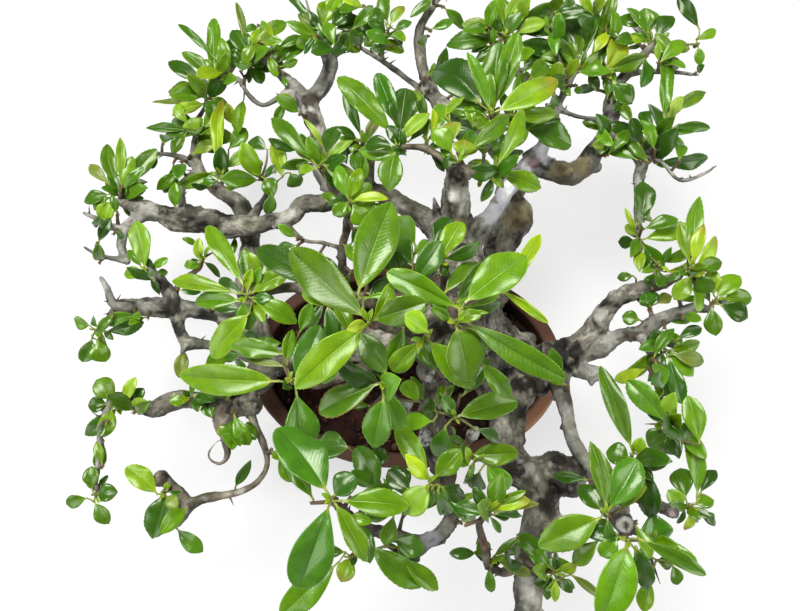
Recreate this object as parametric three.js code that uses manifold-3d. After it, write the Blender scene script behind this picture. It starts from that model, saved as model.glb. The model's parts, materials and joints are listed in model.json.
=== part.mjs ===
// Firethorn bonsai in an oval unglazed clay pot.
// Millimetres, +Z up, origin at the centre of the pot's base, +Y towards the back of the plant.
// The wood is one body (roots, trunk, limbs and twigs grew as one piece); each leaf cluster is a
// body of its own, set 0.3 mm clear of the wood it springs from.
import * as THREE from 'three';
import Module from 'manifold-3d';

const wasm = await Module();
wasm.setup();
const { Manifold, Mesh } = wasm;

// ---------------------------------------------------------------- helpers
function solid(verts, tris) {
  return new Manifold(new Mesh({
    numProp: 3,
    vertProperties: new Float32Array(verts.flat()),
    triVerts: new Uint32Array(tris.flat()),
  }));
}

const sub = (a, b) => [a[0] - b[0], a[1] - b[1], a[2] - b[2]];
const add = (a, b) => [a[0] + b[0], a[1] + b[1], a[2] + b[2]];
const mul = (a, s) => [a[0] * s, a[1] * s, a[2] * s];
const dot = (a, b) => a[0] * b[0] + a[1] * b[1] + a[2] * b[2];
const cross = (a, b) => [a[1] * b[2] - a[2] * b[1], a[2] * b[0] - a[0] * b[2], a[0] * b[1] - a[1] * b[0]];
const len = (a) => Math.hypot(a[0], a[1], a[2]);
const unit = (a) => { const l = len(a) || 1; return [a[0] / l, a[1] / l, a[2] / l]; };

// A closed tube through points [x, y, z, radius], rings kept square to the path,
// both ends closed by a fan round a middle point that stands a little proud.
function tube(points, sides, grow = 0) {
  const n = points.length;
  const tan = points.map((p, i) => unit(sub(points[Math.min(n - 1, i + 1)], points[Math.max(0, i - 1)])));
  let nrm = Math.abs(tan[0][2]) < 0.9 ? cross(tan[0], [0, 0, 1]) : cross(tan[0], [1, 0, 0]);
  nrm = unit(nrm);
  const verts = [];
  const tris = [];
  for (let i = 0; i < n; i++) {
    nrm = unit(sub(nrm, mul(tan[i], dot(nrm, tan[i]))));
    const bin = cross(tan[i], nrm);
    const r = points[i][3] + grow;
    for (let k = 0; k < sides; k++) {
      const a = (2 * Math.PI * (k + 0.5 * (i % 2))) / sides;
      verts.push(add(points[i], add(mul(nrm, Math.cos(a) * r), mul(bin, Math.sin(a) * r))).slice(0, 3));
    }
  }
  const cap0 = verts.length;
  verts.push(sub(points[0], mul(tan[0], points[0][3] * 0.45 + grow)).slice(0, 3));
  const cap1 = verts.length;
  verts.push(add(points[n - 1], mul(tan[n - 1], points[n - 1][3] * 0.45 + grow)).slice(0, 3));
  for (let i = 0; i < n - 1; i++) {
    for (let k = 0; k < sides; k++) {
      const a = i * sides + k;
      const b = i * sides + ((k + 1) % sides);
      const c = a + sides;
      const d = b + sides;
      if (i % 2 === 0) { tris.push([a, b, c], [b, d, c]); } else { tris.push([a, b, d], [a, d, c]); }
    }
  }
  for (let k = 0; k < sides; k++) {
    tris.push([cap0, (k + 1) % sides, k]);
    const o = (n - 1) * sides;
    tris.push([cap1, o + k, o + ((k + 1) % sides)]);
  }
  return solid(verts, tris);
}

// A leaf blade from the stalk to the tip, widest past the middle: an eight-faced lens,
// or a four-faced folded blade where the leaf is small.
function blade(hub, base, tip, width, grow = 0) {
  const d = unit(sub(tip, base));
  let side = cross(d, [0, 0, 1]);
  side = len(side) < 0.2 ? unit(cross(d, [0, 1, 0])) : unit(side);
  const up = unit(cross(side, d));
  const L = len(sub(tip, base));
  const mid = add(base, mul(sub(tip, base), 0.56));
  const t = 0.55 + 0.02 * L + grow;
  const w = width * 0.5 + grow;
  const start = sub(hub, mul(unit(sub(tip, hub)), 0.9 + grow));
  const end = add(tip, mul(d, grow));
  const verts = L > 26
    ? [start, end, add(mid, mul(side, w)), sub(mid, mul(side, w)), add(mid, mul(up, t)), sub(mid, mul(up, t))]
    : [sub(start, mul(up, t)), sub(end, mul(up, t)), add(add(mid, mul(side, w)), mul(up, t)), add(sub(mid, mul(side, w)), mul(up, t))];
  const tris = L > 26
    ? [[0, 2, 4], [0, 4, 3], [0, 3, 5], [0, 5, 2], [1, 4, 2], [1, 3, 4], [1, 5, 3], [1, 2, 5]]
    : [[0, 2, 3], [1, 3, 2], [0, 1, 2], [0, 3, 1]];
  const m = solid(verts, tris);
  return m.volume() < 0 ? solid(verts, tris.map((q) => [q[0], q[2], q[1]])) : m;
}

function largest(m) {
  const parts = m.decompose();
  let best = null;
  for (const p of parts) if (!best || p.volume() > best.volume()) best = p;
  return best;
}

function toGeometry(m) {
  const mesh = m.getMesh();
  const g = new THREE.BufferGeometry();
  const np = mesh.numProp;
  const pos = new Float32Array((mesh.vertProperties.length / np) * 3);
  for (let i = 0; i < pos.length / 3; i++) {
    for (let k = 0; k < 3; k++) pos[i * 3 + k] = mesh.vertProperties[i * np + k];
  }
  g.setAttribute('position', new THREE.BufferAttribute(pos, 3));
  g.setIndex(new THREE.BufferAttribute(new Uint32Array(mesh.triVerts), 1));
  return g;
}

const group = new THREE.Group();
group.name = 'firethorn_bonsai';
function put(name, m, color, roughness) {
  const mesh = new THREE.Mesh(toGeometry(m), new THREE.MeshStandardMaterial({ color, roughness, metalness: 0 }));
  mesh.name = name;
  group.add(mesh);
}

// ---------------------------------------------------------------- tables (millimetres)
// wood: [name, [[x, y, z, radius], ...]]
const WOOD = [
  ['trunk',[[44.2,4.6,46.0,23.0],[42.2,5.7,60.0,20.5],[39.0,10.9,76.0,18.0],[29.7,28.0,116.0,14.2],[25.6,30.1,136.0,12.6],[22.0,22.3,154.0,11.0],[15.3,-14.3,194.0,7.6],[9.1,-34.4,222.0,4.8],[7.2,-38.2,229.0,3.0]]],
  ['back_stub',[[23.8,29.1,146.0,7.5],[23.8,37.1,155.0,6.3],[23.0,52.3,178.0,6.0],[23.0,54.7,185.0,5.2]]],
  ['stub_lobe',[[21.3,41.6,157.0,3.2],[18.7,54.1,171.0,2.8]]],
  ['stub_thorn',[[19.7,40.6,150.0,4.0],[13.4,55.7,160.0,1.0]]],
  ['left_high',[[21.9,34.0,145.0,8.5],[13.9,46.6,147.0,6.6],[-11.2,70.1,136.0,5.5],[-22.4,77.1,130.0,5.3],[-47.8,75.0,119.0,5.2],[-59.3,76.4,114.0,5.0],[-65.2,70.9,111.0,4.8],[-78.9,68.4,107.0,5.2],[-93.7,68.5,103.0,6.4],[-114.1,73.6,98.0,7.0],[-132.8,76.0,95.9,7.0],[-174.1,85.3,103.6,2.2]]],
  ['stub_up_left',[[-22.4,75.3,131.0,4.2],[-19.7,84.8,146.5,3.4]]],
  ['top_left',[[-35.6,76.1,124.0,4.6],[-47.1,92.9,116.0,5.0],[-53.0,113.1,111.6,5.0],[-54.5,131.9,110.6,5.2],[-60.5,147.0,111.6,5.8],[-73.4,163.6,113.0,3.4],[-93.2,180.8,116.0,1.6]]],
  ['top_left_b',[[-61.1,147.0,111.6,4.6],[-52.1,158.3,114.1,4.8],[-46.6,170.8,119.0,4.2],[-50.3,181.6,122.3,3.2],[-48.0,193.1,124.8,2.2]]],
  ['u_twig',[[-69.4,155.8,112.5,3.0],[-89.4,150.9,105.3,1.6],[-98.2,157.3,107.6,1.6],[-104.5,166.5,110.3,2.0],[-115.0,168.5,108.6,1.6]]],
  ['low_left',[[36.2,10.9,68.0,15.0],[15.3,9.7,76.0,12.4],[-8.3,5.3,82.0,10.8],[-53.8,-4.6,87.0,9.4],[-73.8,-10.7,88.0,9.0],[-86.7,-22.6,87.0,8.6],[-94.1,-32.1,86.0,8.2],[-104.3,-33.0,85.0,6.8],[-118.0,-30.6,84.6,5.6],[-130.7,-32.2,86.8,5.2],[-141.3,-36.3,90.0,4.6],[-163.5,-29.6,95.0,2.6]]],
  ['knob_left',[[-93.0,-32.1,86.0,6.5],[-84.9,-36.0,94.0,5.0],[-82.7,-37.6,99.0,4.0]]],
  ['left_hook',[[-99.6,-35.3,85.0,6.5],[-102.2,-44.2,85.0,4.6],[-97.5,-61.4,87.0,2.2],[-99.8,-65.7,87.0,1.2],[-104.5,-65.3,88.0,0.9],[-107.5,-61.6,88.0,0.8],[-105.8,-57.3,88.0,0.8],[-102.0,-53.7,89.0,0.7]]],
  ['left_up',[[-82.2,-3.7,88.0,8.4],[-87.6,13.7,90.0,7.4],[-93.5,51.7,89.0,6.6],[-94.9,70.2,86.0,6.2],[-103.1,91.8,84.0,5.2],[-125.9,110.1,84.1,3.6],[-133.4,126.5,85.7,3.0],[-134.1,142.3,88.8,2.2]]],
  ['left_mid',[[-89.3,21.0,90.0,6.0],[-100.1,16.6,92.0,5.6],[-115.8,19.1,92.1,5.2],[-145.2,19.6,99.0,5.2],[-157.3,18.9,102.5,4.0],[-164.5,20.4,103.5,2.6],[-174.3,36.3,101.6,1.4]]],
  ['left_mid_up',[[-131.2,18.8,96.1,4.2],[-134.6,27.8,101.3,4.0],[-143.3,37.2,111.0,2.2]]],
  ['left_mid_dn',[[-130.9,18.0,95.0,3.8],[-123.6,-1.2,95.7,3.4],[-124.4,-7.2,98.2,1.6]]],
  ['left_bar',[[-123.6,-0.6,95.7,3.2],[-111.7,0.5,90.0,3.0],[-85.5,-6.0,88.0,5.0]]],
  ['left_twig',[[-89.8,-29.8,86.0,4.5],[-82.7,-45.9,88.0,2.3],[-75.9,-60.3,90.0,1.8],[-75.4,-70.0,92.0,1.8],[-80.3,-77.4,94.0,2.0],[-89.2,-81.6,95.0,2.2],[-104.1,-84.8,97.1,2.8],[-112.3,-88.5,99.4,3.8],[-122.9,-76.6,105.9,3.0],[-125.0,-75.4,107.8,3.9]]],
  ['left_twig_end',[[-112.3,-88.5,99.4,3.6],[-116.0,-97.8,100.8,2.2]]],
  ['mid_twig',[[-40.4,-0.7,86.0,4.6],[-36.9,16.3,100.0,3.6],[-35.4,29.2,116.0,3.0],[-33.8,39.0,134.0,2.7],[-30.6,46.4,152.0,2.3],[-28.0,46.9,168.0,1.7]]],
  ['thin_cross',[[-33.8,40.1,134.0,1.5],[-57.6,52.4,118.0,1.5],[-67.8,63.8,110.0,1.9],[-74.3,69.1,107.0,2.4]]],
  ['right_low',[[43.9,7.7,62.0,17.5],[54.3,-2.7,72.0,15.5],[65.6,-10.3,80.0,13.8],[78.0,-11.0,87.0,11.8],[96.6,-4.0,97.0,8.0],[103.7,2.6,102.1,6.4],[112.3,16.7,110.3,5.0],[120.3,21.5,114.6,4.6],[142.9,25.7,130.2,2.6]]],
  ['right_mid',[[97.7,-4.5,97.0,5.6],[108.5,-3.9,100.5,5.0],[117.5,-0.0,106.8,4.0],[125.3,-0.3,113.0,4.0],[130.8,3.9,117.4,3.8],[148.7,8.6,128.0,2.8],[156.0,7.3,130.0,2.0]]],
  ['right_stub',[[91.4,-10.9,93.0,5.0],[98.8,-17.1,97.0,4.4],[105.4,-19.7,100.3,4.0]]],
  ['front_right',[[58.1,-9.9,76.0,14.0],[60.0,-25.2,81.0,11.0],[56.4,-39.7,85.0,9.2],[54.0,-53.7,89.0,9.0],[57.0,-67.0,93.0,9.6],[65.3,-75.7,97.0,10.2],[70.9,-86.0,99.0,9.6],[60.1,-124.1,106.0,7.2],[52.1,-149.0,113.0,4.4],[47.5,-157.9,116.0,3.0]]],
  ['front_knot',[[66.3,-75.7,97.0,9.0],[76.6,-72.9,99.0,9.6],[84.6,-71.1,101.0,8.4],[90.4,-67.4,104.0,5.4]]],
  ['right_thin',[[83.4,-16.4,92.0,5.6],[85.0,-34.7,98.0,4.0],[86.9,-62.1,110.0,3.8],[92.0,-83.7,128.4,4.2],[92.8,-93.6,140.4,4.6],[93.4,-99.4,151.8,5.2],[92.1,-101.8,159.3,4.6]]],
  ['right_cut',[[92.6,-84.7,129.5,3.2],[103.7,-87.4,134.1,3.0],[111.5,-90.1,140.4,3.2],[115.6,-95.3,153.4,3.1]]],
  ['front_mid',[[16.1,-11.0,190.0,6.8],[10.7,-34.3,168.0,5.0],[10.2,-56.1,150.0,4.4],[12.2,-66.7,141.0,4.0],[21.7,-88.9,125.0,3.8],[19.4,-99.7,120.0,3.8],[9.8,-106.0,118.0,3.7],[-2.7,-104.6,118.0,3.4],[-15.0,-101.6,124.0,3.1],[-24.5,-97.9,140.0,2.8],[-28.4,-94.5,166.0,2.3],[-29.5,-93.3,188.0,1.8]]],
  ['lichen_knob_a',[[11.1,-33.7,169.0,4.8],[6.7,-40.3,177.0,3.0]]],
  ['front_twig_a',[[13.2,-68.8,140.0,3.0],[19.3,-77.6,156.0,2.0],[16.7,-86.8,172.0,1.7],[8.3,-87.1,195.0,1.3]]],
  ['front_twig_b',[[63.7,-109.3,102.0,4.0],[48.3,-119.4,118.0,2.4],[35.9,-117.5,140.0,2.0],[27.8,-101.5,180.0,1.6],[29.8,-98.4,191.0,1.3]]],
  ['front_low',[[10.7,-106.0,118.0,3.0],[2.0,-113.2,122.0,2.2],[-9.2,-108.4,128.0,1.8]]],
  ['front_side',[[10.5,-50.6,155.0,3.8],[1.7,-55.6,162.0,2.8],[-5.7,-54.4,184.0,2.4],[-9.6,-53.6,219.0,1.5]]],
  ['mid_left',[[15.0,-13.9,193.0,5.4],[3.9,-25.8,190.0,4.0],[-9.6,-34.2,187.0,3.6],[-38.5,-43.9,181.0,2.7],[-47.0,-44.2,184.0,2.1]]],
  ['mid_left_b',[[16.4,-7.7,186.0,5.6],[1.7,-5.8,181.0,4.2],[-17.2,-4.9,176.0,3.8],[-55.4,5.8,165.0,3.0],[-68.2,2.3,166.0,2.2]]],
  ['left_edge_drop',[[-160.3,-30.5,94.3,2.6],[-163.3,-46.5,97.6,1.9],[-160.0,-78.2,101.9,1.3]]],
  ['apex_left',[[12.2,-25.6,209.0,4.2],[4.0,-32.7,218.0,3.2],[-12.2,-36.0,234.0,1.8]]],
  ['apex_right',[[10.6,-30.9,216.0,3.8],[15.5,-36.0,236.0,1.9]]],
  ['apex_back',[[16.7,-9.3,188.0,4.4],[13.2,-6.7,219.0,1.9]]],
  ['back_low',[[44.9,12.8,66.0,13.5],[48.6,30.0,72.0,11.8],[52.6,48.7,76.0,10.8],[58.4,66.3,80.0,10.8],[66.6,81.4,84.0,12.4],[65.6,95.9,88.0,9.6],[63.7,113.7,90.1,6.4],[55.4,129.5,92.5,5.4],[40.6,145.1,95.6,5.0],[23.0,156.5,98.6,5.2],[14.0,167.8,103.7,4.2],[9.6,183.1,111.4,3.6],[8.3,197.3,118.3,3.2],[16.4,210.8,122.4,2.4],[24.2,223.7,123.9,1.6]]],
  ['back_diag',[[20.4,157.6,99.2,3.2],[-9.9,173.0,114.4,2.0],[-35.5,185.8,124.4,1.2]]],
  ['back_top',[[57.9,125.8,91.6,4.4],[71.4,139.0,98.1,3.8],[76.0,155.3,106.4,3.2],[61.4,183.7,123.4,2.0]]],
  ['back_right',[[28.0,32.1,126.0,8.5],[36.9,50.0,123.0,5.6],[62.4,90.8,115.0,4.9],[74.2,106.3,112.6,5.6],[96.6,99.6,108.0,6.2],[109.1,108.7,106.5,6.0],[118.5,123.7,108.0,6.0],[123.5,138.9,112.9,5.4],[125.3,150.2,117.1,4.6],[131.4,159.2,122.4,3.8],[149.2,177.3,129.9,2.2]]],
  ['back_right_b',[[74.9,106.9,112.7,5.0],[82.0,115.9,115.8,4.0],[89.5,138.0,122.0,2.8],[102.7,162.5,127.4,1.9]]],
  ['back_right_c',[[119.7,125.9,109.0,5.0],[132.9,118.1,110.3,4.4],[139.3,108.0,110.9,4.4],[136.4,97.4,110.6,3.4],[132.9,79.9,113.4,2.2],[127.6,46.4,123.0,1.6]]],
  ['back_right_d',[[140.0,110.4,111.5,2.6],[150.3,104.2,113.8,1.7],[159.4,93.0,113.5,1.4],[173.8,96.8,113.9,1.2],[182.0,102.5,113.3,0.9]]],
  ['left_far_a',[[-148.9,79.2,98.8,4.4],[-157.2,75.4,101.0,3.8],[-163.8,68.7,101.4,3.4],[-165.4,57.8,101.2,3.0],[-161.7,47.2,99.4,2.2]]],
  ['left_far_b',[[-164.2,67.3,101.5,2.6],[-172.6,68.0,102.7,2.2],[-190.2,77.5,102.0,1.2]]],
  ['left_far_c',[[-161.9,48.4,99.4,2.0],[-178.0,50.5,101.8,1.4],[-187.3,56.0,101.0,1.0]]],
  ['left_up_b',[[-128.8,114.4,84.2,3.0],[-138.0,122.7,86.0,2.6],[-148.1,125.1,89.2,2.0],[-156.5,124.6,92.3,1.3]]],
  ['left_net',[[-131.8,77.5,95.7,3.0],[-136.5,90.1,92.2,2.6],[-138.6,101.5,89.2,2.3],[-135.6,111.8,86.2,2.2],[-130.3,117.1,84.4,2.4]]],
  ['left_spur_b',[[-91.7,71.0,102.0,3.6],[-87.9,81.4,101.0,2.8],[-82.4,93.7,103.0,1.3]]],
  ['back_link',[[89.5,137.1,121.4,2.0],[100.3,136.4,115.4,1.4],[111.3,135.7,112.4,1.5],[121.1,134.2,111.4,2.6]]],
  ['right_top_twig',[[132.8,160.7,122.3,2.4],[157.7,157.1,128.7,1.5],[172.1,153.9,130.1,1.1]]],
  ['top_mass_a',[[67.9,170.4,115.8,2.2],[57.1,174.1,124.0,1.8],[48.0,180.8,131.9,1.4],[42.9,188.9,137.8,1.1]]],
  ['top_mass_b',[[96.5,151.6,124.7,1.8],[91.0,162.0,131.6,1.5],[86.1,174.5,137.4,1.2],[83.9,188.5,141.5,1.0]]],
  ['top_mass_c',[[126.6,153.7,118.3,2.2],[119.4,166.2,124.6,1.7],[115.6,179.4,130.1,1.3],[114.7,194.9,134.6,1.0]]],
  ['top_mass_d',[[62.6,181.6,122.3,1.7],[73.3,189.3,127.3,1.4],[82.0,202.4,131.4,1.0]]],
  ['top_left_mass',[[-83.7,172.0,113.8,1.9],[-88.3,182.2,119.7,1.5],[-85.0,192.0,124.3,1.1]]],
  ['top_mid_mass',[[-49.7,182.6,122.8,1.9],[-37.4,188.0,125.4,1.5],[-15.9,206.0,130.9,1.0]]],
  ['top_mid_mass_b',[[-48.0,192.0,124.3,1.5],[-57.9,200.2,127.2,1.2],[-61.8,210.6,129.3,1.0]]],
  ['twig_stub_l',[[22.6,54.2,184.0,3.0],[17.2,63.2,183.4,2.2],[3.9,69.2,185.2,1.8],[-1.8,68.5,186.2,1.5]]],
  ['twig_stub_r',[[23.5,54.2,184.0,3.6],[29.3,56.8,184.0,3.0],[40.8,59.8,179.0,1.5]]],
  ['root_0',[[49.1,7.1,66.0,8.5],[55.3,9.5,59.2,6.4],[67.8,14.5,52.0,3.5],[74.8,14.7,48.9,2.2]]],
  ['root_1',[[44.5,11.8,66.0,8.0],[47.5,17.9,59.2,6.0],[63.5,32.5,48.9,2.1]]],
  ['root_2',[[39.2,11.6,66.0,8.5],[36.6,19.3,59.2,6.4],[30.4,34.4,52.0,3.5],[24.1,40.6,48.9,2.2]]],
  ['root_3',[[35.5,7.6,66.0,9.5],[24.4,9.4,59.1,7.2],[-9.8,5.0,48.3,2.5]]],
  ['root_4',[[38.0,0.6,66.0,8.5],[33.2,-6.7,59.2,6.4],[21.6,-20.0,52.0,3.5],[12.9,-24.4,48.9,2.2]]],
  ['root_5',[[45.0,-0.2,66.0,8.0],[46.6,-6.3,59.2,6.0],[46.4,-25.3,48.9,2.1]]],
  ['root_6',[[47.9,1.9,66.0,7.5],[52.1,-1.6,59.4,5.7],[62.4,-6.6,52.5,3.1],[68.7,-7.2,49.5,2.0]]],
  ['twig_apex_a',[[-12.2,-36.0,234.0,1.3],[-14.1,-36.5,235.9,1.0]]],
  ['twig_apex_b',[[15.5,-36.0,236.0,1.3],[15.8,-36.4,237.8,1.0]]],
  ['twig_apex_c',[[13.2,-6.7,219.0,1.3],[13.1,-6.7,219.8,1.0]]],
  ['twig_apex_e',[[7.2,-38.2,229.0,1.4],[5.4,-40.1,230.9,1.0]]],
  ['twig_front_mid_a',[[11.8,-28.9,173.0,2.3],[14.8,-42.9,175.1,1.9],[14.9,-54.1,185.1,1.4],[17.9,-58.9,187.9,1.2],[18.0,-60.9,194.0,1.0]]],
  ['twig_front_mid_b',[[10.0,-45.0,159.0,2.3],[16.4,-59.4,161.4,1.9],[23.6,-69.3,169.3,1.4],[27.5,-75.6,178.0,1.0]]],
  ['twig_front_twiglets',[[35.9,-117.5,140.0,1.4],[36.0,-115.6,140.9,1.0]]],
  ['twig_lower_left_rosette',[[-29.5,-93.3,188.0,1.3],[-29.4,-93.0,195.8,1.0]]],
  ['twig_left_rosette',[[-47.0,-44.2,184.0,1.5],[-49.2,-45.2,189.8,1.0]]],
  ['twig_left_upper_rosette',[[-68.2,2.3,166.0,1.5],[-73.0,-1.4,170.0,1.0]]],
  ['twig_mid_twig_rosette',[[-28.0,46.9,168.0,1.2],[-27.9,47.3,168.8,1.0]]],
  ['twig_left_top_rosette',[[-35.6,76.1,124.0,2.2],[-41.4,77.2,132.5,1.9],[-42.2,78.8,138.9,1.6],[-44.7,74.0,158.1,1.0]]],
  ['twig_mid_top_cluster',[[-19.7,84.8,146.5,1.7],[-22.9,86.3,160.9,1.0]]],
  ['twig_back_left_rosette',[[-1.8,68.5,186.2,1.0],[-2.6,69.0,182.9,1.0]]],
  ['twig_back_twig_leaves',[[10.6,67.8,184.0,1.4],[9.7,72.0,180.4,1.0]]],
  ['twig_stub_rosette',[[23.0,53.5,181.5,1.5],[23.4,59.0,185.2,1.0]]],
  ['twig_stub_rosette_right',[[40.8,59.8,179.0,1.0],[41.4,60.4,175.7,1.0]]],
  ['twig_back_rosette',[[65.9,91.1,86.7,3.2],[63.6,100.3,96.2,2.9],[56.6,101.9,107.5,2.5],[44.9,106.9,155.5,1.0]]],
  ['twig_top_centre',[[52.6,177.5,128.0,1.1],[58.4,179.6,130.9,1.0]]],
  ['twig_top_right_c',[[144.9,173.1,128.4,1.4],[147.1,176.4,128.8,1.0]]],
  ['twig_right_top_d',[[140.0,110.4,111.5,1.7],[150.2,120.0,113.1,1.2],[151.6,121.9,116.1,1.0]]],
  ['twig_right_bright',[[142.9,25.7,130.2,1.6],[144.9,24.9,140.8,1.0]]],
  ['twig_right_round',[[130.8,3.9,117.4,1.5],[129.7,11.2,119.1,1.0]]],
  ['twig_right_mid_cluster',[[125.3,-0.3,113.0,1.7],[131.5,-11.1,124.7,1.0]]],
  ['twig_right_lower_a',[[121.4,-0.2,109.9,2.8],[125.4,-6.6,119.2,2.5],[126.9,-21.8,125.4,2.2],[120.8,-41.7,142.2,1.6],[117.8,-51.9,147.4,1.3],[116.2,-57.1,157.4,1.0]]],
  ['twig_right_lower_b',[[93.4,-99.4,151.8,2.0],[93.8,-94.4,156.7,1.8],[96.5,-78.8,160.1,1.3],[96.1,-73.9,164.4,1.0]]],
  ['twig_lower_right_rosette',[[92.1,-101.8,159.3,2.0],[78.9,-98.0,180.4,1.0]]],
  ['twig_lower_right_b',[[92.1,-101.8,159.3,1.8],[87.1,-107.3,176.6,1.0]]],
  ['twig_right_edge',[[113.2,-91.9,144.4,1.6],[124.1,-92.4,146.9,1.0]]],
  ['twig_front_small_rosette',[[56.0,-114.4,110.0,1.8],[57.5,-116.2,114.1,1.6],[67.2,-120.3,121.9,1.0]]],
  ['twig_front_left_dark',[[-24.5,-97.9,140.0,1.8],[-10.8,-85.2,144.1,1.0]]],
  ['twig_front_left_low',[[-15.0,-101.6,124.0,1.7],[-25.9,-113.2,126.2,1.0]]],
  ['twig_left_pair',[[-120.1,-79.9,103.8,1.4],[-122.4,-82.3,106.4,1.0]]],
  ['twig_left_round_pale',[[-99.0,-53.2,86.0,1.6],[-92.0,-51.7,93.9,1.0]]],
  ['twig_left_edge_low',[[-152.8,-32.5,93.2,1.4],[-155.6,-35.2,95.7,1.0]]],
  ['twig_left_edge_leaves',[[-118.0,-30.6,84.6,1.4],[-119.3,-30.9,89.0,1.0]]],
  ['twig_left_edge_mid',[[-160.9,19.7,103.0,1.7],[-169.7,9.8,97.0,1.2],[-172.3,6.8,98.3,1.0]]],
  ['twig_left_sprout',[[-141.1,35.2,108.5,1.4],[-143.3,36.4,110.3,1.0]]],
  ['twig_left_sprout_b',[[-132.9,23.3,98.7,2.0],[-130.1,31.0,100.9,1.8],[-118.4,41.6,103.1,1.3],[-116.0,44.9,106.3,1.0]]],
  ['twig_left_far_star',[[-169.0,84.1,102.7,1.5],[-170.7,90.4,99.9,1.0]]],
  ['twig_left_low_edge',[[-160.0,-78.2,101.9,0.9],[-159.3,-82.9,100.2,1.0]]],
  ['twig_top_left_far',[[-134.1,142.3,88.8,1.5],[-128.7,158.8,93.2,1.1],[-127.3,161.2,97.1,1.0]]],
  ['twig_top_left_mid',[[-101.3,161.9,109.0,1.3],[-98.9,171.8,109.1,1.1],[-97.4,175.5,111.7,1.0]]],
  ['twig_top_left_low',[[-133.9,137.1,87.8,1.4],[-133.3,139.7,89.7,1.0]]],
  ['twig_top_left_strap',[[-115.1,101.6,84.0,1.6],[-113.4,106.7,91.9,1.0]]],
  ['twig_top_left_sprig',[[-82.4,93.7,103.0,0.9],[-86.1,98.2,106.0,1.0]]],
  ['twig_top_blur_a',[[-49.2,187.3,123.5,1.3],[-50.8,188.6,123.8,1.0]]],
  ['twig_top_blur_b',[[-14.2,175.1,116.0,1.3],[-11.2,189.3,124.3,1.0]]],
  ['twig_off_front',[[47.5,-157.9,116.0,1.4],[46.8,-155.9,119.8,1.0]]],
  ['twig_off_right',[[156.0,7.3,130.0,1.4],[158.5,10.2,132.0,1.0]]],
];

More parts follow.
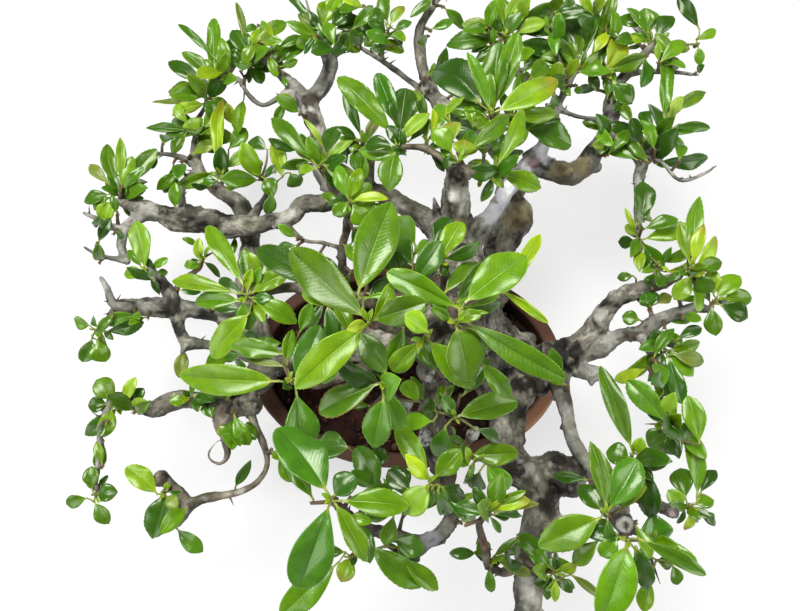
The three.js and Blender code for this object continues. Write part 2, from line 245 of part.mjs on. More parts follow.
// leaf pieces: [name, [rosette, ...]], rosette = [centre, stalk direction, [[base], [tip], width], ...]
const PIECES = [
  ['apex_a',[[[-14.6,-36.6,238.0],[-0.23,-0.06,0.97],[[[-14.2,-35.9,237.9],[-44.1,-6.3,234.9],14.1],[[-27.8,-24.2,236.0],[-58.0,-4.0,229.0],10.2],[[-19.1,-25.7,236.0],[-7.1,12.3,236.0],15.6],[[-14.9,-37.3,237.9],[-40.6,-58.1,229.9],12.0],[[-13.9,-35.9,237.9],[5.3,-31.7,245.9],10.4]]]]],
  ['apex_b',[[[15.9,-36.6,240.0],[0.04,-0.07,1.0],[[[18.2,-32.3,239.6],[-8.3,-18.7,241.6],9.2],[[18.6,-30.0,239.2],[41.5,-12.8,242.2],13.5],[[17.8,-35.1,239.0],[54.1,-55.8,234.0],9.1],[[15.9,-37.7,239.0],[20.8,-55.3,229.0],13.8],[[38.3,-19.9,237.0],[48.9,-0.1,234.0],5.7]]]]],
  ['apex_c',[[[13.0,-6.7,222.0],[-0.03,-0.0,1.0],[[[11.9,-5.4,221.8],[20.8,10.1,223.8],8.6],[[13.1,-4.9,221.8],[27.8,2.4,221.8],5.5],[[1.0,-15.6,220.3],[12.2,0.7,226.3],9.6],[[13.2,-19.0,220.6],[27.5,-3.0,214.6],5.9]]],[[-0.6,-11.7,221.0],[0.0,0.0,1.0],[[[-3.3,-11.8,220.2],[-7.1,-3.0,224.2],9.7],[[1.8,-8.4,220.9],[-7.3,9.2,214.9],9.5],[[2.7,1.1,219.8],[-4.5,22.0,205.8],8.2],[[1.8,-2.4,220.0],[7.6,6.0,216.0],4.8],[[7.9,-21.1,219.5],[15.7,-27.0,215.5],5.8]]]]],
  ['apex_e',[[[4.9,-40.6,233.0],[-0.21,-0.22,0.95],[[[6.0,-40.9,232.9],[23.6,-55.1,218.9],9.8],[[6.4,-41.0,240.0],[-1.9,-36.4,247.0],7.4],[[-2.2,-36.1,232.0],[-6.2,-46.6,224.0],8.0],[[4.2,-41.3,232.9],[-6.6,-49.5,220.9],8.0],[[25.5,-48.1,228.0],[37.0,-58.4,217.0],6.8]]]]],
  ['front_left_top',[[[-9.9,-53.7,221.0],[-0.06,-0.03,1.0],[[[-11.0,-54.1,220.9],[-33.6,-63.9,214.9],10.7],[[-8.1,-51.4,220.7],[-18.1,-36.5,224.7],9.9],[[-10.6,-55.2,220.9],[-3.3,-68.8,206.9],8.6],[[-9.5,-58.7,220.0],[-13.7,-75.7,208.0],10.9]]]]],
  ['front_mid_a',[[[18.1,-61.8,196.0],[0.08,-0.41,0.91],[[[18.5,-61.8,195.9],[43.8,-55.3,193.9],10.4],[[14.5,-64.9,195.5],[12.3,-75.8,181.5],8.8],[[25.6,-66.0,195.0],[36.5,-69.6,183.0],5.2],[[9.8,-63.3,195.5],[-2.4,-62.2,187.5],7.6],[[4.0,-55.4,194.3],[-2.4,-45.7,188.3],6.9]]]]],
  ['front_mid_b',[[[27.9,-76.4,180.0],[0.22,-0.38,0.9],[[[25.6,-74.3,179.6],[44.7,-73.8,181.6],9.0],[[31.6,-77.6,179.6],[41.7,-87.2,171.6],9.1],[[24.2,-78.8,179.5],[23.2,-71.8,184.5],3.7],[[25.0,-78.8,179.5],[23.9,-85.2,171.5],4.5],[[29.1,-80.4,179.5],[29.2,-87.6,167.5],7.5]]]]],
  ['front_rosette_a',[[[7.8,-87.0,197.0],[-0.33,0.03,0.94],[[[9.4,-85.5,196.9],[19.7,-75.0,200.9],8.8],[[7.8,-87.7,196.9],[-1.7,-98.5,192.9],10.7],[[9.3,-88.4,196.7],[-3.3,-97.5,182.7],3.9],[[11.6,-88.4,196.5],[22.5,-91.2,180.5],7.1],[[10.9,-89.9,196.5],[16.5,-97.6,178.5],6.7]]]]],
  ['front_rosette_b',[[[30.8,-97.7,193.0],[0.17,0.27,0.95],[[[31.6,-97.0,192.9],[45.8,-93.5,195.9],5.3],[[32.4,-95.5,192.7],[44.2,-90.4,197.7],3.4],[[32.3,-97.7,192.8],[50.9,-94.3,186.8],3.9],[[32.3,-98.5,192.8],[44.3,-98.7,184.8],3.9],[[29.6,-98.5,192.8],[17.0,-94.9,188.8],5.8]]]]],
  ['front_twiglets',[[[36.1,-115.0,143.0],[0.02,0.3,0.95],[[[30.5,-112.1,142.2],[18.0,-112.1,144.2],5.3],[[36.0,-116.2,142.8],[33.1,-107.2,148.8],4.0],[[37.5,-113.7,142.8],[48.8,-105.5,146.8],3.5],[[37.9,-113.7,142.7],[54.3,-121.2,139.7],5.3],[[40.7,-111.6,142.3],[50.7,-108.6,136.3],5.8]]]]],
  ['lower_left_rosette',[[[-29.4,-93.0,198.0],[0.01,0.01,1.0],[[[-29.7,-93.7,197.9],[-41.9,-125.0,185.9],16.3],[[-28.6,-94.1,197.9],[-16.2,-115.7,188.9],8.0],[[-26.3,-94.0,197.8],[-0.3,-95.9,197.8],10.2],[[-29.0,-92.6,197.9],[-20.4,-84.7,199.9],9.5],[[-30.6,-91.8,197.7],[-52.9,-65.4,191.7],16.8]]]]],
  ['left_rosette',[[[-49.5,-45.4,192.0],[-0.13,-0.06,0.99],[[[-46.1,-49.8,191.4],[-43.3,-73.1,179.4],14.4],[[-46.6,-46.1,191.6],[-36.9,-23.3,195.6],12.0],[[-50.7,-34.8,190.9],[-74.8,-29.9,188.9],8.4],[[-52.8,-46.1,191.6],[-97.0,-41.5,183.6],12.9],[[-46.3,-25.3,189.7],[-41.0,-13.1,195.7],6.3]]]]],
  ['left_upper_rosette',[[[-73.6,-1.9,172.0],[-0.29,-0.23,0.93],[[[-71.3,-3.3,171.7],[-51.0,-12.7,166.7],9.6],[[-75.6,3.7,171.4],[-96.8,36.4,167.4],9.0],[[-78.0,-0.2,171.5],[-110.1,7.4,168.5],7.9],[[-69.3,4.9,171.1],[-57.9,22.4,161.1],9.5],[[-71.9,-8.9,171.2],[-90.6,-27.2,159.2],11.9]]]]],
  ['mid_twig_rosette',[[[-27.8,47.5,171.0],[0.03,0.08,1.0],[[[-27.9,49.2,170.8],[-33.8,65.7,174.8],7.8],[[-27.4,49.8,170.8],[-22.5,63.5,175.8],7.3],[[-26.9,48.1,170.9],[-8.9,48.1,172.9],5.3],[[-28.8,47.0,170.9],[-36.1,42.1,167.9],7.7],[[-26.8,46.5,170.8],[-19.2,38.8,165.8],10.2]]]]],
  ['left_top_rosette',[[[-45.0,74.0,160.3],[-0.11,-0.03,0.99],[[[-46.0,74.1,160.1],[-70.9,101.6,162.1],8.8],[[-43.5,75.2,160.2],[-25.2,68.2,156.2],8.7],[[-46.6,74.6,160.1],[-58.0,87.3,156.1],5.2],[[-41.6,78.7,160.2],[-36.4,100.7,156.2],8.9],[[-41.6,77.6,160.1],[-27.2,87.5,164.1],5.1]]]]],
  ['mid_top_cluster',[[[-23.1,86.3,163.1],[-0.09,0.04,1.0],[[[-23.1,87.9,163.5],[-32.9,111.3,171.5],6.2],[[-21.1,86.5,162.9],[-14.0,100.8,164.9],5.7],[[-25.2,83.7,161.7],[-26.3,72.6,156.7],7.7],[[-29.3,84.9,161.7],[-33.3,82.8,149.7],8.3],[[-22.1,81.8,161.0],[-22.4,71.3,151.0],6.2]]]]],
  ['back_left_rosette',[[[-4.1,69.8,184.3],[-0.69,0.35,0.64],[[[-6.5,76.1,184.0],[-33.8,105.5,190.0],11.2],[[-5.1,79.9,185.0],[-14.8,106.3,192.0],9.3],[[-5.6,68.9,183.9],[-8.9,49.1,178.9],11.9],[[-4.1,76.1,184.0],[-0.8,99.1,190.0],13.8],[[-3.6,72.4,184.5],[10.7,85.9,188.5],7.2]]]]],
  ['back_twig_leaves',[[[9.3,73.5,181.9],[-0.15,0.7,0.7],[[[9.4,75.1,182.1],[8.0,87.9,184.1],6.3],[[11.3,76.2,182.1],[13.1,94.8,180.1],4.4],[[21.6,83.8,182.6],[14.9,99.7,176.6],7.4],[[18.2,87.5,183.9],[28.8,105.9,173.9],4.5]]]]],
  ['stub_rosette',[[[23.4,59.7,187.2],[0.03,0.36,0.93],[[[20.8,64.2,187.1],[11.9,75.9,190.1],9.4],[[20.9,70.6,187.3],[20.0,83.8,184.3],9.6],[[29.3,66.4,186.9],[49.1,87.3,184.9],8.6],[[25.6,68.4,187.2],[24.5,80.2,181.2],5.7],[[31.2,66.6,186.7],[39.1,73.9,178.7],5.7]]]]],
  ['stub_rosette_right',[[[42.6,61.6,177.1],[0.56,0.55,0.63],[[[42.7,63.3,177.0],[57.1,94.3,180.0],8.3],[[42.1,60.6,176.9],[29.0,64.3,178.9],7.2],[[43.5,60.6,176.9],[64.6,54.1,172.9],9.7],[[41.8,65.0,176.9],[44.9,77.7,172.9],5.4],[[46.6,64.0,176.7],[57.5,78.1,168.7],5.4]]]]],
  ['back_rosette',[[[44.6,107.1,157.7],[-0.13,0.1,0.99],[[[44.1,108.2,158.0],[31.5,135.5,172.0],6.9],[[45.2,109.5,158.0],[49.1,141.9,172.0],14.1],[[46.3,110.7,158.0],[58.6,146.7,174.0],11.0],[[46.2,108.2,158.0],[81.1,127.1,160.0],13.3],[[39.8,111.1,159.2],[15.2,140.6,151.2],19.5]]],[[58.3,110.7,141.6],[0.0,0.0,1.0],[[[64.0,110.2,140.5],[91.4,101.2,136.5],14.4],[[54.0,109.1,140.1],[48.5,98.9,136.1],7.2],[[58.3,113.8,142.7],[72.6,130.1,136.7],7.9],[[66.9,133.5,151.8],[79.6,153.7,141.8],10.1]]]]],
  ['top_centre',[[[59.2,179.9,132.9],[0.39,0.14,0.91],[[[59.9,183.5,133.9],[69.3,203.2,141.9],7.2],[[63.5,182.5,133.3],[94.5,200.3,135.3],12.1],[[55.1,182.5,133.3],[33.5,186.7,135.3],9.6],[[54.0,178.4,131.2],[24.2,177.4,127.2],12.1],[[66.1,177.6,130.5],[90.7,175.0,126.5],10.9]]]]],
  ['top_right_a',[[[103.6,161.7,128.4],[0.49,0.85,0.21],[[[106.0,165.0,129.7],[113.7,199.9,135.7],12.0],[[108.5,164.1,129.0],[123.2,201.8,137.0],9.0],[[99.0,162.2,127.8],[80.3,168.0,127.8],9.6],[[100.0,167.2,130.6],[90.7,186.4,130.6],9.6],[[104.7,168.2,131.1],[97.0,196.2,133.1],9.6]]],[[118.5,154.8,128.0],[0.0,0.0,1.0],[[[117.4,157.1,128.8],[128.8,177.7,133.8],13.1],[[119.6,157.8,129.7],[141.5,163.9,133.7],10.0],[[122.2,152.8,126.9],[134.5,140.2,120.9],13.1],[[120.8,155.7,128.8],[138.0,163.1,125.8],5.4],[[115.0,160.5,129.9],[124.9,180.8,131.9],7.2]]]]],
  ['top_right_c',[[[147.7,177.3,130.8],[0.26,0.4,0.88],[[[149.8,180.2,132.6],[160.0,191.6,136.6],10.8],[[151.0,175.7,131.0],[170.1,172.8,130.0],7.2],[[145.7,182.8,131.3],[143.0,196.9,137.3],9.6],[[146.8,183.6,132.1],[151.3,196.8,134.1],10.9],[[141.8,188.0,130.5],[130.4,198.3,127.5],7.3]]],[[171.1,169.3,138.4],[0.0,0.0,1.0],[[[172.3,177.2,141.0],[158.8,194.8,149.0],7.6],[[171.2,168.5,137.7],[173.4,159.1,131.7],5.9],[[170.0,171.7,139.0],[182.9,179.0,139.0],5.9]]]]],
  ['right_top_d',[[[152.4,122.7,118.0],[0.36,0.36,0.86],[[[152.5,127.4,119.3],[154.2,168.3,129.3],8.9],[[155.6,133.4,122.6],[177.9,146.0,124.6],7.7],[[156.7,124.3,119.7],[179.1,124.3,119.7],6.5],[[145.7,120.9,112.4],[111.7,119.9,107.4],18.6],[[154.5,123.5,118.8],[155.1,138.8,122.8],7.7]]],[[147.2,108.3,110.5],[0.0,0.0,1.0],[[[148.2,106.9,110.5],[180.5,110.9,108.5],8.9],[[124.4,134.9,104.1],[108.8,139.3,104.1],8.0]]]]],
  ['right_leaf_spray',[[[127.0,46.7,125.0],[-0.07,-0.96,0.27],[[[127.7,58.3,123.4],[132.7,84.9,126.4],11.7],[[126.3,52.0,123.9],[119.8,66.6,128.9],3.3],[[128.3,49.0,125.1],[154.8,54.3,129.1],10.3],[[126.7,43.3,124.6],[124.4,29.5,126.6],6.5],[[128.8,45.2,125.5],[129.9,34.0,121.5],7.6]]],[[135.0,32.4,128.0],[0.0,0.0,1.0],[[[133.6,35.2,126.8],[154.3,42.5,128.8],6.4],[[123.0,29.5,121.1],[115.0,29.9,117.1],5.4],[[136.6,28.8,128.3],[149.4,32.8,132.3],4.2]]]]],
  ['right_bright',[[[145.1,24.8,143.0],[0.08,-0.03,1.0],[[[146.7,28.2,142.8],[152.4,63.0,148.8],8.3],[[146.5,27.1,142.9],[151.1,45.8,150.9],7.1],[[147.3,25.9,143.1],[159.1,41.8,145.1],8.2],[[144.8,21.7,142.7],[136.3,9.8,136.7],9.2],[[144.6,27.2,142.5],[140.8,48.0,146.5],7.2]]]]],
  ['right_round',[[[129.6,12.2,121.0],[-0.07,0.48,0.87],[[[129.5,11.1,120.9],[126.2,19.1,123.9],11.7],[[124.4,5.4,117.9],[115.7,8.3,115.9],8.0],[[132.6,13.1,121.8],[141.7,17.6,121.8],6.4],[[133.6,5.1,122.0],[150.9,4.2,118.0],6.4]]]]],
  ['right_mid_cluster',[[[131.9,-11.7,126.7],[0.17,-0.29,0.94],[[[126.5,-14.0,123.6],[110.5,-27.0,120.6],7.7],[[134.4,-14.0,127.4],[149.5,-10.4,129.4],8.2],[[135.1,-16.2,127.5],[151.7,-19.9,125.5],8.2],[[133.2,-17.1,126.8],[138.6,-41.0,122.8],8.6],[[131.3,-18.9,125.9],[133.8,-36.9,117.9],10.2]]]]],
  ['right_lower_a',[[[116.1,-57.9,159.5],[-0.03,-0.37,0.93],[[[115.4,-57.8,159.0],[99.5,-38.1,161.0],10.8],[[116.7,-60.5,159.5],[108.8,-66.4,151.5],9.9],[[119.3,-58.0,160.4],[127.1,-64.5,156.4],10.7],[[128.1,-67.9,161.6],[124.3,-46.5,165.6],9.7],[[118.7,-63.3,160.1],[114.4,-68.9,150.1],8.1]]]]],
  ['right_lower_b',[[[96.2,-72.9,166.3],[0.05,0.45,0.89],[[[96.8,-71.2,166.3],[85.8,-33.5,168.3],8.8],[[95.4,-73.7,165.8],[86.2,-70.7,162.8],10.0],[[98.6,-72.6,167.1],[99.1,-65.9,173.1],6.0],[[99.0,-75.6,167.3],[104.6,-97.9,155.3],9.9]]]]],
  ['lower_right_rosette',[[[78.4,-97.9,182.5],[-0.23,0.07,0.97],[[[78.3,-96.3,182.3],[73.9,-69.4,184.3],7.7],[[78.9,-97.1,182.4],[91.5,-76.9,186.4],12.4],[[76.5,-99.0,182.0],[51.9,-109.7,174.0],13.2],[[77.0,-97.1,182.1],[69.4,-86.2,178.1],8.5],[[78.6,-96.3,182.3],[79.2,-72.9,178.3],7.3]]]]],
  ['lower_right_b',[[[86.8,-107.5,178.7],[-0.11,-0.12,0.99],[[[86.8,-107.9,178.7],[76.3,-137.3,168.7],14.7],[[76.8,-106.7,174.9],[67.1,-116.2,164.9],7.7],[[90.3,-106.8,179.4],[116.4,-120.5,177.4],5.9],[[89.6,-109.8,179.3],[97.0,-126.4,165.3],8.0],[[81.6,-103.7,176.1],[80.4,-113.5,168.1],6.5]]],[[103.9,-106.9,154.0],[0.0,0.0,1.0],[[[106.9,-93.6,152.7],[108.8,-108.4,146.7],14.0],[[102.8,-121.0,152.2],[100.4,-136.2,146.2],7.2],[[111.2,-116.6,156.5],[113.7,-124.9,153.5],5.5],[[103.4,-113.4,153.2],[108.4,-124.7,147.2],3.4]]]]],
  ['right_edge',[[[125.2,-92.4,148.8],[0.51,-0.02,0.86],[[[128.8,-89.0,148.9],[126.2,-62.3,153.9],7.6],[[124.1,-89.8,148.0],[125.0,-75.3,144.0],10.4],[[122.9,-93.2,147.7],[116.0,-85.6,149.7],7.1],[[129.1,-95.9,149.0],[137.2,-99.9,145.0],5.3],[[130.4,-87.3,148.9],[139.2,-76.8,148.9],6.3]]]]],
  ['front_small_rosette',[[[67.8,-120.6,124.0],[0.29,-0.15,0.94],[[[66.2,-118.5,123.6],[56.0,-108.8,126.6],8.4],[[69.8,-119.3,123.7],[77.9,-116.7,127.7],6.5],[[75.3,-121.1,123.5],[89.9,-131.5,120.5],4.2],[[65.9,-121.9,123.7],[59.0,-125.5,119.7],6.1],[[68.6,-123.7,123.6],[68.0,-133.2,120.6],4.2]]]]],
  ['front_left_dark',[[[-10.0,-84.4,146.0],[0.39,0.36,0.85],[[[-13.6,-87.4,145.4],[-23.5,-65.5,145.4],12.3],[[-1.8,-88.7,144.9],[-6.4,-74.3,146.9],11.3],[[-6.3,-95.6,144.5],[-10.9,-108.6,138.5],7.6],[[-26.9,-66.0,143.1],[-43.7,-64.4,135.1],13.2],[[-14.6,-76.3,144.9],[-11.2,-65.4,138.9],8.4]]]]],
  ['front_left_low',[[[-26.7,-114.1,128.0],[-0.38,-0.4,0.83],[[[-31.8,-115.8,127.4],[-58.3,-139.0,123.4],13.3],[[-25.8,-113.2,127.8],[-30.5,-124.4,129.8],8.7],[[-28.7,-111.5,127.6],[-40.8,-109.7,127.6],6.0]]],[[-9.2,-108.5,130.0],[0.0,0.0,1.0],[[[-19.4,-107.6,129.1],[7.4,-125.8,125.1],12.4],[[-3.6,-113.2,129.6],[13.9,-128.0,123.5],8.3],[[-6.9,-105.4,129.7],[7.8,-111.1,132.7],10.1],[[-4.6,-109.8,129.6],[5.8,-115.4,121.5],6.0]]]]],
  ['left_pair',[[[-122.9,-82.8,108.4],[-0.22,-0.22,0.95],[[[-125.1,-84.3,109.1],[-141.4,-71.0,113.1],10.5],[[-122.1,-82.8,107.9],[-127.3,-105.1,103.9],14.5],[[-115.9,-99.9,103.8],[-102.1,-111.2,100.8],8.0],[[-121.5,-84.7,107.6],[-114.2,-90.6,109.6],7.0]]]]],
  ['left_round_pale',[[[-91.4,-51.6,96.0],[0.28,0.06,0.96],[[[-89.3,-52.6,95.7],[-98.8,-52.0,98.7],13.3],[[-90.5,-79.4,92.5],[-81.9,-65.6,98.5],5.8]]]]],
  ['left_edge_low',[[[-156.1,-35.7,97.8],[-0.24,-0.24,0.94],[[[-157.5,-33.5,97.8],[-168.2,-23.4,101.8],11.4],[[-152.5,-35.3,96.0],[-146.7,-21.8,102.0],6.5],[[-158.9,-38.0,98.1],[-164.7,-53.4,94.1],9.1],[[-161.3,-35.8,98.4],[-171.9,-36.9,98.4],8.6],[[-161.2,-54.9,96.9],[-164.7,-69.9,90.9],6.9]]]]],
  ['left_edge_leaves',[[[-119.5,-31.0,91.2],[-0.1,-0.02,0.99],[[[-120.6,-31.0,91.3],[-129.8,-33.9,94.3],7.1],[[-116.6,-29.6,90.2],[-113.5,-39.3,94.2],7.1],[[-111.3,-30.5,89.0],[-106.4,-42.0,91.0],7.2],[[-126.5,-2.7,88.7],[-128.3,-18.5,86.7],7.9]]]]],
  ['left_edge_mid',[[[-173.3,5.6,99.9],[-0.45,-0.5,0.74],[[[-170.6,8.3,99.1],[-152.3,13.2,102.1],8.4],[[-169.1,4.8,98.8],[-148.3,11.4,96.8],7.9],[[-171.7,0.1,99.1],[-167.6,-11.2,94.1],11.1],[[-175.0,1.1,99.4],[-180.3,-11.6,95.4],8.9],[[-177.2,8.1,99.5],[-186.9,12.9,99.5],7.9]]]]],
  ['left_sprout',[[[-143.8,36.7,112.4],[-0.26,0.13,0.96],[[[-145.4,36.5,112.8],[-151.8,63.8,118.8],11.7],[[-145.6,34.1,112.8],[-156.7,34.1,112.8],7.2],[[-142.2,38.3,111.3],[-132.5,42.7,115.3],4.5],[[-147.0,37.5,113.2],[-155.4,47.6,115.2],5.6]]]]],
  ['left_sprout_b',[[[-115.3,45.8,108.2],[0.32,0.41,0.85],[[[-116.2,43.4,108.0],[-117.2,56.0,113.0],5.7],[[-119.0,53.6,107.6],[-127.3,56.7,111.6],4.0],[[-117.8,42.2,107.9],[-126.2,41.9,105.9],5.1],[[-114.7,45.9,108.0],[-109.8,52.7,112.0],2.3]]]]],
  ['left_far_star',[[[-171.1,91.8,101.5],[-0.18,0.64,0.74],[[[-172.9,96.0,101.3],[-181.3,122.0,106.3],9.0],[[-171.5,97.7,100.8],[-172.9,125.4,108.8],6.0],[[-169.0,98.2,99.8],[-152.0,120.8,102.8],10.3],[[-176.3,95.7,101.9],[-190.7,109.6,103.9],7.2],[[-173.9,86.4,101.6],[-180.8,73.8,97.6],10.1]]]]],
  ['left_low_edge',[[[-159.1,-84.2,101.9],[0.09,-0.62,0.78],[[[-159.3,-83.2,101.8],[-148.2,-82.2,101.8],9.2],[[-159.8,-87.1,101.6],[-152.2,-97.7,97.6],8.2],[[-161.8,-81.2,101.5],[-162.3,-69.5,104.5],8.2],[[-163.2,-85.2,101.5],[-174.9,-88.0,99.5],7.2]]]]],
  ['top_left_far',[[[-127.0,162.2,99.0],[0.16,0.44,0.88],[[[-126.9,169.2,101.9],[-152.1,184.6,103.9],9.6],[[-121.8,174.0,103.6],[-123.3,212.8,111.6],9.6],[[-120.4,183.3,107.4],[-145.3,206.4,113.4],5.1],[[-128.3,162.3,99.0],[-151.9,166.1,98.0],10.2],[[-115.7,168.7,100.5],[-105.6,208.0,102.5],12.9]]]]],
  ['top_left_mid',[[[-97.1,176.7,113.6],[0.14,0.51,0.85],[[[-95.9,180.1,114.9],[-109.1,197.6,117.9],12.5],[[-93.4,181.4,115.3],[-75.3,202.7,119.3],10.0],[[-92.2,178.2,113.6],[-72.6,184.3,113.6],10.0],[[-99.6,183.7,116.2],[-107.1,215.8,122.2],5.0],[[-102.5,160.2,99.7],[-105.3,136.3,95.7],10.1]]]]],
  ['top_left_low',[[[-133.1,140.3,91.8],[0.07,0.29,0.95],[[[-130.8,139.5,90.8],[-126.7,128.2,87.8],8.9],[[-136.9,141.4,92.4],[-164.6,142.2,93.4],6.3],[[-139.4,138.9,91.7],[-147.9,125.3,87.7],7.6],[[-129.6,143.3,91.8],[-116.2,155.4,93.8],11.5],[[-138.2,145.0,93.7],[-146.3,157.9,96.7],7.6]]]]],
  ['top_left_strap',[[[-113.2,107.2,94.0],[0.08,0.22,0.97],[[[-113.4,108.6,93.9],[-116.3,158.6,99.9],8.1],[[-115.5,104.6,93.6],[-125.8,103.0,91.6],6.2],[[-111.4,113.1,93.5],[-97.0,124.7,95.5],7.4],[[-117.3,110.3,93.5],[-142.0,102.2,90.5],8.6],[[-111.1,125.7,93.9],[-101.1,141.8,93.9],10.1]]]]],
  ['top_left_sprig',[[[-86.6,98.9,108.0],[-0.25,0.31,0.92],[[[-88.9,96.5,107.6],[-106.4,91.0,106.6],9.5],[[-84.2,97.8,107.7],[-78.2,87.4,104.7],10.1],[[-79.1,89.0,106.6],[-83.0,77.6,100.6],7.7],[[-73.8,98.5,106.4],[-79.3,120.8,110.4],9.6],[[-83.0,116.8,108.0],[-96.2,124.3,105.0],8.5]]]]],
  ['top_blur_a',[[[-51.4,189.1,125.9],[-0.3,0.23,0.92],[[[-51.5,192.8,126.8],[-46.6,206.7,131.8],12.3],[[-46.6,191.9,126.1],[-33.2,203.0,129.1],11.1],[[-44.2,191.0,125.4],[-25.8,195.6,125.4],11.1],[[-55.2,191.8,126.3],[-73.8,212.5,132.3],4.9],[[-49.1,195.5,127.2],[-39.5,217.2,132.2],9.9]]]]],
  ['top_blur_b',[[[-11.0,190.2,126.3],[0.09,0.41,0.91],[[[-13.5,188.3,125.0],[-2.4,181.0,123.0],13.5],[[-13.5,190.4,126.0],[-20.8,203.7,130.0],9.8],[[-9.8,192.7,126.9],[-1.2,204.4,130.9],7.4],[[-18.4,191.0,125.4],[-33.3,193.4,124.4],9.8],[[-11.0,194.0,127.2],[-13.5,211.6,133.2],8.6]]]]],
  ['off_front',[[[46.7,-155.5,122.0],[-0.05,0.16,0.99],[[[45.0,-153.9,121.7],[28.3,-149.2,119.7],10.0],[[48.6,-153.9,121.7],[68.9,-149.0,121.7],9.9],[[45.7,-157.2,121.8],[34.1,-172.4,115.8],10.8],[[49.4,-157.2,121.6],[63.0,-170.9,115.6],9.9],[[44.0,-155.6,121.7],[23.5,-160.9,117.7],9.0]]]]],
  ['off_right',[[[159.0,10.8,134.0],[0.24,0.28,0.93],[[[159.2,11.9,133.9],[172.1,23.0,136.9],10.3],[[159.8,8.7,133.7],[175.5,2.1,130.7],10.3],[[156.6,7.7,133.6],[158.1,-7.2,129.6],9.2],[[158.4,13.1,133.7],[157.4,26.7,138.7],8.3],[[161.2,10.9,133.8],[177.8,12.0,133.8],9.3]]]]],
];

// ---------------------------------------------------------------- wood
const sidesFor = (r) => (r > 9 ? 8 : r > 5 ? 6 : r > 2.2 ? 5 : 4);
const tubes = WOOD.map(([, pts]) => tube(pts, sidesFor(Math.max(...pts.map((p) => p[3])))));
const wood = largest(largest(Manifold.union(tubes)).simplify(0.22));
const fatWood = largest(Manifold.union(WOOD.map(([, pts]) => tube(pts, sidesFor(Math.max(...pts.map((p) => p[3]))), 0.62))).simplify(0.05));

// ---------------------------------------------------------------- pot
// An oval bowl lofted through ellipses [half length, half width, height].
function loft(rings, sides) {
  const verts = [];
  const tris = [];
  for (const [a, b, z] of rings) {
    for (let k = 0; k < sides; k++) {
      const t = (2 * Math.PI * k) / sides;
      verts.push([a * Math.cos(t), b * Math.sin(t), z]);
    }
  }
  const bottom = verts.length;
  verts.push([0, 0, rings[0][2]]);
  const top = verts.length;
  verts.push([0, 0, rings[rings.length - 1][2]]);
  for (let i = 0; i < rings.length - 1; i++) {
    for (let k = 0; k < sides; k++) {
      const a = i * sides + k;
      const b = i * sides + ((k + 1) % sides);
      tris.push([a, b, b + sides], [a, b + sides, a + sides]);
    }
  }
  for (let k = 0; k < sides; k++) {
    tris.push([bottom, (k + 1) % sides, k]);
    const o = (rings.length - 1) * sides;
    tris.push([top, o + k, o + ((k + 1) % sides)]);
  }
  return solid(verts, tris);
}
const POT_SIDES = 32;
const outer = loft([
  [76, 48, 0], [80.5, 51.5, 3.2], [87, 57.2, 22], [91, 60.8, 44], [91.6, 61.4, 50], [94.6, 64.4, 52.4], [95.4, 65.2, 56.5], [94.2, 64, 60],
], POT_SIDES);
const inner = loft([
  [70, 42, 7], [77, 48.5, 12], [82, 52.6, 30], [85.4, 55.4, 48], [86, 56, 61],
], POT_SIDES);
let pot = outer.subtract(inner);
const HOLES = [[-42, 0], [42, 0]];
for (const [x, y] of HOLES) {
  pot = pot.subtract(Manifold.cylinder(12, 7.5, 7.5, 16).translate([x, y, -2]));
  // shallow channel in the underside, so that water can run out from under the pot
  pot = pot.subtract(Manifold.cube([6, 140, 2.4], true).translate([x, y, 0]));
}
put('pot', pot, 0x6b3f2c, 0.82);

// ---------------------------------------------------------------- plastic mesh over each drainage hole
let n = 0;
const screens = [];
for (const [x, y] of HOLES) {
  let screen = Manifold.cube([24, 24, 1.4], true).translate([x, y, 8.0]);
  for (const dx of [-3.2, 3.2]) {
    for (const dy of [-3.2, 3.2]) {
      screen = screen.subtract(Manifold.cube([4.6, 4.6, 4], true).translate([x + dx, y + dy, 8.0]));
    }
  }
  screens.push(screen);
  n += 1;
  put(n === 1 ? 'drainage_mesh_left' : 'drainage_mesh_right', screen, 0x23261f, 0.7);
}

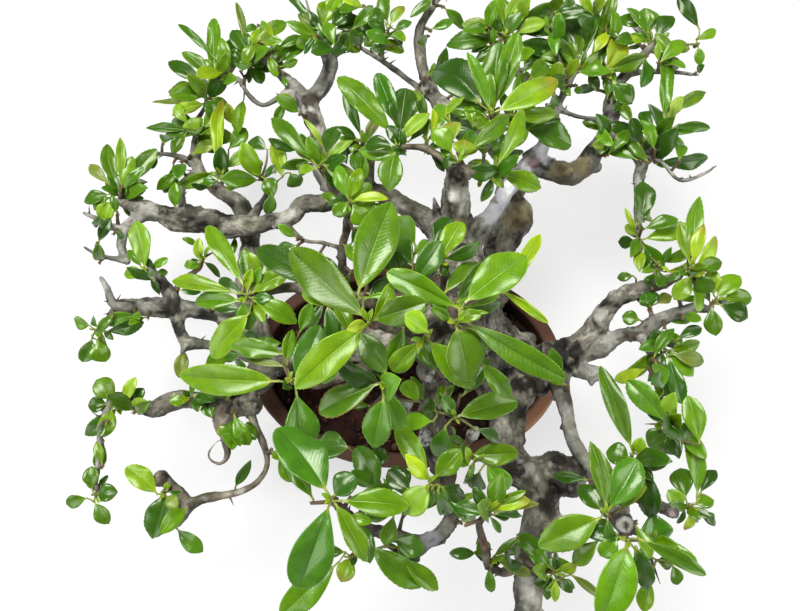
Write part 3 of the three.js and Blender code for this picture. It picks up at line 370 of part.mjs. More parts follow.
// ---------------------------------------------------------------- soil
const SOIL_SIDES = 28;
function soilTop(x, y) {
  const rr = Math.hypot(x / 85, y / 55);
  const d = Math.hypot((x - 43) / 40, (y - 5) / 34);
  return 51.2 - 2.2 * rr * rr + 4.2 * Math.exp(-d * d * 1.3)
    + 0.5 * Math.sin(x * 0.21 + 1.3) * Math.cos(y * 0.27 - 0.4);
}
function soilBody() {
  const rows = [0.22, 0.45, 0.68, 0.88, 1.0];
  const verts = [];
  const tris = [];
  const aTop = 85.0;
  const bTop = 55.0;
  verts.push([0, 0, soilTop(0, 0)]);
  for (const f of rows) {
    for (let k = 0; k < SOIL_SIDES; k++) {
      const t = (2 * Math.PI * k) / SOIL_SIDES;
      const x = aTop * f * Math.cos(t);
      const y = bTop * f * Math.sin(t);
      verts.push([x, y, f === 1.0 ? 48.2 : soilTop(x, y)]);
    }
  }
  const under = [[81.4, 52.0, 30.2], [76.4, 47.9, 12.4], [69.3, 41.3, 7.5]];
  for (const [a, b, z] of under) {
    for (let k = 0; k < SOIL_SIDES; k++) {
      const t = (2 * Math.PI * k) / SOIL_SIDES;
      verts.push([a * Math.cos(t), b * Math.sin(t), z]);
    }
  }
  const last = verts.length;
  verts.push([0, 0, 7.5]);
  for (let k = 0; k < SOIL_SIDES; k++) tris.push([0, 1 + k, 1 + ((k + 1) % SOIL_SIDES)]);
  const count = rows.length + under.length;
  for (let i = 0; i < count - 1; i++) {
    for (let k = 0; k < SOIL_SIDES; k++) {
      const a = 1 + i * SOIL_SIDES + k;
      const b = 1 + i * SOIL_SIDES + ((k + 1) % SOIL_SIDES);
      tris.push([a, a + SOIL_SIDES, b], [b, a + SOIL_SIDES, b + SOIL_SIDES]);
    }
  }
  const o = 1 + (count - 1) * SOIL_SIDES;
  for (let k = 0; k < SOIL_SIDES; k++) tris.push([last, o + ((k + 1) % SOIL_SIDES), o + k]);
  return solid(verts, tris);
}
let soil = soilBody();
soil = soil.subtract(fatWood);
for (const [x, y] of HOLES) soil = soil.subtract(Manifold.cube([24.6, 24.6, 4], true).translate([x, y, 7.0]));
soil = largest(largest(soil).simplify(0.12));
put('soil', soil, 0x2e1c16, 0.95);
put('trunk_and_branches', wood, 0x5f574c, 0.85);

// ---------------------------------------------------------------- leaves
const LEAF_TONES = [0x4f8a12, 0x5c9a14, 0x427a18, 0x6ba31a];
const taken = [];
let i = 0;
for (const [name, rosettes] of PIECES) {
  const parts = [];
  const fat = [];
  const c0 = rosettes[0][0];
  for (const [c, dir, leaves] of rosettes) {
    if (c === c0) {
      // short green shoot that sits on the end of the twig
      const a = sub(c, mul(dir, 1.4));
      const b = add(c, mul(dir, 1.2));
      parts.push(tube([[...a, 0.9], [...b, 0.9]], 4));
      fat.push(tube([[...a, 0.9], [...b, 0.9]], 4, 0.45));
    } else {
      const m = add(mul(add(c0, c), 0.5), [0, 0, 0.06 * len(sub(c, c0))]);
      parts.push(tube([[...c0, 0.95], [...m, 0.9], [...c, 0.8]], 4));
      fat.push(tube([[...c0, 0.95], [...m, 0.9], [...c, 0.8]], 4, 0.45));
    }
    for (const [base, tip, width] of leaves) {
      // a blade that would touch a neighbour's is drawn shorter, or left to the neighbour
      for (const f of [1, 0.8, 0.6]) {
        const end = add(base, mul(sub(tip, base), f));
        const one = blade(c, base, end, width * (0.5 + 0.5 * f));
        const box1 = one.boundingBox();
        const hit = taken.some(([other, ob]) => !(ob.min.some((v, k) => v > box1.max[k]) || ob.max.some((v, k) => v < box1.min[k]))
          && one.intersect(other).volume() > 1e-6);
        if (!hit) {
          parts.push(one);
          fat.push(blade(c, base, end, width * (0.5 + 0.5 * f), 0.45));
          break;
        }
      }
    }
  }
  let body = Manifold.union(parts);
  if (body.intersect(fatWood).volume() > 1e-6) body = body.subtract(fatWood);
  for (const [other, ob] of taken) {
    const box = body.boundingBox();
    if (ob.min.some((v, k) => v > box.max[k]) || ob.max.some((v, k) => v < box.min[k])) continue;
    if (body.intersect(other).volume() > 1e-6) body = body.subtract(other);
  }
  body = largest(body);
  if (!body || body.volume() < 5) throw new Error(`leaf piece ${name} vanished`);
  const fatBody = Manifold.union(fat);
  taken.push([fatBody, fatBody.boundingBox()]);
  put(`leaves_${name}`, body, LEAF_TONES[i % LEAF_TONES.length], 0.5);
  i += 1;
}

export default group;
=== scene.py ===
"""Firethorn bonsai in an oval unglazed clay pot: the looks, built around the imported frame.

Everything is made in millimetres and written in metres, in the frame of the solids (+Z up).
Order: helpers, camera and lights, materials, wood, twigs, leaves, pot, soil, drainage meshes, floor.
"""
import json
import math
import random

import bpy
import numpy as np
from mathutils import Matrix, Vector
from mathutils.kdtree import KDTree

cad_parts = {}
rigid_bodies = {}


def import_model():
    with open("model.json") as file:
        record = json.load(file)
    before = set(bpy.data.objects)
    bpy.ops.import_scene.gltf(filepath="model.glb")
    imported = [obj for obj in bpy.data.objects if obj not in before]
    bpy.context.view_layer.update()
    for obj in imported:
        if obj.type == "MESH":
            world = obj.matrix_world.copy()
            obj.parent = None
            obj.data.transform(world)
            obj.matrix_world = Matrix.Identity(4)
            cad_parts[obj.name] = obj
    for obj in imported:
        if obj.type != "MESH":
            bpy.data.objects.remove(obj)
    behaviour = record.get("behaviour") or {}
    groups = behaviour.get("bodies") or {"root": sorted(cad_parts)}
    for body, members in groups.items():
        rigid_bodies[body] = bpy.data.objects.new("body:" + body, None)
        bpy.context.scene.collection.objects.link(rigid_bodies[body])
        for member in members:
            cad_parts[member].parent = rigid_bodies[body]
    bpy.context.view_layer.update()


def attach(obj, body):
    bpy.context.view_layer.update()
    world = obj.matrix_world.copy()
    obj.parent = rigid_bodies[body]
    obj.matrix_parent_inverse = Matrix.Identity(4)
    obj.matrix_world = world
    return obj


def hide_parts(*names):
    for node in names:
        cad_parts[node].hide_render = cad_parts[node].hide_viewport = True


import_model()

MM = 0.001

# ---------------------------------------------------------------- tables
# branches: name, bark kind, [x, y, z, radius] in mm
WOOD = [
 ["trunk","old",[[44.2,4.6,46.0,23.0],[42.2,5.7,60.0,20.5],[39.0,10.9,76.0,18.0],[34.6,20.1,96.0,16.0],[29.7,28.0,116.0,14.2],[25.6,30.1,136.0,12.6],[22.0,22.3,154.0,11.0],[18.8,3.7,174.0,9.2],[15.3,-14.3,194.0,7.6],[11.7,-27.1,211.0,6.2],[9.1,-34.4,222.0,4.8],[7.2,-38.2,229.0,3.0]]],
 ["back_stub","old",[[23.8,29.1,146.0,7.5],[23.8,37.1,155.0,6.3],[23.6,45.8,168.0,5.8],[23.0,52.3,178.0,6.0],[23.0,54.7,185.0,5.2]]],
 ["stub_lobe","grey",[[21.3,41.6,157.0,3.2],[19.5,49.6,165.0,3.4],[18.7,54.1,171.0,2.8]]],
 ["stub_thorn","grey",[[19.7,40.6,150.0,4.0],[15.6,49.3,155.0,2.4],[13.4,55.7,160.0,1.0]]],
 ["left_high","old",[[21.9,34.0,145.0,8.5],[13.9,46.6,147.0,6.6],[0.6,59.6,142.0,5.8],[-11.2,70.1,136.0,5.5],[-22.4,77.1,130.0,5.3],[-34.4,75.5,125.0,5.2],[-47.8,75.0,119.0,5.2],[-59.3,76.4,114.0,5.0],[-65.2,70.9,111.0,4.8],[-78.9,68.4,107.0,5.2],[-93.7,68.5,103.0,6.4],[-114.1,73.6,98.0,7.0],[-132.8,76.0,95.9,7.0],[-148.0,80.1,98.4,5.6],[-163.8,82.9,101.9,3.6],[-174.1,85.3,103.6,2.2]]],
 ["stub_up_left","grey",[[-22.4,75.3,131.0,4.2],[-20.5,80.0,138.0,3.7],[-19.7,84.8,146.5,3.4]]],
 ["top_left","grey",[[-35.6,76.1,124.0,4.6],[-47.1,92.9,116.0,5.0],[-53.0,113.1,111.6,5.0],[-54.5,131.9,110.6,5.2],[-60.5,147.0,111.6,5.8],[-66.9,155.8,112.5,5.0],[-73.4,163.6,113.0,3.4],[-84.3,173.0,114.4,2.4],[-93.2,180.8,116.0,1.6]]],
 ["top_left_b","grey",[[-61.1,147.0,111.6,4.6],[-52.1,158.3,114.1,4.8],[-46.6,170.8,119.0,4.2],[-50.3,181.6,122.3,3.2],[-48.0,193.1,124.8,2.2]]],
 ["u_twig","grey",[[-69.4,155.8,112.5,3.0],[-79.8,153.3,108.1,2.0],[-89.4,150.9,105.3,1.6],[-98.2,157.3,107.6,1.6],[-104.5,166.5,110.3,2.0],[-115.0,168.5,108.6,1.6]]],
 ["low_left","old",[[36.2,10.9,68.0,15.0],[15.3,9.7,76.0,12.4],[-8.3,5.3,82.0,10.8],[-32.4,0.2,85.0,10.0],[-53.8,-4.6,87.0,9.4],[-73.8,-10.7,88.0,9.0],[-86.7,-22.6,87.0,8.6],[-94.1,-32.1,86.0,8.2],[-104.3,-33.0,85.0,6.8],[-118.0,-30.6,84.6,5.6],[-130.7,-32.2,86.8,5.2],[-141.3,-36.3,90.0,4.6],[-152.8,-32.5,93.2,3.8],[-163.5,-29.6,95.0,2.6]]],
 ["knob_left","old",[[-93.0,-32.1,86.0,6.5],[-84.9,-36.0,94.0,5.0],[-82.7,-37.6,99.0,4.0]]],
 ["left_hook","twig",[[-99.6,-35.3,85.0,6.5],[-102.2,-44.2,85.0,4.6],[-99.0,-53.2,86.0,3.0],[-97.5,-61.4,87.0,2.2],[-99.8,-65.7,87.0,1.2],[-104.5,-65.3,88.0,0.9],[-107.5,-61.6,88.0,0.8],[-105.8,-57.3,88.0,0.8],[-102.0,-53.7,89.0,0.7]]],
 ["left_up","old",[[-82.2,-3.7,88.0,8.4],[-87.6,13.7,90.0,7.4],[-91.3,32.2,90.0,7.0],[-93.5,51.7,89.0,6.6],[-94.9,70.2,86.0,6.2],[-103.1,91.8,84.0,5.2],[-115.1,101.6,84.0,4.4],[-125.9,110.1,84.1,3.6],[-133.4,126.5,85.7,3.0],[-134.1,142.3,88.8,2.2]]],
 ["left_mid","grey",[[-89.3,21.0,90.0,6.0],[-100.1,16.6,92.0,5.6],[-115.8,19.1,92.1,5.2],[-130.6,19.9,94.8,5.4],[-145.2,19.6,99.0,5.2],[-157.3,18.9,102.5,4.0],[-164.5,20.4,103.5,2.6],[-169.7,29.9,102.1,1.9],[-174.3,36.3,101.6,1.4]]],
 ["left_mid_up","grey",[[-131.2,18.8,96.1,4.2],[-134.6,27.8,101.3,4.0],[-138.8,33.2,106.0,3.4],[-143.3,37.2,111.0,2.2]]],
 ["left_mid_dn","grey",[[-130.9,18.0,95.0,3.8],[-127.9,7.1,95.5,3.2],[-123.6,-1.2,95.7,3.4],[-124.4,-7.2,98.2,1.6]]],
 ["left_bar","grey",[[-123.6,-0.6,95.7,3.2],[-111.7,0.5,90.0,3.0],[-95.9,-3.7,88.0,4.0],[-85.5,-6.0,88.0,5.0]]],
 ["left_twig","brown",[[-89.8,-29.8,86.0,4.5],[-82.7,-45.9,88.0,2.3],[-75.9,-60.3,90.0,1.8],[-75.4,-70.0,92.0,1.8],[-80.3,-77.4,94.0,2.0],[-89.2,-81.6,95.0,2.2],[-104.1,-84.8,97.1,2.8],[-112.3,-88.5,99.4,3.8],[-117.3,-83.2,101.8,3.4],[-122.9,-76.6,105.9,3.0],[-125.0,-75.4,107.8,3.9]]],
 ["left_twig_end","grey",[[-112.3,-88.5,99.4,3.6],[-114.1,-93.9,100.1,2.8],[-116.0,-97.8,100.8,2.2]]],
 ["mid_twig","twig",[[-40.4,-0.7,86.0,4.6],[-36.9,16.3,100.0,3.6],[-35.4,29.2,116.0,3.0],[-33.8,39.0,134.0,2.7],[-30.6,46.4,152.0,2.3],[-28.0,46.9,168.0,1.7]]],
 ["thin_cross","twig",[[-33.8,40.1,134.0,1.5],[-46.0,46.8,126.0,1.3],[-57.6,52.4,118.0,1.5],[-67.8,63.8,110.0,1.9],[-74.3,69.1,107.0,2.4]]],
 ["right_low","old",[[43.9,7.7,62.0,17.5],[54.3,-2.7,72.0,15.5],[65.6,-10.3,80.0,13.8],[78.0,-11.0,87.0,11.8],[88.0,-7.7,92.0,9.6],[96.6,-4.0,97.0,8.0],[103.7,2.6,102.1,6.4],[108.3,10.4,106.5,5.4],[112.3,16.7,110.3,5.0],[120.3,21.5,114.6,4.6],[128.6,23.5,120.0,4.4],[136.0,24.2,125.4,3.6],[142.9,25.7,130.2,2.6]]],
 ["right_mid","grey",[[97.7,-4.5,97.0,5.6],[108.5,-3.9,100.5,5.0],[117.5,-0.0,106.8,4.0],[125.3,-0.3,113.0,4.0],[130.8,3.9,117.4,3.8],[138.8,6.5,122.9,3.4],[148.7,8.6,128.0,2.8],[156.0,7.3,130.0,2.0]]],
 ["right_stub","grey",[[91.4,-10.9,93.0,5.0],[98.8,-17.1,97.0,4.4],[105.4,-19.7,100.3,4.0]]],
 ["front_right","old",[[58.1,-9.9,76.0,14.0],[60.0,-25.2,81.0,11.0],[56.4,-39.7,85.0,9.2],[54.0,-53.7,89.0,9.0],[57.0,-67.0,93.0,9.6],[65.3,-75.7,97.0,10.2],[70.9,-86.0,99.0,9.6],[67.7,-97.9,101.0,8.8],[63.4,-111.2,103.0,8.0],[60.1,-124.1,106.0,7.2],[56.6,-137.3,110.0,6.0],[52.1,-149.0,113.0,4.4],[47.5,-157.9,116.0,3.0]]],
 ["front_knot","old",[[66.3,-75.7,97.0,9.0],[76.6,-72.9,99.0,9.6],[84.6,-71.1,101.0,8.4],[90.4,-67.4,104.0,5.4]]],
 ["right_thin","smooth",[[83.4,-16.4,92.0,5.6],[85.0,-34.7,98.0,4.0],[86.2,-49.8,104.0,3.7],[86.9,-62.1,110.0,3.8],[90.0,-72.1,118.0,4.0],[92.0,-83.7,128.4,4.2],[92.8,-93.6,140.4,4.6],[93.4,-99.4,151.8,5.2],[92.1,-101.8,159.3,4.6]]],
 ["right_cut","grey",[[92.6,-84.7,129.5,3.2],[103.7,-87.4,134.1,3.0],[111.5,-90.1,140.4,3.2],[115.0,-93.7,148.3,3.0],[115.6,-95.3,153.4,3.1]]],
 ["front_mid","old",[[16.1,-11.0,190.0,6.8],[13.0,-23.4,178.0,5.6],[10.7,-34.3,168.0,5.0],[10.0,-45.0,159.0,4.6],[10.2,-56.1,150.0,4.4],[12.2,-66.7,141.0,4.0],[17.2,-78.5,132.0,3.8],[21.7,-88.9,125.0,3.8],[19.4,-99.7,120.0,3.8],[9.8,-106.0,118.0,3.7],[-2.7,-104.6,118.0,3.4],[-15.0,-101.6,124.0,3.1],[-24.5,-97.9,140.0,2.8],[-28.4,-94.5,166.0,2.3],[-29.5,-93.3,188.0,1.8]]],
 ["lichen_knob_a","grey",[[11.1,-33.7,169.0,4.8],[7.7,-37.7,174.0,4.0],[6.7,-40.3,177.0,3.0]]],
 ["front_twig_a","twig",[[13.2,-68.8,140.0,3.0],[19.3,-77.6,156.0,2.0],[16.7,-86.8,172.0,1.7],[11.4,-87.4,186.0,1.5],[8.3,-87.1,195.0,1.3]]],
 ["front_twig_b","twig",[[63.7,-109.3,102.0,4.0],[48.3,-119.4,118.0,2.4],[35.9,-117.5,140.0,2.0],[31.5,-108.7,162.0,1.8],[27.8,-101.5,180.0,1.6],[29.8,-98.4,191.0,1.3]]],
 ["front_low","grey",[[10.7,-106.0,118.0,3.0],[2.0,-113.2,122.0,2.2],[-9.2,-108.4,128.0,1.8]]],
 ["front_side","grey",[[10.5,-50.6,155.0,3.8],[1.7,-55.6,162.0,2.8],[-5.7,-54.4,184.0,2.4],[-9.0,-53.4,210.0,1.9],[-9.6,-53.6,219.0,1.5]]],
 ["mid_left","brown",[[15.0,-13.9,193.0,5.4],[3.9,-25.8,190.0,4.0],[-9.6,-34.2,187.0,3.6],[-24.8,-40.3,184.0,3.2],[-38.5,-43.9,181.0,2.7],[-47.0,-44.2,184.0,2.1]]],
 ["mid_left_b","brown",[[16.4,-7.7,186.0,5.6],[1.7,-5.8,181.0,4.2],[-17.2,-4.9,176.0,3.8],[-35.9,0.3,170.0,3.4],[-55.4,5.8,165.0,3.0],[-68.2,2.3,166.0,2.2]]],
 ["left_edge_drop","grey",[[-160.3,-30.5,94.3,2.6],[-163.3,-46.5,97.6,1.9],[-161.5,-63.7,99.7,1.7],[-160.0,-78.2,101.9,1.3]]],
 ["apex_left","brown",[[12.2,-25.6,209.0,4.2],[4.0,-32.7,218.0,3.2],[-5.1,-34.5,226.0,2.6],[-12.2,-36.0,234.0,1.8]]],
 ["apex_right","brown",[[10.6,-30.9,216.0,3.8],[13.3,-33.8,226.0,2.8],[15.5,-36.0,236.0,1.9]]],
 ["apex_back","brown",[[16.7,-9.3,188.0,4.4],[15.3,-7.4,204.0,3.0],[13.2,-6.7,219.0,1.9]]],
 ["back_low","old",[[44.9,12.8,66.0,13.5],[48.6,30.0,72.0,11.8],[52.6,48.7,76.0,10.8],[58.4,66.3,80.0,10.8],[66.6,81.4,84.0,12.4],[65.6,95.9,88.0,9.6],[63.7,113.7,90.1,6.4],[55.4,129.5,92.5,5.4],[40.6,145.1,95.6,5.0],[23.0,156.5,98.6,5.2],[14.0,167.8,103.7,4.2],[9.6,183.1,111.4,3.6],[8.3,197.3,118.3,3.2],[16.4,210.8,122.4,2.4],[24.2,223.7,123.9,1.6]]],
 ["back_diag","grey",[[20.4,157.6,99.2,3.2],[5.1,165.5,106.7,2.2],[-9.9,173.0,114.4,2.0],[-27.1,181.4,120.7,1.5],[-35.5,185.8,124.4,1.2]]],
 ["back_top","grey",[[57.9,125.8,91.6,4.4],[71.4,139.0,98.1,3.8],[76.0,155.3,106.4,3.2],[67.9,170.4,115.8,2.6],[61.4,183.7,123.4,2.0]]],
 ["back_right","grey",[[28.0,32.1,126.0,8.5],[36.9,50.0,123.0,5.6],[50.0,71.8,119.0,5.0],[62.4,90.8,115.0,4.9],[74.2,106.3,112.6,5.6],[84.5,103.0,110.2,6.0],[96.6,99.6,108.0,6.2],[109.1,108.7,106.5,6.0],[118.5,123.7,108.0,6.0],[123.5,138.9,112.9,5.4],[125.3,150.2,117.1,4.6],[131.4,159.2,122.4,3.8],[140.7,168.8,126.8,3.0],[149.2,177.3,129.9,2.2]]],
 ["back_right_b","grey",[[74.9,106.9,112.7,5.0],[82.0,115.9,115.8,4.0],[86.3,127.5,119.1,3.4],[89.5,138.0,122.0,2.8],[96.5,151.6,124.7,2.4],[102.7,162.5,127.4,1.9]]],
 ["back_right_c","grey",[[119.7,125.9,109.0,5.0],[132.9,118.1,110.3,4.4],[139.3,108.0,110.9,4.4],[136.4,97.4,110.6,3.4],[132.9,79.9,113.4,2.2],[128.6,59.1,119.4,1.8],[127.6,46.4,123.0,1.6]]],
 ["back_right_d","grey",[[140.0,110.4,111.5,2.6],[150.3,104.2,113.8,1.7],[159.4,93.0,113.5,1.4],[173.8,96.8,113.9,1.2],[182.0,102.5,113.3,0.9]]],
 ["left_far_a","grey",[[-148.9,79.2,98.8,4.4],[-157.2,75.4,101.0,3.8],[-163.8,68.7,101.4,3.4],[-165.4,57.8,101.2,3.0],[-161.7,47.2,99.4,2.2]]],
 ["left_far_b","grey",[[-164.2,67.3,101.5,2.6],[-172.6,68.0,102.7,2.2],[-181.5,73.2,102.8,1.8],[-190.2,77.5,102.0,1.2]]],
 ["left_far_c","grey",[[-161.9,48.4,99.4,2.0],[-169.6,48.6,100.5,1.7],[-178.0,50.5,101.8,1.4],[-187.3,56.0,101.0,1.0]]],
 ["left_up_b","grey",[[-128.8,114.4,84.2,3.0],[-138.0,122.7,86.0,2.6],[-148.1,125.1,89.2,2.0],[-156.5,124.6,92.3,1.3]]],
 ["left_net","grey",[[-131.8,77.5,95.7,3.0],[-136.5,90.1,92.2,2.6],[-138.6,101.5,89.2,2.3],[-135.6,111.8,86.2,2.2],[-130.3,117.1,84.4,2.4]]],
 ["left_spur_b","grey",[[-91.7,71.0,102.0,3.6],[-87.9,81.4,101.0,2.8],[-84.0,88.2,102.0,2.0],[-82.4,93.7,103.0,1.3]]],
 ["back_link","grey",[[89.5,137.1,121.4,2.0],[100.3,136.4,115.4,1.4],[111.3,135.7,112.4,1.5],[121.1,134.2,111.4,2.6]]],
 ["right_top_twig","grey",[[132.8,160.7,122.3,2.4],[145.0,160.0,125.1,1.8],[157.7,157.1,128.7,1.5],[172.1,153.9,130.1,1.1]]],
 ["top_mass_a","grey",[[67.9,170.4,115.8,2.2],[57.1,174.1,124.0,1.8],[48.0,180.8,131.9,1.4],[42.9,188.9,137.8,1.1]]],
 ["top_mass_b","grey",[[96.5,151.6,124.7,1.8],[91.0,162.0,131.6,1.5],[86.1,174.5,137.4,1.2],[83.9,188.5,141.5,1.0]]],
 ["top_mass_c","grey",[[126.6,153.7,118.3,2.2],[119.4,166.2,124.6,1.7],[115.6,179.4,130.1,1.3],[114.7,194.9,134.6,1.0]]],
 ["top_mass_d","grey",[[62.6,181.6,122.3,1.7],[73.3,189.3,127.3,1.4],[82.0,202.4,131.4,1.0]]],
 ["top_left_mass","grey",[[-83.7,172.0,113.8,1.9],[-88.3,182.2,119.7,1.5],[-85.0,192.0,124.3,1.1]]],
 ["top_mid_mass","grey",[[-49.7,182.6,122.8,1.9],[-37.4,188.0,125.4,1.5],[-25.7,197.1,128.8,1.2],[-15.9,206.0,130.9,1.0]]],
 ["top_mid_mass_b","grey",[[-48.0,192.0,124.3,1.5],[-57.9,200.2,127.2,1.2],[-61.8,210.6,129.3,1.0]]],
 ["twig_stub_l","brown",[[22.6,54.2,184.0,3.0],[17.2,63.2,183.4,2.2],[10.6,67.8,184.0,2.0],[3.9,69.2,185.2,1.8],[-1.8,68.5,186.2,1.5]]],
 ["twig_stub_r","brown",[[23.5,54.2,184.0,3.6],[29.3,56.8,184.0,3.0],[36.2,58.1,181.0,2.0],[40.8,59.8,179.0,1.5]]],
 ["root_0","old",[[49.1,7.1,66.0,8.5],[55.3,9.5,59.2,6.43],[61.4,12.4,55.4,4.89],[67.8,14.5,52.0,3.5],[74.8,14.7,48.9,2.21]]],
 ["root_1","old",[[44.5,11.8,66.0,8.0],[47.5,17.9,59.2,6.05],[51.9,23.4,55.4,4.6],[57.6,28.1,52.0,3.3],[63.5,32.5,48.9,2.08]]],
 ["root_2","old",[[39.2,11.6,66.0,8.5],[36.6,19.3,59.2,6.43],[34.2,27.1,55.4,4.89],[30.4,34.4,52.0,3.5],[24.1,40.6,48.9,2.21]]],
 ["root_3","old",[[35.5,7.6,66.0,9.5],[24.4,9.4,59.1,7.18],[12.9,9.0,55.0,5.46],[1.5,6.9,51.5,3.92],[-9.8,5.0,48.3,2.47]]],
 ["root_4","old",[[38.0,0.6,66.0,8.5],[33.2,-6.7,59.2,6.43],[28.2,-13.9,55.4,4.89],[21.6,-20.0,52.0,3.5],[12.9,-24.4,48.9,2.21]]],
 ["root_5","old",[[45.0,-0.2,66.0,8.0],[46.6,-6.3,59.2,6.05],[46.7,-12.7,55.4,4.6],[46.2,-19.1,52.0,3.3],[46.4,-25.3,48.9,2.08]]],
 ["root_6","old",[[47.9,1.9,66.0,7.5],[52.1,-1.6,59.4,5.67],[56.8,-4.7,55.7,4.31],[62.4,-6.6,52.5,3.09],[68.7,-7.2,49.5,1.95]]],
]
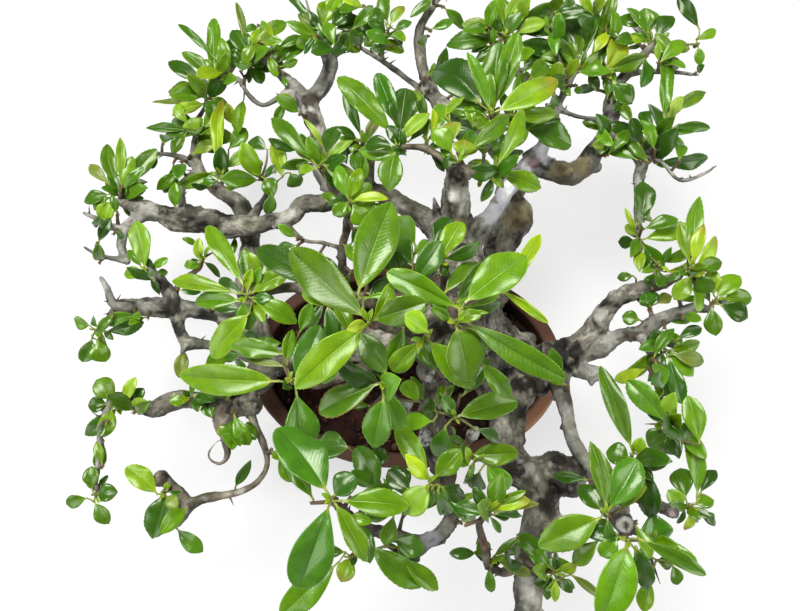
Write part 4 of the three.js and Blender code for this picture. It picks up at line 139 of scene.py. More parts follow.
# thin twigs that carry the rosettes: name, [x, y, z, radius]
TWIGS = [
 ["twig_apex_a",[[-12.2,-36.0,234.0,1.26],[-13.1,-36.2,234.8,1.17],[-13.8,-36.4,235.1,1.09],[-14.1,-36.5,235.9,1.0]]],
 ["twig_apex_b",[[15.5,-36.0,236.0,1.33],[15.5,-36.0,237.0,1.22],[15.8,-36.3,237.0,1.11],[15.8,-36.4,237.8,1.0]]],
 ["twig_apex_c",[[13.2,-6.7,219.0,1.33],[13.1,-6.7,219.6,1.22],[13.1,-6.7,219.4,1.11],[13.1,-6.7,219.8,1.0]]],
 ["twig_apex_e",[[7.2,-38.2,229.0,1.39],[6.6,-39.1,229.7,1.26],[5.8,-39.8,230.2,1.13],[5.4,-40.1,230.9,1.0]]],
 ["twig_front_mid_a",[[11.8,-28.9,173.0,2.31],[11.5,-34.8,174.0,2.09],[14.8,-42.9,175.1,1.87],[15.1,-47.7,179.0,1.65],[14.9,-54.1,185.1,1.44],[17.9,-58.9,187.9,1.22],[18.0,-60.9,194.0,1.0]]],
 ["twig_front_mid_b",[[10.0,-45.0,159.0,2.34],[11.8,-51.2,158.7,2.11],[16.4,-59.4,161.4,1.89],[18.6,-64.5,165.8,1.67],[23.6,-69.3,169.3,1.45],[24.7,-73.0,173.8,1.22],[27.5,-75.6,178.0,1.0]]],
 ["twig_front_twiglets",[[35.9,-117.5,140.0,1.35],[35.8,-116.8,140.4,1.23],[35.8,-116.1,140.4,1.12],[36.0,-115.6,140.9,1.0]]],
 ["twig_lower_left_rosette",[[-29.5,-93.3,188.0,1.26],[-29.2,-93.4,190.7,1.17],[-29.1,-92.8,193.1,1.09],[-29.4,-93.0,195.8,1.0]]],
 ["twig_left_rosette",[[-47.0,-44.2,184.0,1.47],[-48.3,-44.6,185.8,1.31],[-49.2,-44.7,187.6,1.16],[-49.2,-45.2,189.8,1.0]]],
 ["twig_left_upper_rosette",[[-68.2,2.3,166.0,1.49],[-70.3,0.6,166.9,1.33],[-72.0,-0.2,168.2,1.16],[-73.0,-1.4,170.0,1.0]]],
 ["twig_mid_twig_rosette",[[-28.0,46.9,168.0,1.19],[-28.0,47.0,168.5,1.13],[-27.9,47.1,168.4,1.06],[-27.9,47.3,168.8,1.0]]],
 ["twig_left_top_rosette",[[-35.6,76.1,124.0,2.23],[-41.4,77.2,132.5,1.92],[-42.2,78.8,138.9,1.61],[-43.5,75.3,149.9,1.31],[-44.7,74.0,158.1,1.0]]],
 ["twig_mid_top_cluster",[[-19.7,84.8,146.5,1.69],[-20.4,86.1,152.1,1.46],[-21.5,86.0,156.5,1.23],[-22.9,86.3,160.9,1.0]]],
 ["twig_back_left_rosette",[[-1.8,68.5,186.2,1.05],[-2.3,68.7,185.1,1.03],[-2.3,68.7,183.4,1.02],[-2.6,69.0,182.9,1.0]]],
 ["twig_back_twig_leaves",[[10.6,67.8,184.0,1.4],[9.8,69.5,182.4,1.27],[9.8,70.5,180.7,1.13],[9.7,72.0,180.4,1.0]]],
 ["twig_stub_rosette",[[23.0,53.5,181.5,1.47],[23.0,55.2,182.9,1.31],[23.4,57.3,183.5,1.16],[23.4,59.0,185.2,1.0]]],
 ["twig_stub_rosette_right",[[40.8,59.8,179.0,1.05],[41.1,60.1,177.8,1.03],[41.3,60.2,176.1,1.02],[41.4,60.4,175.7,1.0]]],
 ["twig_back_rosette",[[65.9,91.1,86.7,3.22],[63.6,100.3,96.2,2.85],[56.6,101.9,107.5,2.48],[52.7,104.0,121.1,2.11],[50.2,104.6,134.1,1.74],[49.6,105.9,141.8,1.37],[44.9,106.9,155.5,1.0]]],
 ["twig_top_centre",[[52.6,177.5,128.0,1.12],[54.4,178.4,129.1,1.08],[56.6,179.0,129.8,1.04],[58.4,179.6,130.9,1.0]]],
 ["twig_top_right_c",[[144.9,173.1,128.4,1.4],[146.0,174.6,128.7,1.26],[146.7,175.5,128.2,1.13],[147.1,176.4,128.8,1.0]]],
 ["twig_right_top_d",[[140.0,110.4,111.5,1.73],[143.9,112.8,112.6,1.55],[147.5,116.3,112.7,1.37],[150.2,120.0,113.1,1.18],[151.6,121.9,116.1,1.0]]],
 ["twig_right_bright",[[142.9,25.7,130.2,1.59],[144.2,25.7,134.3,1.39],[145.0,25.6,137.2,1.2],[144.9,24.9,140.8,1.0]]],
 ["twig_right_round",[[130.8,3.9,117.4,1.49],[130.9,6.9,118.4,1.33],[130.6,9.3,118.2,1.16],[129.7,11.2,119.1,1.0]]],
 ["twig_right_mid_cluster",[[125.3,-0.3,113.0,1.74],[128.0,-1.9,116.3,1.56],[129.0,-5.1,118.3,1.37],[131.1,-9.3,121.1,1.19],[131.5,-11.1,124.7,1.0]]],
 ["twig_right_lower_a",[[121.4,-0.2,109.9,2.8],[125.4,-6.6,119.2,2.5],[126.9,-21.8,125.4,2.2],[122.9,-32.1,134.8,1.9],[120.8,-41.7,142.2,1.6],[117.8,-51.9,147.4,1.3],[116.2,-57.1,157.4,1.0]]],
 ["twig_right_lower_b",[[93.4,-99.4,151.8,2.04],[93.8,-94.4,156.7,1.78],[94.5,-86.0,157.6,1.52],[96.5,-78.8,160.1,1.26],[96.1,-73.9,164.4,1.0]]],
 ["twig_lower_right_rosette",[[92.1,-101.8,159.3,1.96],[88.7,-100.6,166.1,1.72],[84.5,-100.3,169.6,1.48],[81.2,-98.3,175.8,1.24],[78.9,-98.0,180.4,1.0]]],
 ["twig_lower_right_b",[[92.1,-101.8,159.3,1.79],[91.2,-104.1,163.6,1.6],[88.9,-104.8,168.0,1.4],[87.7,-106.2,171.7,1.2],[87.1,-107.3,176.6,1.0]]],
 ["twig_right_edge",[[113.2,-91.9,144.4,1.58],[117.1,-92.5,145.5,1.39],[121.2,-92.7,145.1,1.19],[124.1,-92.4,146.9,1.0]]],
 ["twig_front_small_rosette",[[56.0,-114.4,110.0,1.75],[57.5,-116.2,114.1,1.56],[61.8,-118.5,116.0,1.38],[65.4,-119.8,119.3,1.19],[67.2,-120.3,121.9,1.0]]],
 ["twig_front_left_dark",[[-24.5,-97.9,140.0,1.79],[-20.9,-94.7,142.6,1.59],[-17.9,-91.0,142.4,1.39],[-14.2,-88.0,142.3,1.2],[-10.8,-85.2,144.1,1.0]]],
 ["twig_front_left_low",[[-15.0,-101.6,124.0,1.71],[-19.2,-105.7,124.7,1.47],[-23.7,-110.4,124.5,1.24],[-25.9,-113.2,126.2,1.0]]],
 ["twig_left_pair",[[-120.1,-79.9,103.8,1.41],[-121.1,-80.3,104.7,1.27],[-122.2,-81.3,105.3,1.14],[-122.4,-82.3,106.4,1.0]]],
 ["twig_left_round_pale",[[-99.0,-53.2,86.0,1.58],[-96.7,-53.6,88.9,1.39],[-94.0,-52.7,91.1,1.19],[-92.0,-51.7,93.9,1.0]]],
 ["twig_left_edge_low",[[-152.8,-32.5,93.2,1.42],[-154.1,-33.2,94.2,1.28],[-155.0,-34.4,94.6,1.14],[-155.6,-35.2,95.7,1.0]]],
 ["twig_left_edge_leaves",[[-118.0,-30.6,84.6,1.43],[-118.9,-30.7,86.1,1.28],[-119.1,-30.7,87.5,1.14],[-119.3,-30.9,89.0,1.0]]],
 ["twig_left_edge_mid",[[-160.9,19.7,103.0,1.74],[-165.0,16.2,101.3,1.56],[-167.8,13.4,98.6,1.37],[-169.7,9.8,97.0,1.19],[-172.3,6.8,98.3,1.0]]],
 ["twig_left_sprout",[[-141.1,35.2,108.5,1.38],[-141.9,35.9,109.4,1.25],[-142.9,36.2,109.6,1.13],[-143.3,36.4,110.3,1.0]]],
 ["twig_left_sprout_b",[[-132.9,23.3,98.7,2.03],[-130.1,31.0,100.9,1.77],[-124.6,37.3,101.5,1.52],[-118.4,41.6,103.1,1.26],[-116.0,44.9,106.3,1.0]]],
 ["twig_left_far_star",[[-169.0,84.1,102.7,1.46],[-170.2,86.2,101.5,1.31],[-170.4,88.3,100.0,1.15],[-170.7,90.4,99.9,1.0]]],
 ["twig_left_low_edge",[[-160.0,-78.2,101.9,0.91],[-159.7,-80.2,101.3,0.94],[-159.6,-81.8,99.9,0.97],[-159.3,-82.9,100.2,1.0]]],
 ["twig_top_left_far",[[-134.1,142.3,88.8,1.54],[-133.4,148.9,91.2,1.41],[-131.3,154.2,91.6,1.27],[-128.7,158.8,93.2,1.14],[-127.3,161.2,97.1,1.0]]],
 ["twig_top_left_mid",[[-101.3,161.9,109.0,1.26],[-100.6,166.9,109.7,1.17],[-98.9,171.8,109.1,1.09],[-97.4,175.5,111.7,1.0]]],
 ["twig_top_left_low",[[-133.9,137.1,87.8,1.39],[-133.7,138.3,88.5,1.26],[-133.4,139.3,89.0,1.13],[-133.3,139.7,89.7,1.0]]],
 ["twig_top_left_strap",[[-115.1,101.6,84.0,1.55],[-115.4,103.9,86.6,1.37],[-114.2,105.7,89.0,1.18],[-113.4,106.7,91.9,1.0]]],
 ["twig_top_left_sprig",[[-82.4,93.7,103.0,0.91],[-83.8,95.6,103.8,0.94],[-85.0,97.4,104.3,0.97],[-86.1,98.2,106.0,1.0]]],
 ["twig_top_blur_a",[[-49.2,187.3,123.5,1.35],[-49.7,188.1,123.6,1.23],[-50.3,188.4,123.5,1.12],[-50.8,188.6,123.8,1.0]]],
 ["twig_top_blur_b",[[-14.2,175.1,116.0,1.31],[-14.7,178.9,118.5,1.23],[-13.8,183.5,120.3,1.16],[-12.4,186.9,121.7,1.08],[-11.2,189.3,124.3,1.0]]],
 ["twig_off_front",[[47.5,-157.9,116.0,1.42],[46.8,-157.6,117.5,1.28],[46.9,-156.7,118.6,1.14],[46.8,-155.9,119.8,1.0]]],
 ["twig_off_right",[[156.0,7.3,130.0,1.4],[157.4,8.1,130.5,1.27],[158.0,9.4,130.9,1.13],[158.5,10.2,132.0,1.0]]],
]
# leaf pieces: name, rosettes of [centre, shoot direction, joined to an earlier rosette or -1, leaves of [base, tip, width, tone, size class]]
PIECES = [
 ["apex_a",[[[-14.6,-36.6,238.0],[-0.23,-0.06,0.97],-1,[[[-14.2,-35.9,237.9],[-44.1,-6.3,234.9],14.1,"b",3,1],[[-27.8,-24.2,236.0],[-58.0,-4.0,229.0],10.2,"d",3,1],[[-19.1,-25.7,236.0],[-7.1,12.3,236.0],15.6,"p",3,1],[[-29.1,-28.5,232.0],[-39.8,-22.2,231.0],4.6,"y",1,1],[[-15.3,-37.0,237.9],[-21.8,-40.8,243.9],4.2,"y",1],[[-14.9,-37.3,237.9],[-40.6,-58.1,229.9],12.0,"b",3,1],[[-13.9,-35.9,237.9],[5.3,-31.7,245.9],10.4,"b",2,1],[[-17.2,-27.2,237.0],[-5.8,-24.9,238.0],1.8,"p",1,1],[[-15.4,-25.0,232.0],[-6.3,-17.5,230.0],6.2,"d",1,1],[[-13.8,-35.8,236.9],[-6.5,-22.2,240.1],5.5,"b",1]]]]],
 ["apex_b",[[[15.9,-36.6,240.0],[0.04,-0.07,1.0],-1,[[[18.2,-32.3,239.6],[-8.3,-18.7,241.6],9.2,"b",3,1],[[16.8,-32.6,239.3],[26.8,-34.6,243.3],1.8,"p",1,1],[[18.6,-30.0,239.2],[41.5,-12.8,242.2],13.5,"b",3,1],[[16.2,-37.3,239.9],[24.5,-35.7,244.9],4.5,"b",1],[[17.8,-35.1,239.0],[54.1,-55.8,234.0],9.1,"b",3,1],[[15.9,-37.7,239.0],[20.8,-55.3,229.0],13.8,"b",2,1],[[38.3,-19.9,237.0],[48.9,-0.1,234.0],5.7,"y",2,1],[[31.5,-23.4,238.0],[49.8,-34.6,232.0],3.3,"y",2,1],[[22.9,-39.6,239.1],[29.3,-42.1,219.1],3.6,"d",2],[[14.7,-35.5,238.0],[7.3,-31.4,238.0],3.9,"d",1,1],[[18.6,-37.8,237.0],[27.8,-44.5,231.0],7.1,"b",1,1],[[14.9,-35.9,236.0],[7.2,-32.2,241.7],3.8,"b",1]]]]],
 ["apex_c",[[[13.0,-6.7,222.0],[-0.03,-0.0,1.0],-1,[[[11.9,-5.4,221.8],[20.8,10.1,223.8],8.6,"b",2,1],[[13.1,-4.9,221.8],[27.8,2.4,221.8],5.5,"d",1],[[1.0,-15.6,220.3],[12.2,0.7,226.3],9.6,"s",2,1],[[13.2,-19.0,220.6],[27.5,-3.0,214.6],5.9,"b",2,1],[[11.8,-11.9,221.4],[15.5,-9.0,225.4],3.8,"d",0]]],[[-0.6,-11.7,221.0],[0.0,0.0,1.0],0,[[[-3.3,-11.8,220.2],[-7.1,-3.0,224.2],9.7,"g",1,1],[[1.8,-8.4,220.9],[-7.3,9.2,214.9],9.5,"d",1,1],[[2.7,1.1,219.8],[-4.5,22.0,205.8],8.2,"b",2,1],[[1.8,-2.4,220.0],[7.6,6.0,216.0],4.8,"p",1],[[7.9,-21.1,219.5],[15.7,-27.0,215.5],5.8,"d",1],[[-1.3,-12.2,215.6],[-12.0,-18.0,228.2],6.6,"d",1]]]]],
 ["apex_e",[[[4.9,-40.6,233.0],[-0.21,-0.22,0.95],-1,[[[6.0,-40.9,232.9],[23.6,-55.1,218.9],9.8,"b",2,1],[[6.4,-41.0,240.0],[-1.9,-36.4,247.0],7.4,"l",1,1],[[-2.2,-36.1,232.0],[-6.2,-46.6,224.0],8.0,"b",1,1],[[4.2,-41.3,232.9],[-6.6,-49.5,220.9],8.0,"b",2,1],[[25.5,-48.1,228.0],[37.0,-58.4,217.0],6.8,"b",2,1]]]]],
 ["front_left_top",[[[-9.9,-53.7,221.0],[-0.06,-0.03,1.0],-1,[[[-11.0,-54.1,220.9],[-33.6,-63.9,214.9],10.7,"b",2,1],[[-8.1,-51.4,220.7],[-18.1,-36.5,224.7],9.9,"g",2,1],[[-10.6,-55.2,220.9],[-3.3,-68.8,206.9],8.6,"p",2,1],[[-8.0,-54.4,220.8],[-6.2,-54.4,226.8],2.9,"y",0],[[-9.5,-58.7,220.0],[-13.7,-75.7,208.0],10.9,"d",2,1],[[-10.5,-53.3,216.8],[-25.9,-48.6,231.5],8.4,"d",2],[[-10.1,-52.8,217.9],[-14.8,-43.4,220.8],4.3,"d",1],[[-8.8,-53.9,216.7],[-3.3,-56.9,237.6],10.1,"b",1]]]]],
 ["front_mid_a",[[[18.1,-61.8,196.0],[0.08,-0.41,0.91],-1,[[[18.5,-61.8,195.9],[43.8,-55.3,193.9],10.4,"b",2,1],[[18.1,-61.8,195.9],[12.8,-54.6,201.9],5.5,"s",1,1],[[14.5,-64.9,195.5],[12.3,-75.8,181.5],8.8,"g",1,1],[[25.6,-66.0,195.0],[36.5,-69.6,183.0],5.2,"g",1],[[9.8,-63.3,195.5],[-2.4,-62.2,187.5],7.6,"l",1,1],[[4.0,-55.4,194.3],[-2.4,-45.7,188.3],6.9,"l",1,1],[[11.1,-59.6,195.1],[5.1,-53.4,185.1],5.3,"d",1]]]]],
 ["front_mid_b",[[[27.9,-76.4,180.0],[0.22,-0.38,0.9],-1,[[[25.6,-74.3,179.6],[44.7,-73.8,181.6],9.0,"b",2,1],[[31.6,-77.6,179.6],[41.7,-87.2,171.6],9.1,"p",1,1],[[24.2,-78.8,179.5],[23.2,-71.8,184.5],3.7,"y",0],[[25.0,-78.8,179.5],[23.9,-85.2,171.5],4.5,"g",1],[[29.1,-80.4,179.5],[29.2,-87.6,167.5],7.5,"d",1],[[26.2,-75.1,176.5],[20.4,-79.4,182.9],3.6,"b",0],[[26.9,-75.2,178.7],[20.6,-70.8,182.0],3.5,"d",0],[[27.3,-76.8,179.0],[24.1,-83.7,179.8],2.8,"b",0]]]]],
 ["front_rosette_a",[[[7.8,-87.0,197.0],[-0.33,0.03,0.94],-1,[[[7.8,-86.6,197.0],[-1.8,-77.2,203.0],6.5,"y",1],[[9.4,-85.5,196.9],[19.7,-75.0,200.9],8.8,"b",1,1],[[7.8,-87.7,196.9],[-1.7,-98.5,192.9],10.7,"y",1,1],[[9.3,-88.4,196.7],[-3.3,-97.5,182.7],3.9,"p",2],[[10.1,-87.7,196.7],[14.6,-93.5,190.7],3.9,"p",1],[[11.6,-88.4,196.5],[22.5,-91.2,180.5],7.1,"d",1],[[10.9,-89.9,196.5],[16.5,-97.6,178.5],6.7,"g",1],[[1.1,-89.6,185.0],[-8.5,-80.8,183.0],8.7,"d",1,1],[[8.1,-86.3,194.8],[-5.1,-64.4,192.3],8.5,"b",2]]]]],
 ["front_rosette_b",[[[30.8,-97.7,193.0],[0.17,0.27,0.95],-1,[[[30.4,-97.0,192.9],[24.2,-88.5,196.9],5.0,"d",1],[[31.6,-97.0,192.9],[45.8,-93.5,195.9],5.3,"y",1],[[32.4,-95.5,192.7],[44.2,-90.4,197.7],3.4,"b",1],[[32.3,-97.7,192.8],[50.9,-94.3,186.8],3.9,"o",2],[[32.3,-98.5,192.8],[44.3,-98.7,184.8],3.9,"g",1],[[29.6,-98.5,192.8],[17.0,-94.9,188.8],5.8,"g",1],[[30.4,-97.7,189.9],[35.2,-83.9,200.3],7.8,"b",1],[[29.3,-99.0,189.7],[24.2,-96.5,210.5],7.8,"b",1]]]]],
 ["front_twiglets",[[[36.1,-115.0,143.0],[0.02,0.3,0.95],-1,[[[30.5,-112.1,142.2],[18.0,-112.1,144.2],5.3,"g",1],[[36.0,-116.2,142.8],[33.1,-107.2,148.8],4.0,"d",1],[[37.5,-113.7,142.8],[48.8,-105.5,146.8],3.5,"b",1],[[37.9,-113.7,142.7],[54.3,-121.2,139.7],5.3,"o",1],[[40.7,-111.6,142.3],[50.7,-108.6,136.3],5.8,"d",1],[[35.7,-115.0,140.1],[32.7,-105.6,142.9],3.9,"d",1],[[35.1,-116.2,138.1],[29.1,-111.5,144.2],3.7,"g",0],[[35.3,-115.9,137.7],[30.5,-107.0,146.2],5.0,"b",1],[[36.9,-115.1,142.2],[44.8,-113.6,143.8],3.1,"b",0],[[35.8,-114.9,140.3],[33.7,-105.4,136.8],4.7,"b",1]]]]],
 ["lower_left_rosette",[[[-29.4,-93.0,198.0],[0.01,0.01,1.0],-1,[[[-29.7,-93.7,197.9],[-41.9,-125.0,185.9],16.3,"s",3,1],[[-28.6,-94.1,197.9],[-16.2,-115.7,188.9],8.0,"b",2,1],[[-26.3,-94.0,197.8],[-0.3,-95.9,197.8],10.2,"b",2,1],[[-29.0,-92.6,197.9],[-20.4,-84.7,199.9],9.5,"g",1,1],[[-30.6,-91.8,197.7],[-52.9,-65.4,191.7],16.8,"s",3,1]]]]],
 ["left_rosette",[[[-49.5,-45.4,192.0],[-0.13,-0.06,0.99],-1,[[[-46.1,-49.8,191.4],[-43.3,-73.1,179.4],14.4,"s",2,1],[[-46.6,-46.1,191.6],[-36.9,-23.3,195.6],12.0,"s",2,1],[[-50.7,-34.8,190.9],[-74.8,-29.9,188.9],8.4,"b",2,1],[[-52.8,-46.1,191.6],[-97.0,-41.5,183.6],12.9,"b",3,1],[[-51.1,-46.6,191.8],[-46.7,-47.0,196.8],2.8,"y",0],[[-46.3,-25.3,189.7],[-41.0,-13.1,195.7],6.3,"p",1],[[-50.7,-39.5,189.0],[-69.2,-34.8,186.0],4.2,"o",1,1],[[-49.2,-46.2,190.6],[-50.0,-51.1,199.7],4.8,"d",0]]]]],
 ["left_upper_rosette",[[[-73.6,-1.9,172.0],[-0.29,-0.23,0.93],-1,[[[-75.9,2.7,171.5],[-70.7,8.8,179.5],4.6,"y",1],[[-71.9,3.8,171.3],[-66.7,9.9,179.3],4.6,"p",1],[[-72.4,-0.4,171.8],[-54.7,9.8,174.8],8.3,"b",2],[[-71.4,-2.3,171.7],[-61.8,-3.1,173.7],5.5,"g",0],[[-71.3,-3.3,171.7],[-51.0,-12.7,166.7],9.6,"b",2],[[-75.0,-3.3,171.8],[-72.9,-15.6,163.8],8.3,"b",1],[[-75.6,3.7,171.4],[-96.8,36.4,167.4],9.0,"b",2,1],[[-78.0,-0.2,171.5],[-110.1,7.4,168.5],7.9,"b",2,1],[[-75.9,-3.8,171.7],[-99.2,-2.0,165.7],8.3,"b",2,1],[[-69.3,4.9,171.1],[-57.9,22.4,161.1],9.5,"d",2],[[-76.2,-0.1,171.2],[-88.0,8.1,169.2],6.5,"g",1,1],[[-71.9,-8.9,171.2],[-90.6,-27.2,159.2],11.9,"b",2,1],[[-74.7,6.8,170.0],[-76.4,22.7,172.0],6.5,"d",1,1],[[-73.8,-0.4,172.0],[-71.9,10.3,176.0],3.7,"y",1,1],[[-72.5,1.0,172.0],[-64.5,18.2,174.0],6.4,"b",1,1],[[-71.1,-1.5,171.0],[-61.3,-2.3,169.0],4.6,"d",1,1],[[-72.4,-2.0,168.7],[-69.6,-12.6,167.7],3.7,"d",1],[[-72.0,-1.8,168.5],[-65.0,-14.1,171.6],5.2,"b",1]]]]],
 ["mid_twig_rosette",[[[-27.8,47.5,171.0],[0.03,0.08,1.0],-1,[[[-27.9,49.2,170.8],[-33.8,65.7,174.8],7.8,"b",1],[[-27.4,49.8,170.8],[-22.5,63.5,175.8],7.3,"b",1],[[-26.9,48.1,170.9],[-8.9,48.1,172.9],5.3,"y",1],[[-28.8,47.0,170.9],[-36.1,42.1,167.9],7.7,"p",0],[[-26.8,46.5,170.8],[-19.2,38.8,165.8],10.2,"b",1],[[-28.3,46.5,170.9],[-29.3,42.7,167.9],3.4,"y",0],[[-27.0,47.1,165.9],[-15.5,48.1,170.3],4.7,"b",1]]]]],
 ["left_top_rosette",[[[-45.0,74.0,160.3],[-0.11,-0.03,0.99],-1,[[[-46.0,74.1,160.1],[-70.9,101.6,162.1],8.8,"b",2],[[-43.5,75.2,160.2],[-25.2,68.2,156.2],8.7,"o",1],[[-46.6,74.6,160.1],[-58.0,87.3,156.1],5.2,"y",1],[[-41.6,78.7,160.2],[-36.4,100.7,156.2],8.9,"g",2],[[-41.6,77.6,160.1],[-27.2,87.5,164.1],5.1,"y",1],[[-42.7,83.1,160.8],[-52.9,97.7,166.8],3.1,"y",1],[[-45.5,73.0,160.0],[-57.0,76.6,152.0],5.2,"b",1],[[-44.7,75.0,155.1],[-49.8,85.0,170.6],7.5,"b",1],[[-43.7,74.1,157.1],[-30.1,75.1,167.1],7.0,"d",1]]]]],
 ["mid_top_cluster",[[[-23.1,86.3,163.1],[-0.09,0.04,1.0],-1,[[[-23.1,87.9,163.5],[-32.9,111.3,171.5],6.2,"d",2],[[-21.1,86.5,162.9],[-14.0,100.8,164.9],5.7,"o",1],[[-25.2,87.5,163.2],[-36.1,91.2,169.2],4.1,"d",1],[[-25.2,83.7,161.7],[-26.3,72.6,156.7],7.7,"p",1],[[-29.3,84.9,161.7],[-33.3,82.8,149.7],8.3,"d",1],[[-22.1,81.8,161.0],[-22.4,71.3,151.0],6.2,"b",1],[[-23.5,86.3,157.9],[-35.1,88.6,163.4],5.1,"b",1],[[-22.7,87.0,158.0],[-23.2,94.4,161.6],3.0,"b",0],[[-23.7,85.7,161.7],[-29.0,80.7,162.2],2.9,"b",0],[[-22.0,86.1,160.6],[-18.4,85.6,171.8],4.0,"b",1]]]]],
 ["back_left_rosette",[[[-4.1,69.8,184.3],[-0.69,0.35,0.64],-1,[[[-6.5,76.1,184.0],[-33.8,105.5,190.0],11.2,"b",2,1],[[-5.1,79.9,185.0],[-14.8,106.3,192.0],9.3,"d",2,1],[[-5.6,68.9,183.9],[-8.9,49.1,178.9],11.9,"b",2],[[-6.5,70.4,184.1],[-20.6,73.0,180.1],7.7,"d",1],[[-4.1,76.1,184.0],[-0.8,99.1,190.0],13.8,"d",2,1],[[-3.6,72.4,184.5],[10.7,85.9,188.5],7.2,"y",1],[[0.2,72.6,184.2],[9.2,86.5,176.2],5.8,"d",1],[[-1.1,69.0,181.2],[-10.1,79.7,187.3],7.0,"d",1],[[-1.7,68.2,180.8],[-23.8,72.9,176.1],8.3,"p",1],[[-0.6,67.1,181.3],[-7.1,65.8,188.8],4.1,"d",0],[[-1.8,69.5,182.9],[-3.3,76.4,189.4],3.8,"d",0]]]]],
 ["back_twig_leaves",[[[9.3,73.5,181.9],[-0.15,0.7,0.7],-1,[[[9.4,75.1,182.1],[8.0,87.9,184.1],6.3,"d",1],[[11.3,76.2,182.1],[13.1,94.8,180.1],4.4,"y",1],[[21.6,83.8,182.6],[14.9,99.7,176.6],7.4,"b",1],[[18.2,87.5,183.9],[28.8,105.9,173.9],4.5,"y",2],[[9.8,70.4,180.8],[7.9,69.4,178.8],1.4,"b",0],[[10.7,71.3,178.9],[20.1,76.7,175.8],4.3,"b",1]]]]],
 ["stub_rosette",[[[23.4,59.7,187.2],[0.03,0.36,0.93],-1,[[[20.8,64.2,187.1],[11.9,75.9,190.1],9.4,"p",1],[[20.9,70.6,187.3],[20.0,83.8,184.3],9.6,"y",1],[[25.4,62.0,187.1],[26.2,69.7,191.1],11.7,"y",0],[[22.5,59.8,187.1],[16.1,60.5,185.1],5.6,"d",0],[[29.3,66.4,186.9],[49.1,87.3,184.9],8.6,"b",2],[[25.6,68.4,187.2],[24.5,80.2,181.2],5.7,"d",1],[[31.2,66.6,186.7],[39.1,73.9,178.7],5.7,"d",1],[[22.7,58.8,183.0],[15.5,68.5,185.2],4.5,"b",1]]]]],
 ["stub_rosette_right",[[[42.6,61.6,177.1],[0.56,0.55,0.63],-1,[[[42.7,63.3,177.0],[57.1,94.3,180.0],8.3,"b",2],[[42.1,60.6,176.9],[29.0,64.3,178.9],7.2,"b",1],[[43.5,60.6,176.9],[64.6,54.1,172.9],9.7,"b",2],[[38.7,58.6,176.4],[46.6,53.8,173.4],4.3,"y",0],[[36.8,58.2,176.2],[34.2,55.0,172.2],2.4,"y",0],[[41.8,65.0,176.9],[44.9,77.7,172.9],5.4,"p",1],[[46.6,64.0,176.7],[57.5,78.1,168.7],5.4,"d",1],[[39.9,58.1,174.4],[51.3,60.2,191.9],6.9,"d",1]]]]],
 ["back_rosette",[[[44.6,107.1,157.7],[-0.13,0.1,0.99],-1,[[[44.1,108.2,158.0],[31.5,135.5,172.0],6.9,"p",2,1],[[45.2,109.5,158.0],[49.1,141.9,172.0],14.1,"d",2,1],[[46.3,110.7,158.0],[58.6,146.7,174.0],11.0,"p",2,1],[[46.2,108.2,158.0],[81.1,127.1,160.0],13.3,"y",2],[[39.8,111.1,159.2],[15.2,140.6,151.2],19.5,"d",2],[[53.8,107.9,156.6],[80.4,111.4,152.6],8.6,"b",2],[[35.3,101.9,152.7],[31.9,116.3,154.7],5.9,"p",1],[[42.0,105.7,156.2],[39.8,118.7,152.2],7.0,"d",1],[[44.2,107.6,154.2],[22.2,115.6,152.3],9.0,"d",1],[[45.0,108.2,154.4],[43.7,125.6,168.2],8.7,"b",1],[[44.3,106.6,154.8],[36.4,98.8,157.1],5.3,"b",1],[[45.8,108.1,152.6],[50.0,113.7,154.9],3.2,"b",0],[[44.1,107.0,154.3],[25.8,110.0,152.1],6.3,"p",1]]],[[58.3,110.7,141.6],[0.0,0.0,1.0],0,[[[64.0,110.2,140.5],[91.4,101.2,136.5],14.4,"g",2],[[54.0,109.1,140.1],[48.5,98.9,136.1],7.2,"g",1],[[58.3,113.8,142.7],[72.6,130.1,136.7],7.9,"d",2],[[66.9,133.5,151.8],[79.6,153.7,141.8],10.1,"b",2],[[58.0,111.5,139.6],[50.9,129.0,148.9],9.5,"b",1],[[59.2,110.8,139.7],[73.9,111.7,145.1],5.6,"p",1]]]]],
 ["top_centre",[[[59.2,179.9,132.9],[0.39,0.14,0.91],-1,[[[59.9,183.5,133.9],[69.3,203.2,141.9],7.2,"y",2],[[63.5,182.5,133.3],[94.5,200.3,135.3],12.1,"d",2],[[55.1,182.5,133.3],[33.5,186.7,135.3],9.6,"o",2],[[54.0,178.4,131.2],[24.2,177.4,127.2],12.1,"d",2],[[64.7,181.6,132.7],[83.0,185.1,138.7],9.0,"y",1],[[58.7,184.7,134.2],[56.3,201.8,140.2],9.0,"b",1],[[56.4,176.4,130.1],[42.0,166.5,126.1],8.4,"d",1],[[66.1,177.6,130.5],[90.7,175.0,126.5],10.9,"d",2],[[57.9,179.9,128.3],[71.6,192.0,141.3],9.3,"d",1],[[57.0,180.0,129.2],[51.6,189.9,137.5],6.1,"d",1],[[58.6,178.7,130.5],[63.2,175.3,136.6],2.9,"d",0],[[57.5,179.7,131.0],[39.3,183.0,136.3],8.1,"d",1],[[58.9,180.7,132.4],[56.1,199.0,130.8],6.2,"p",1]]]]],
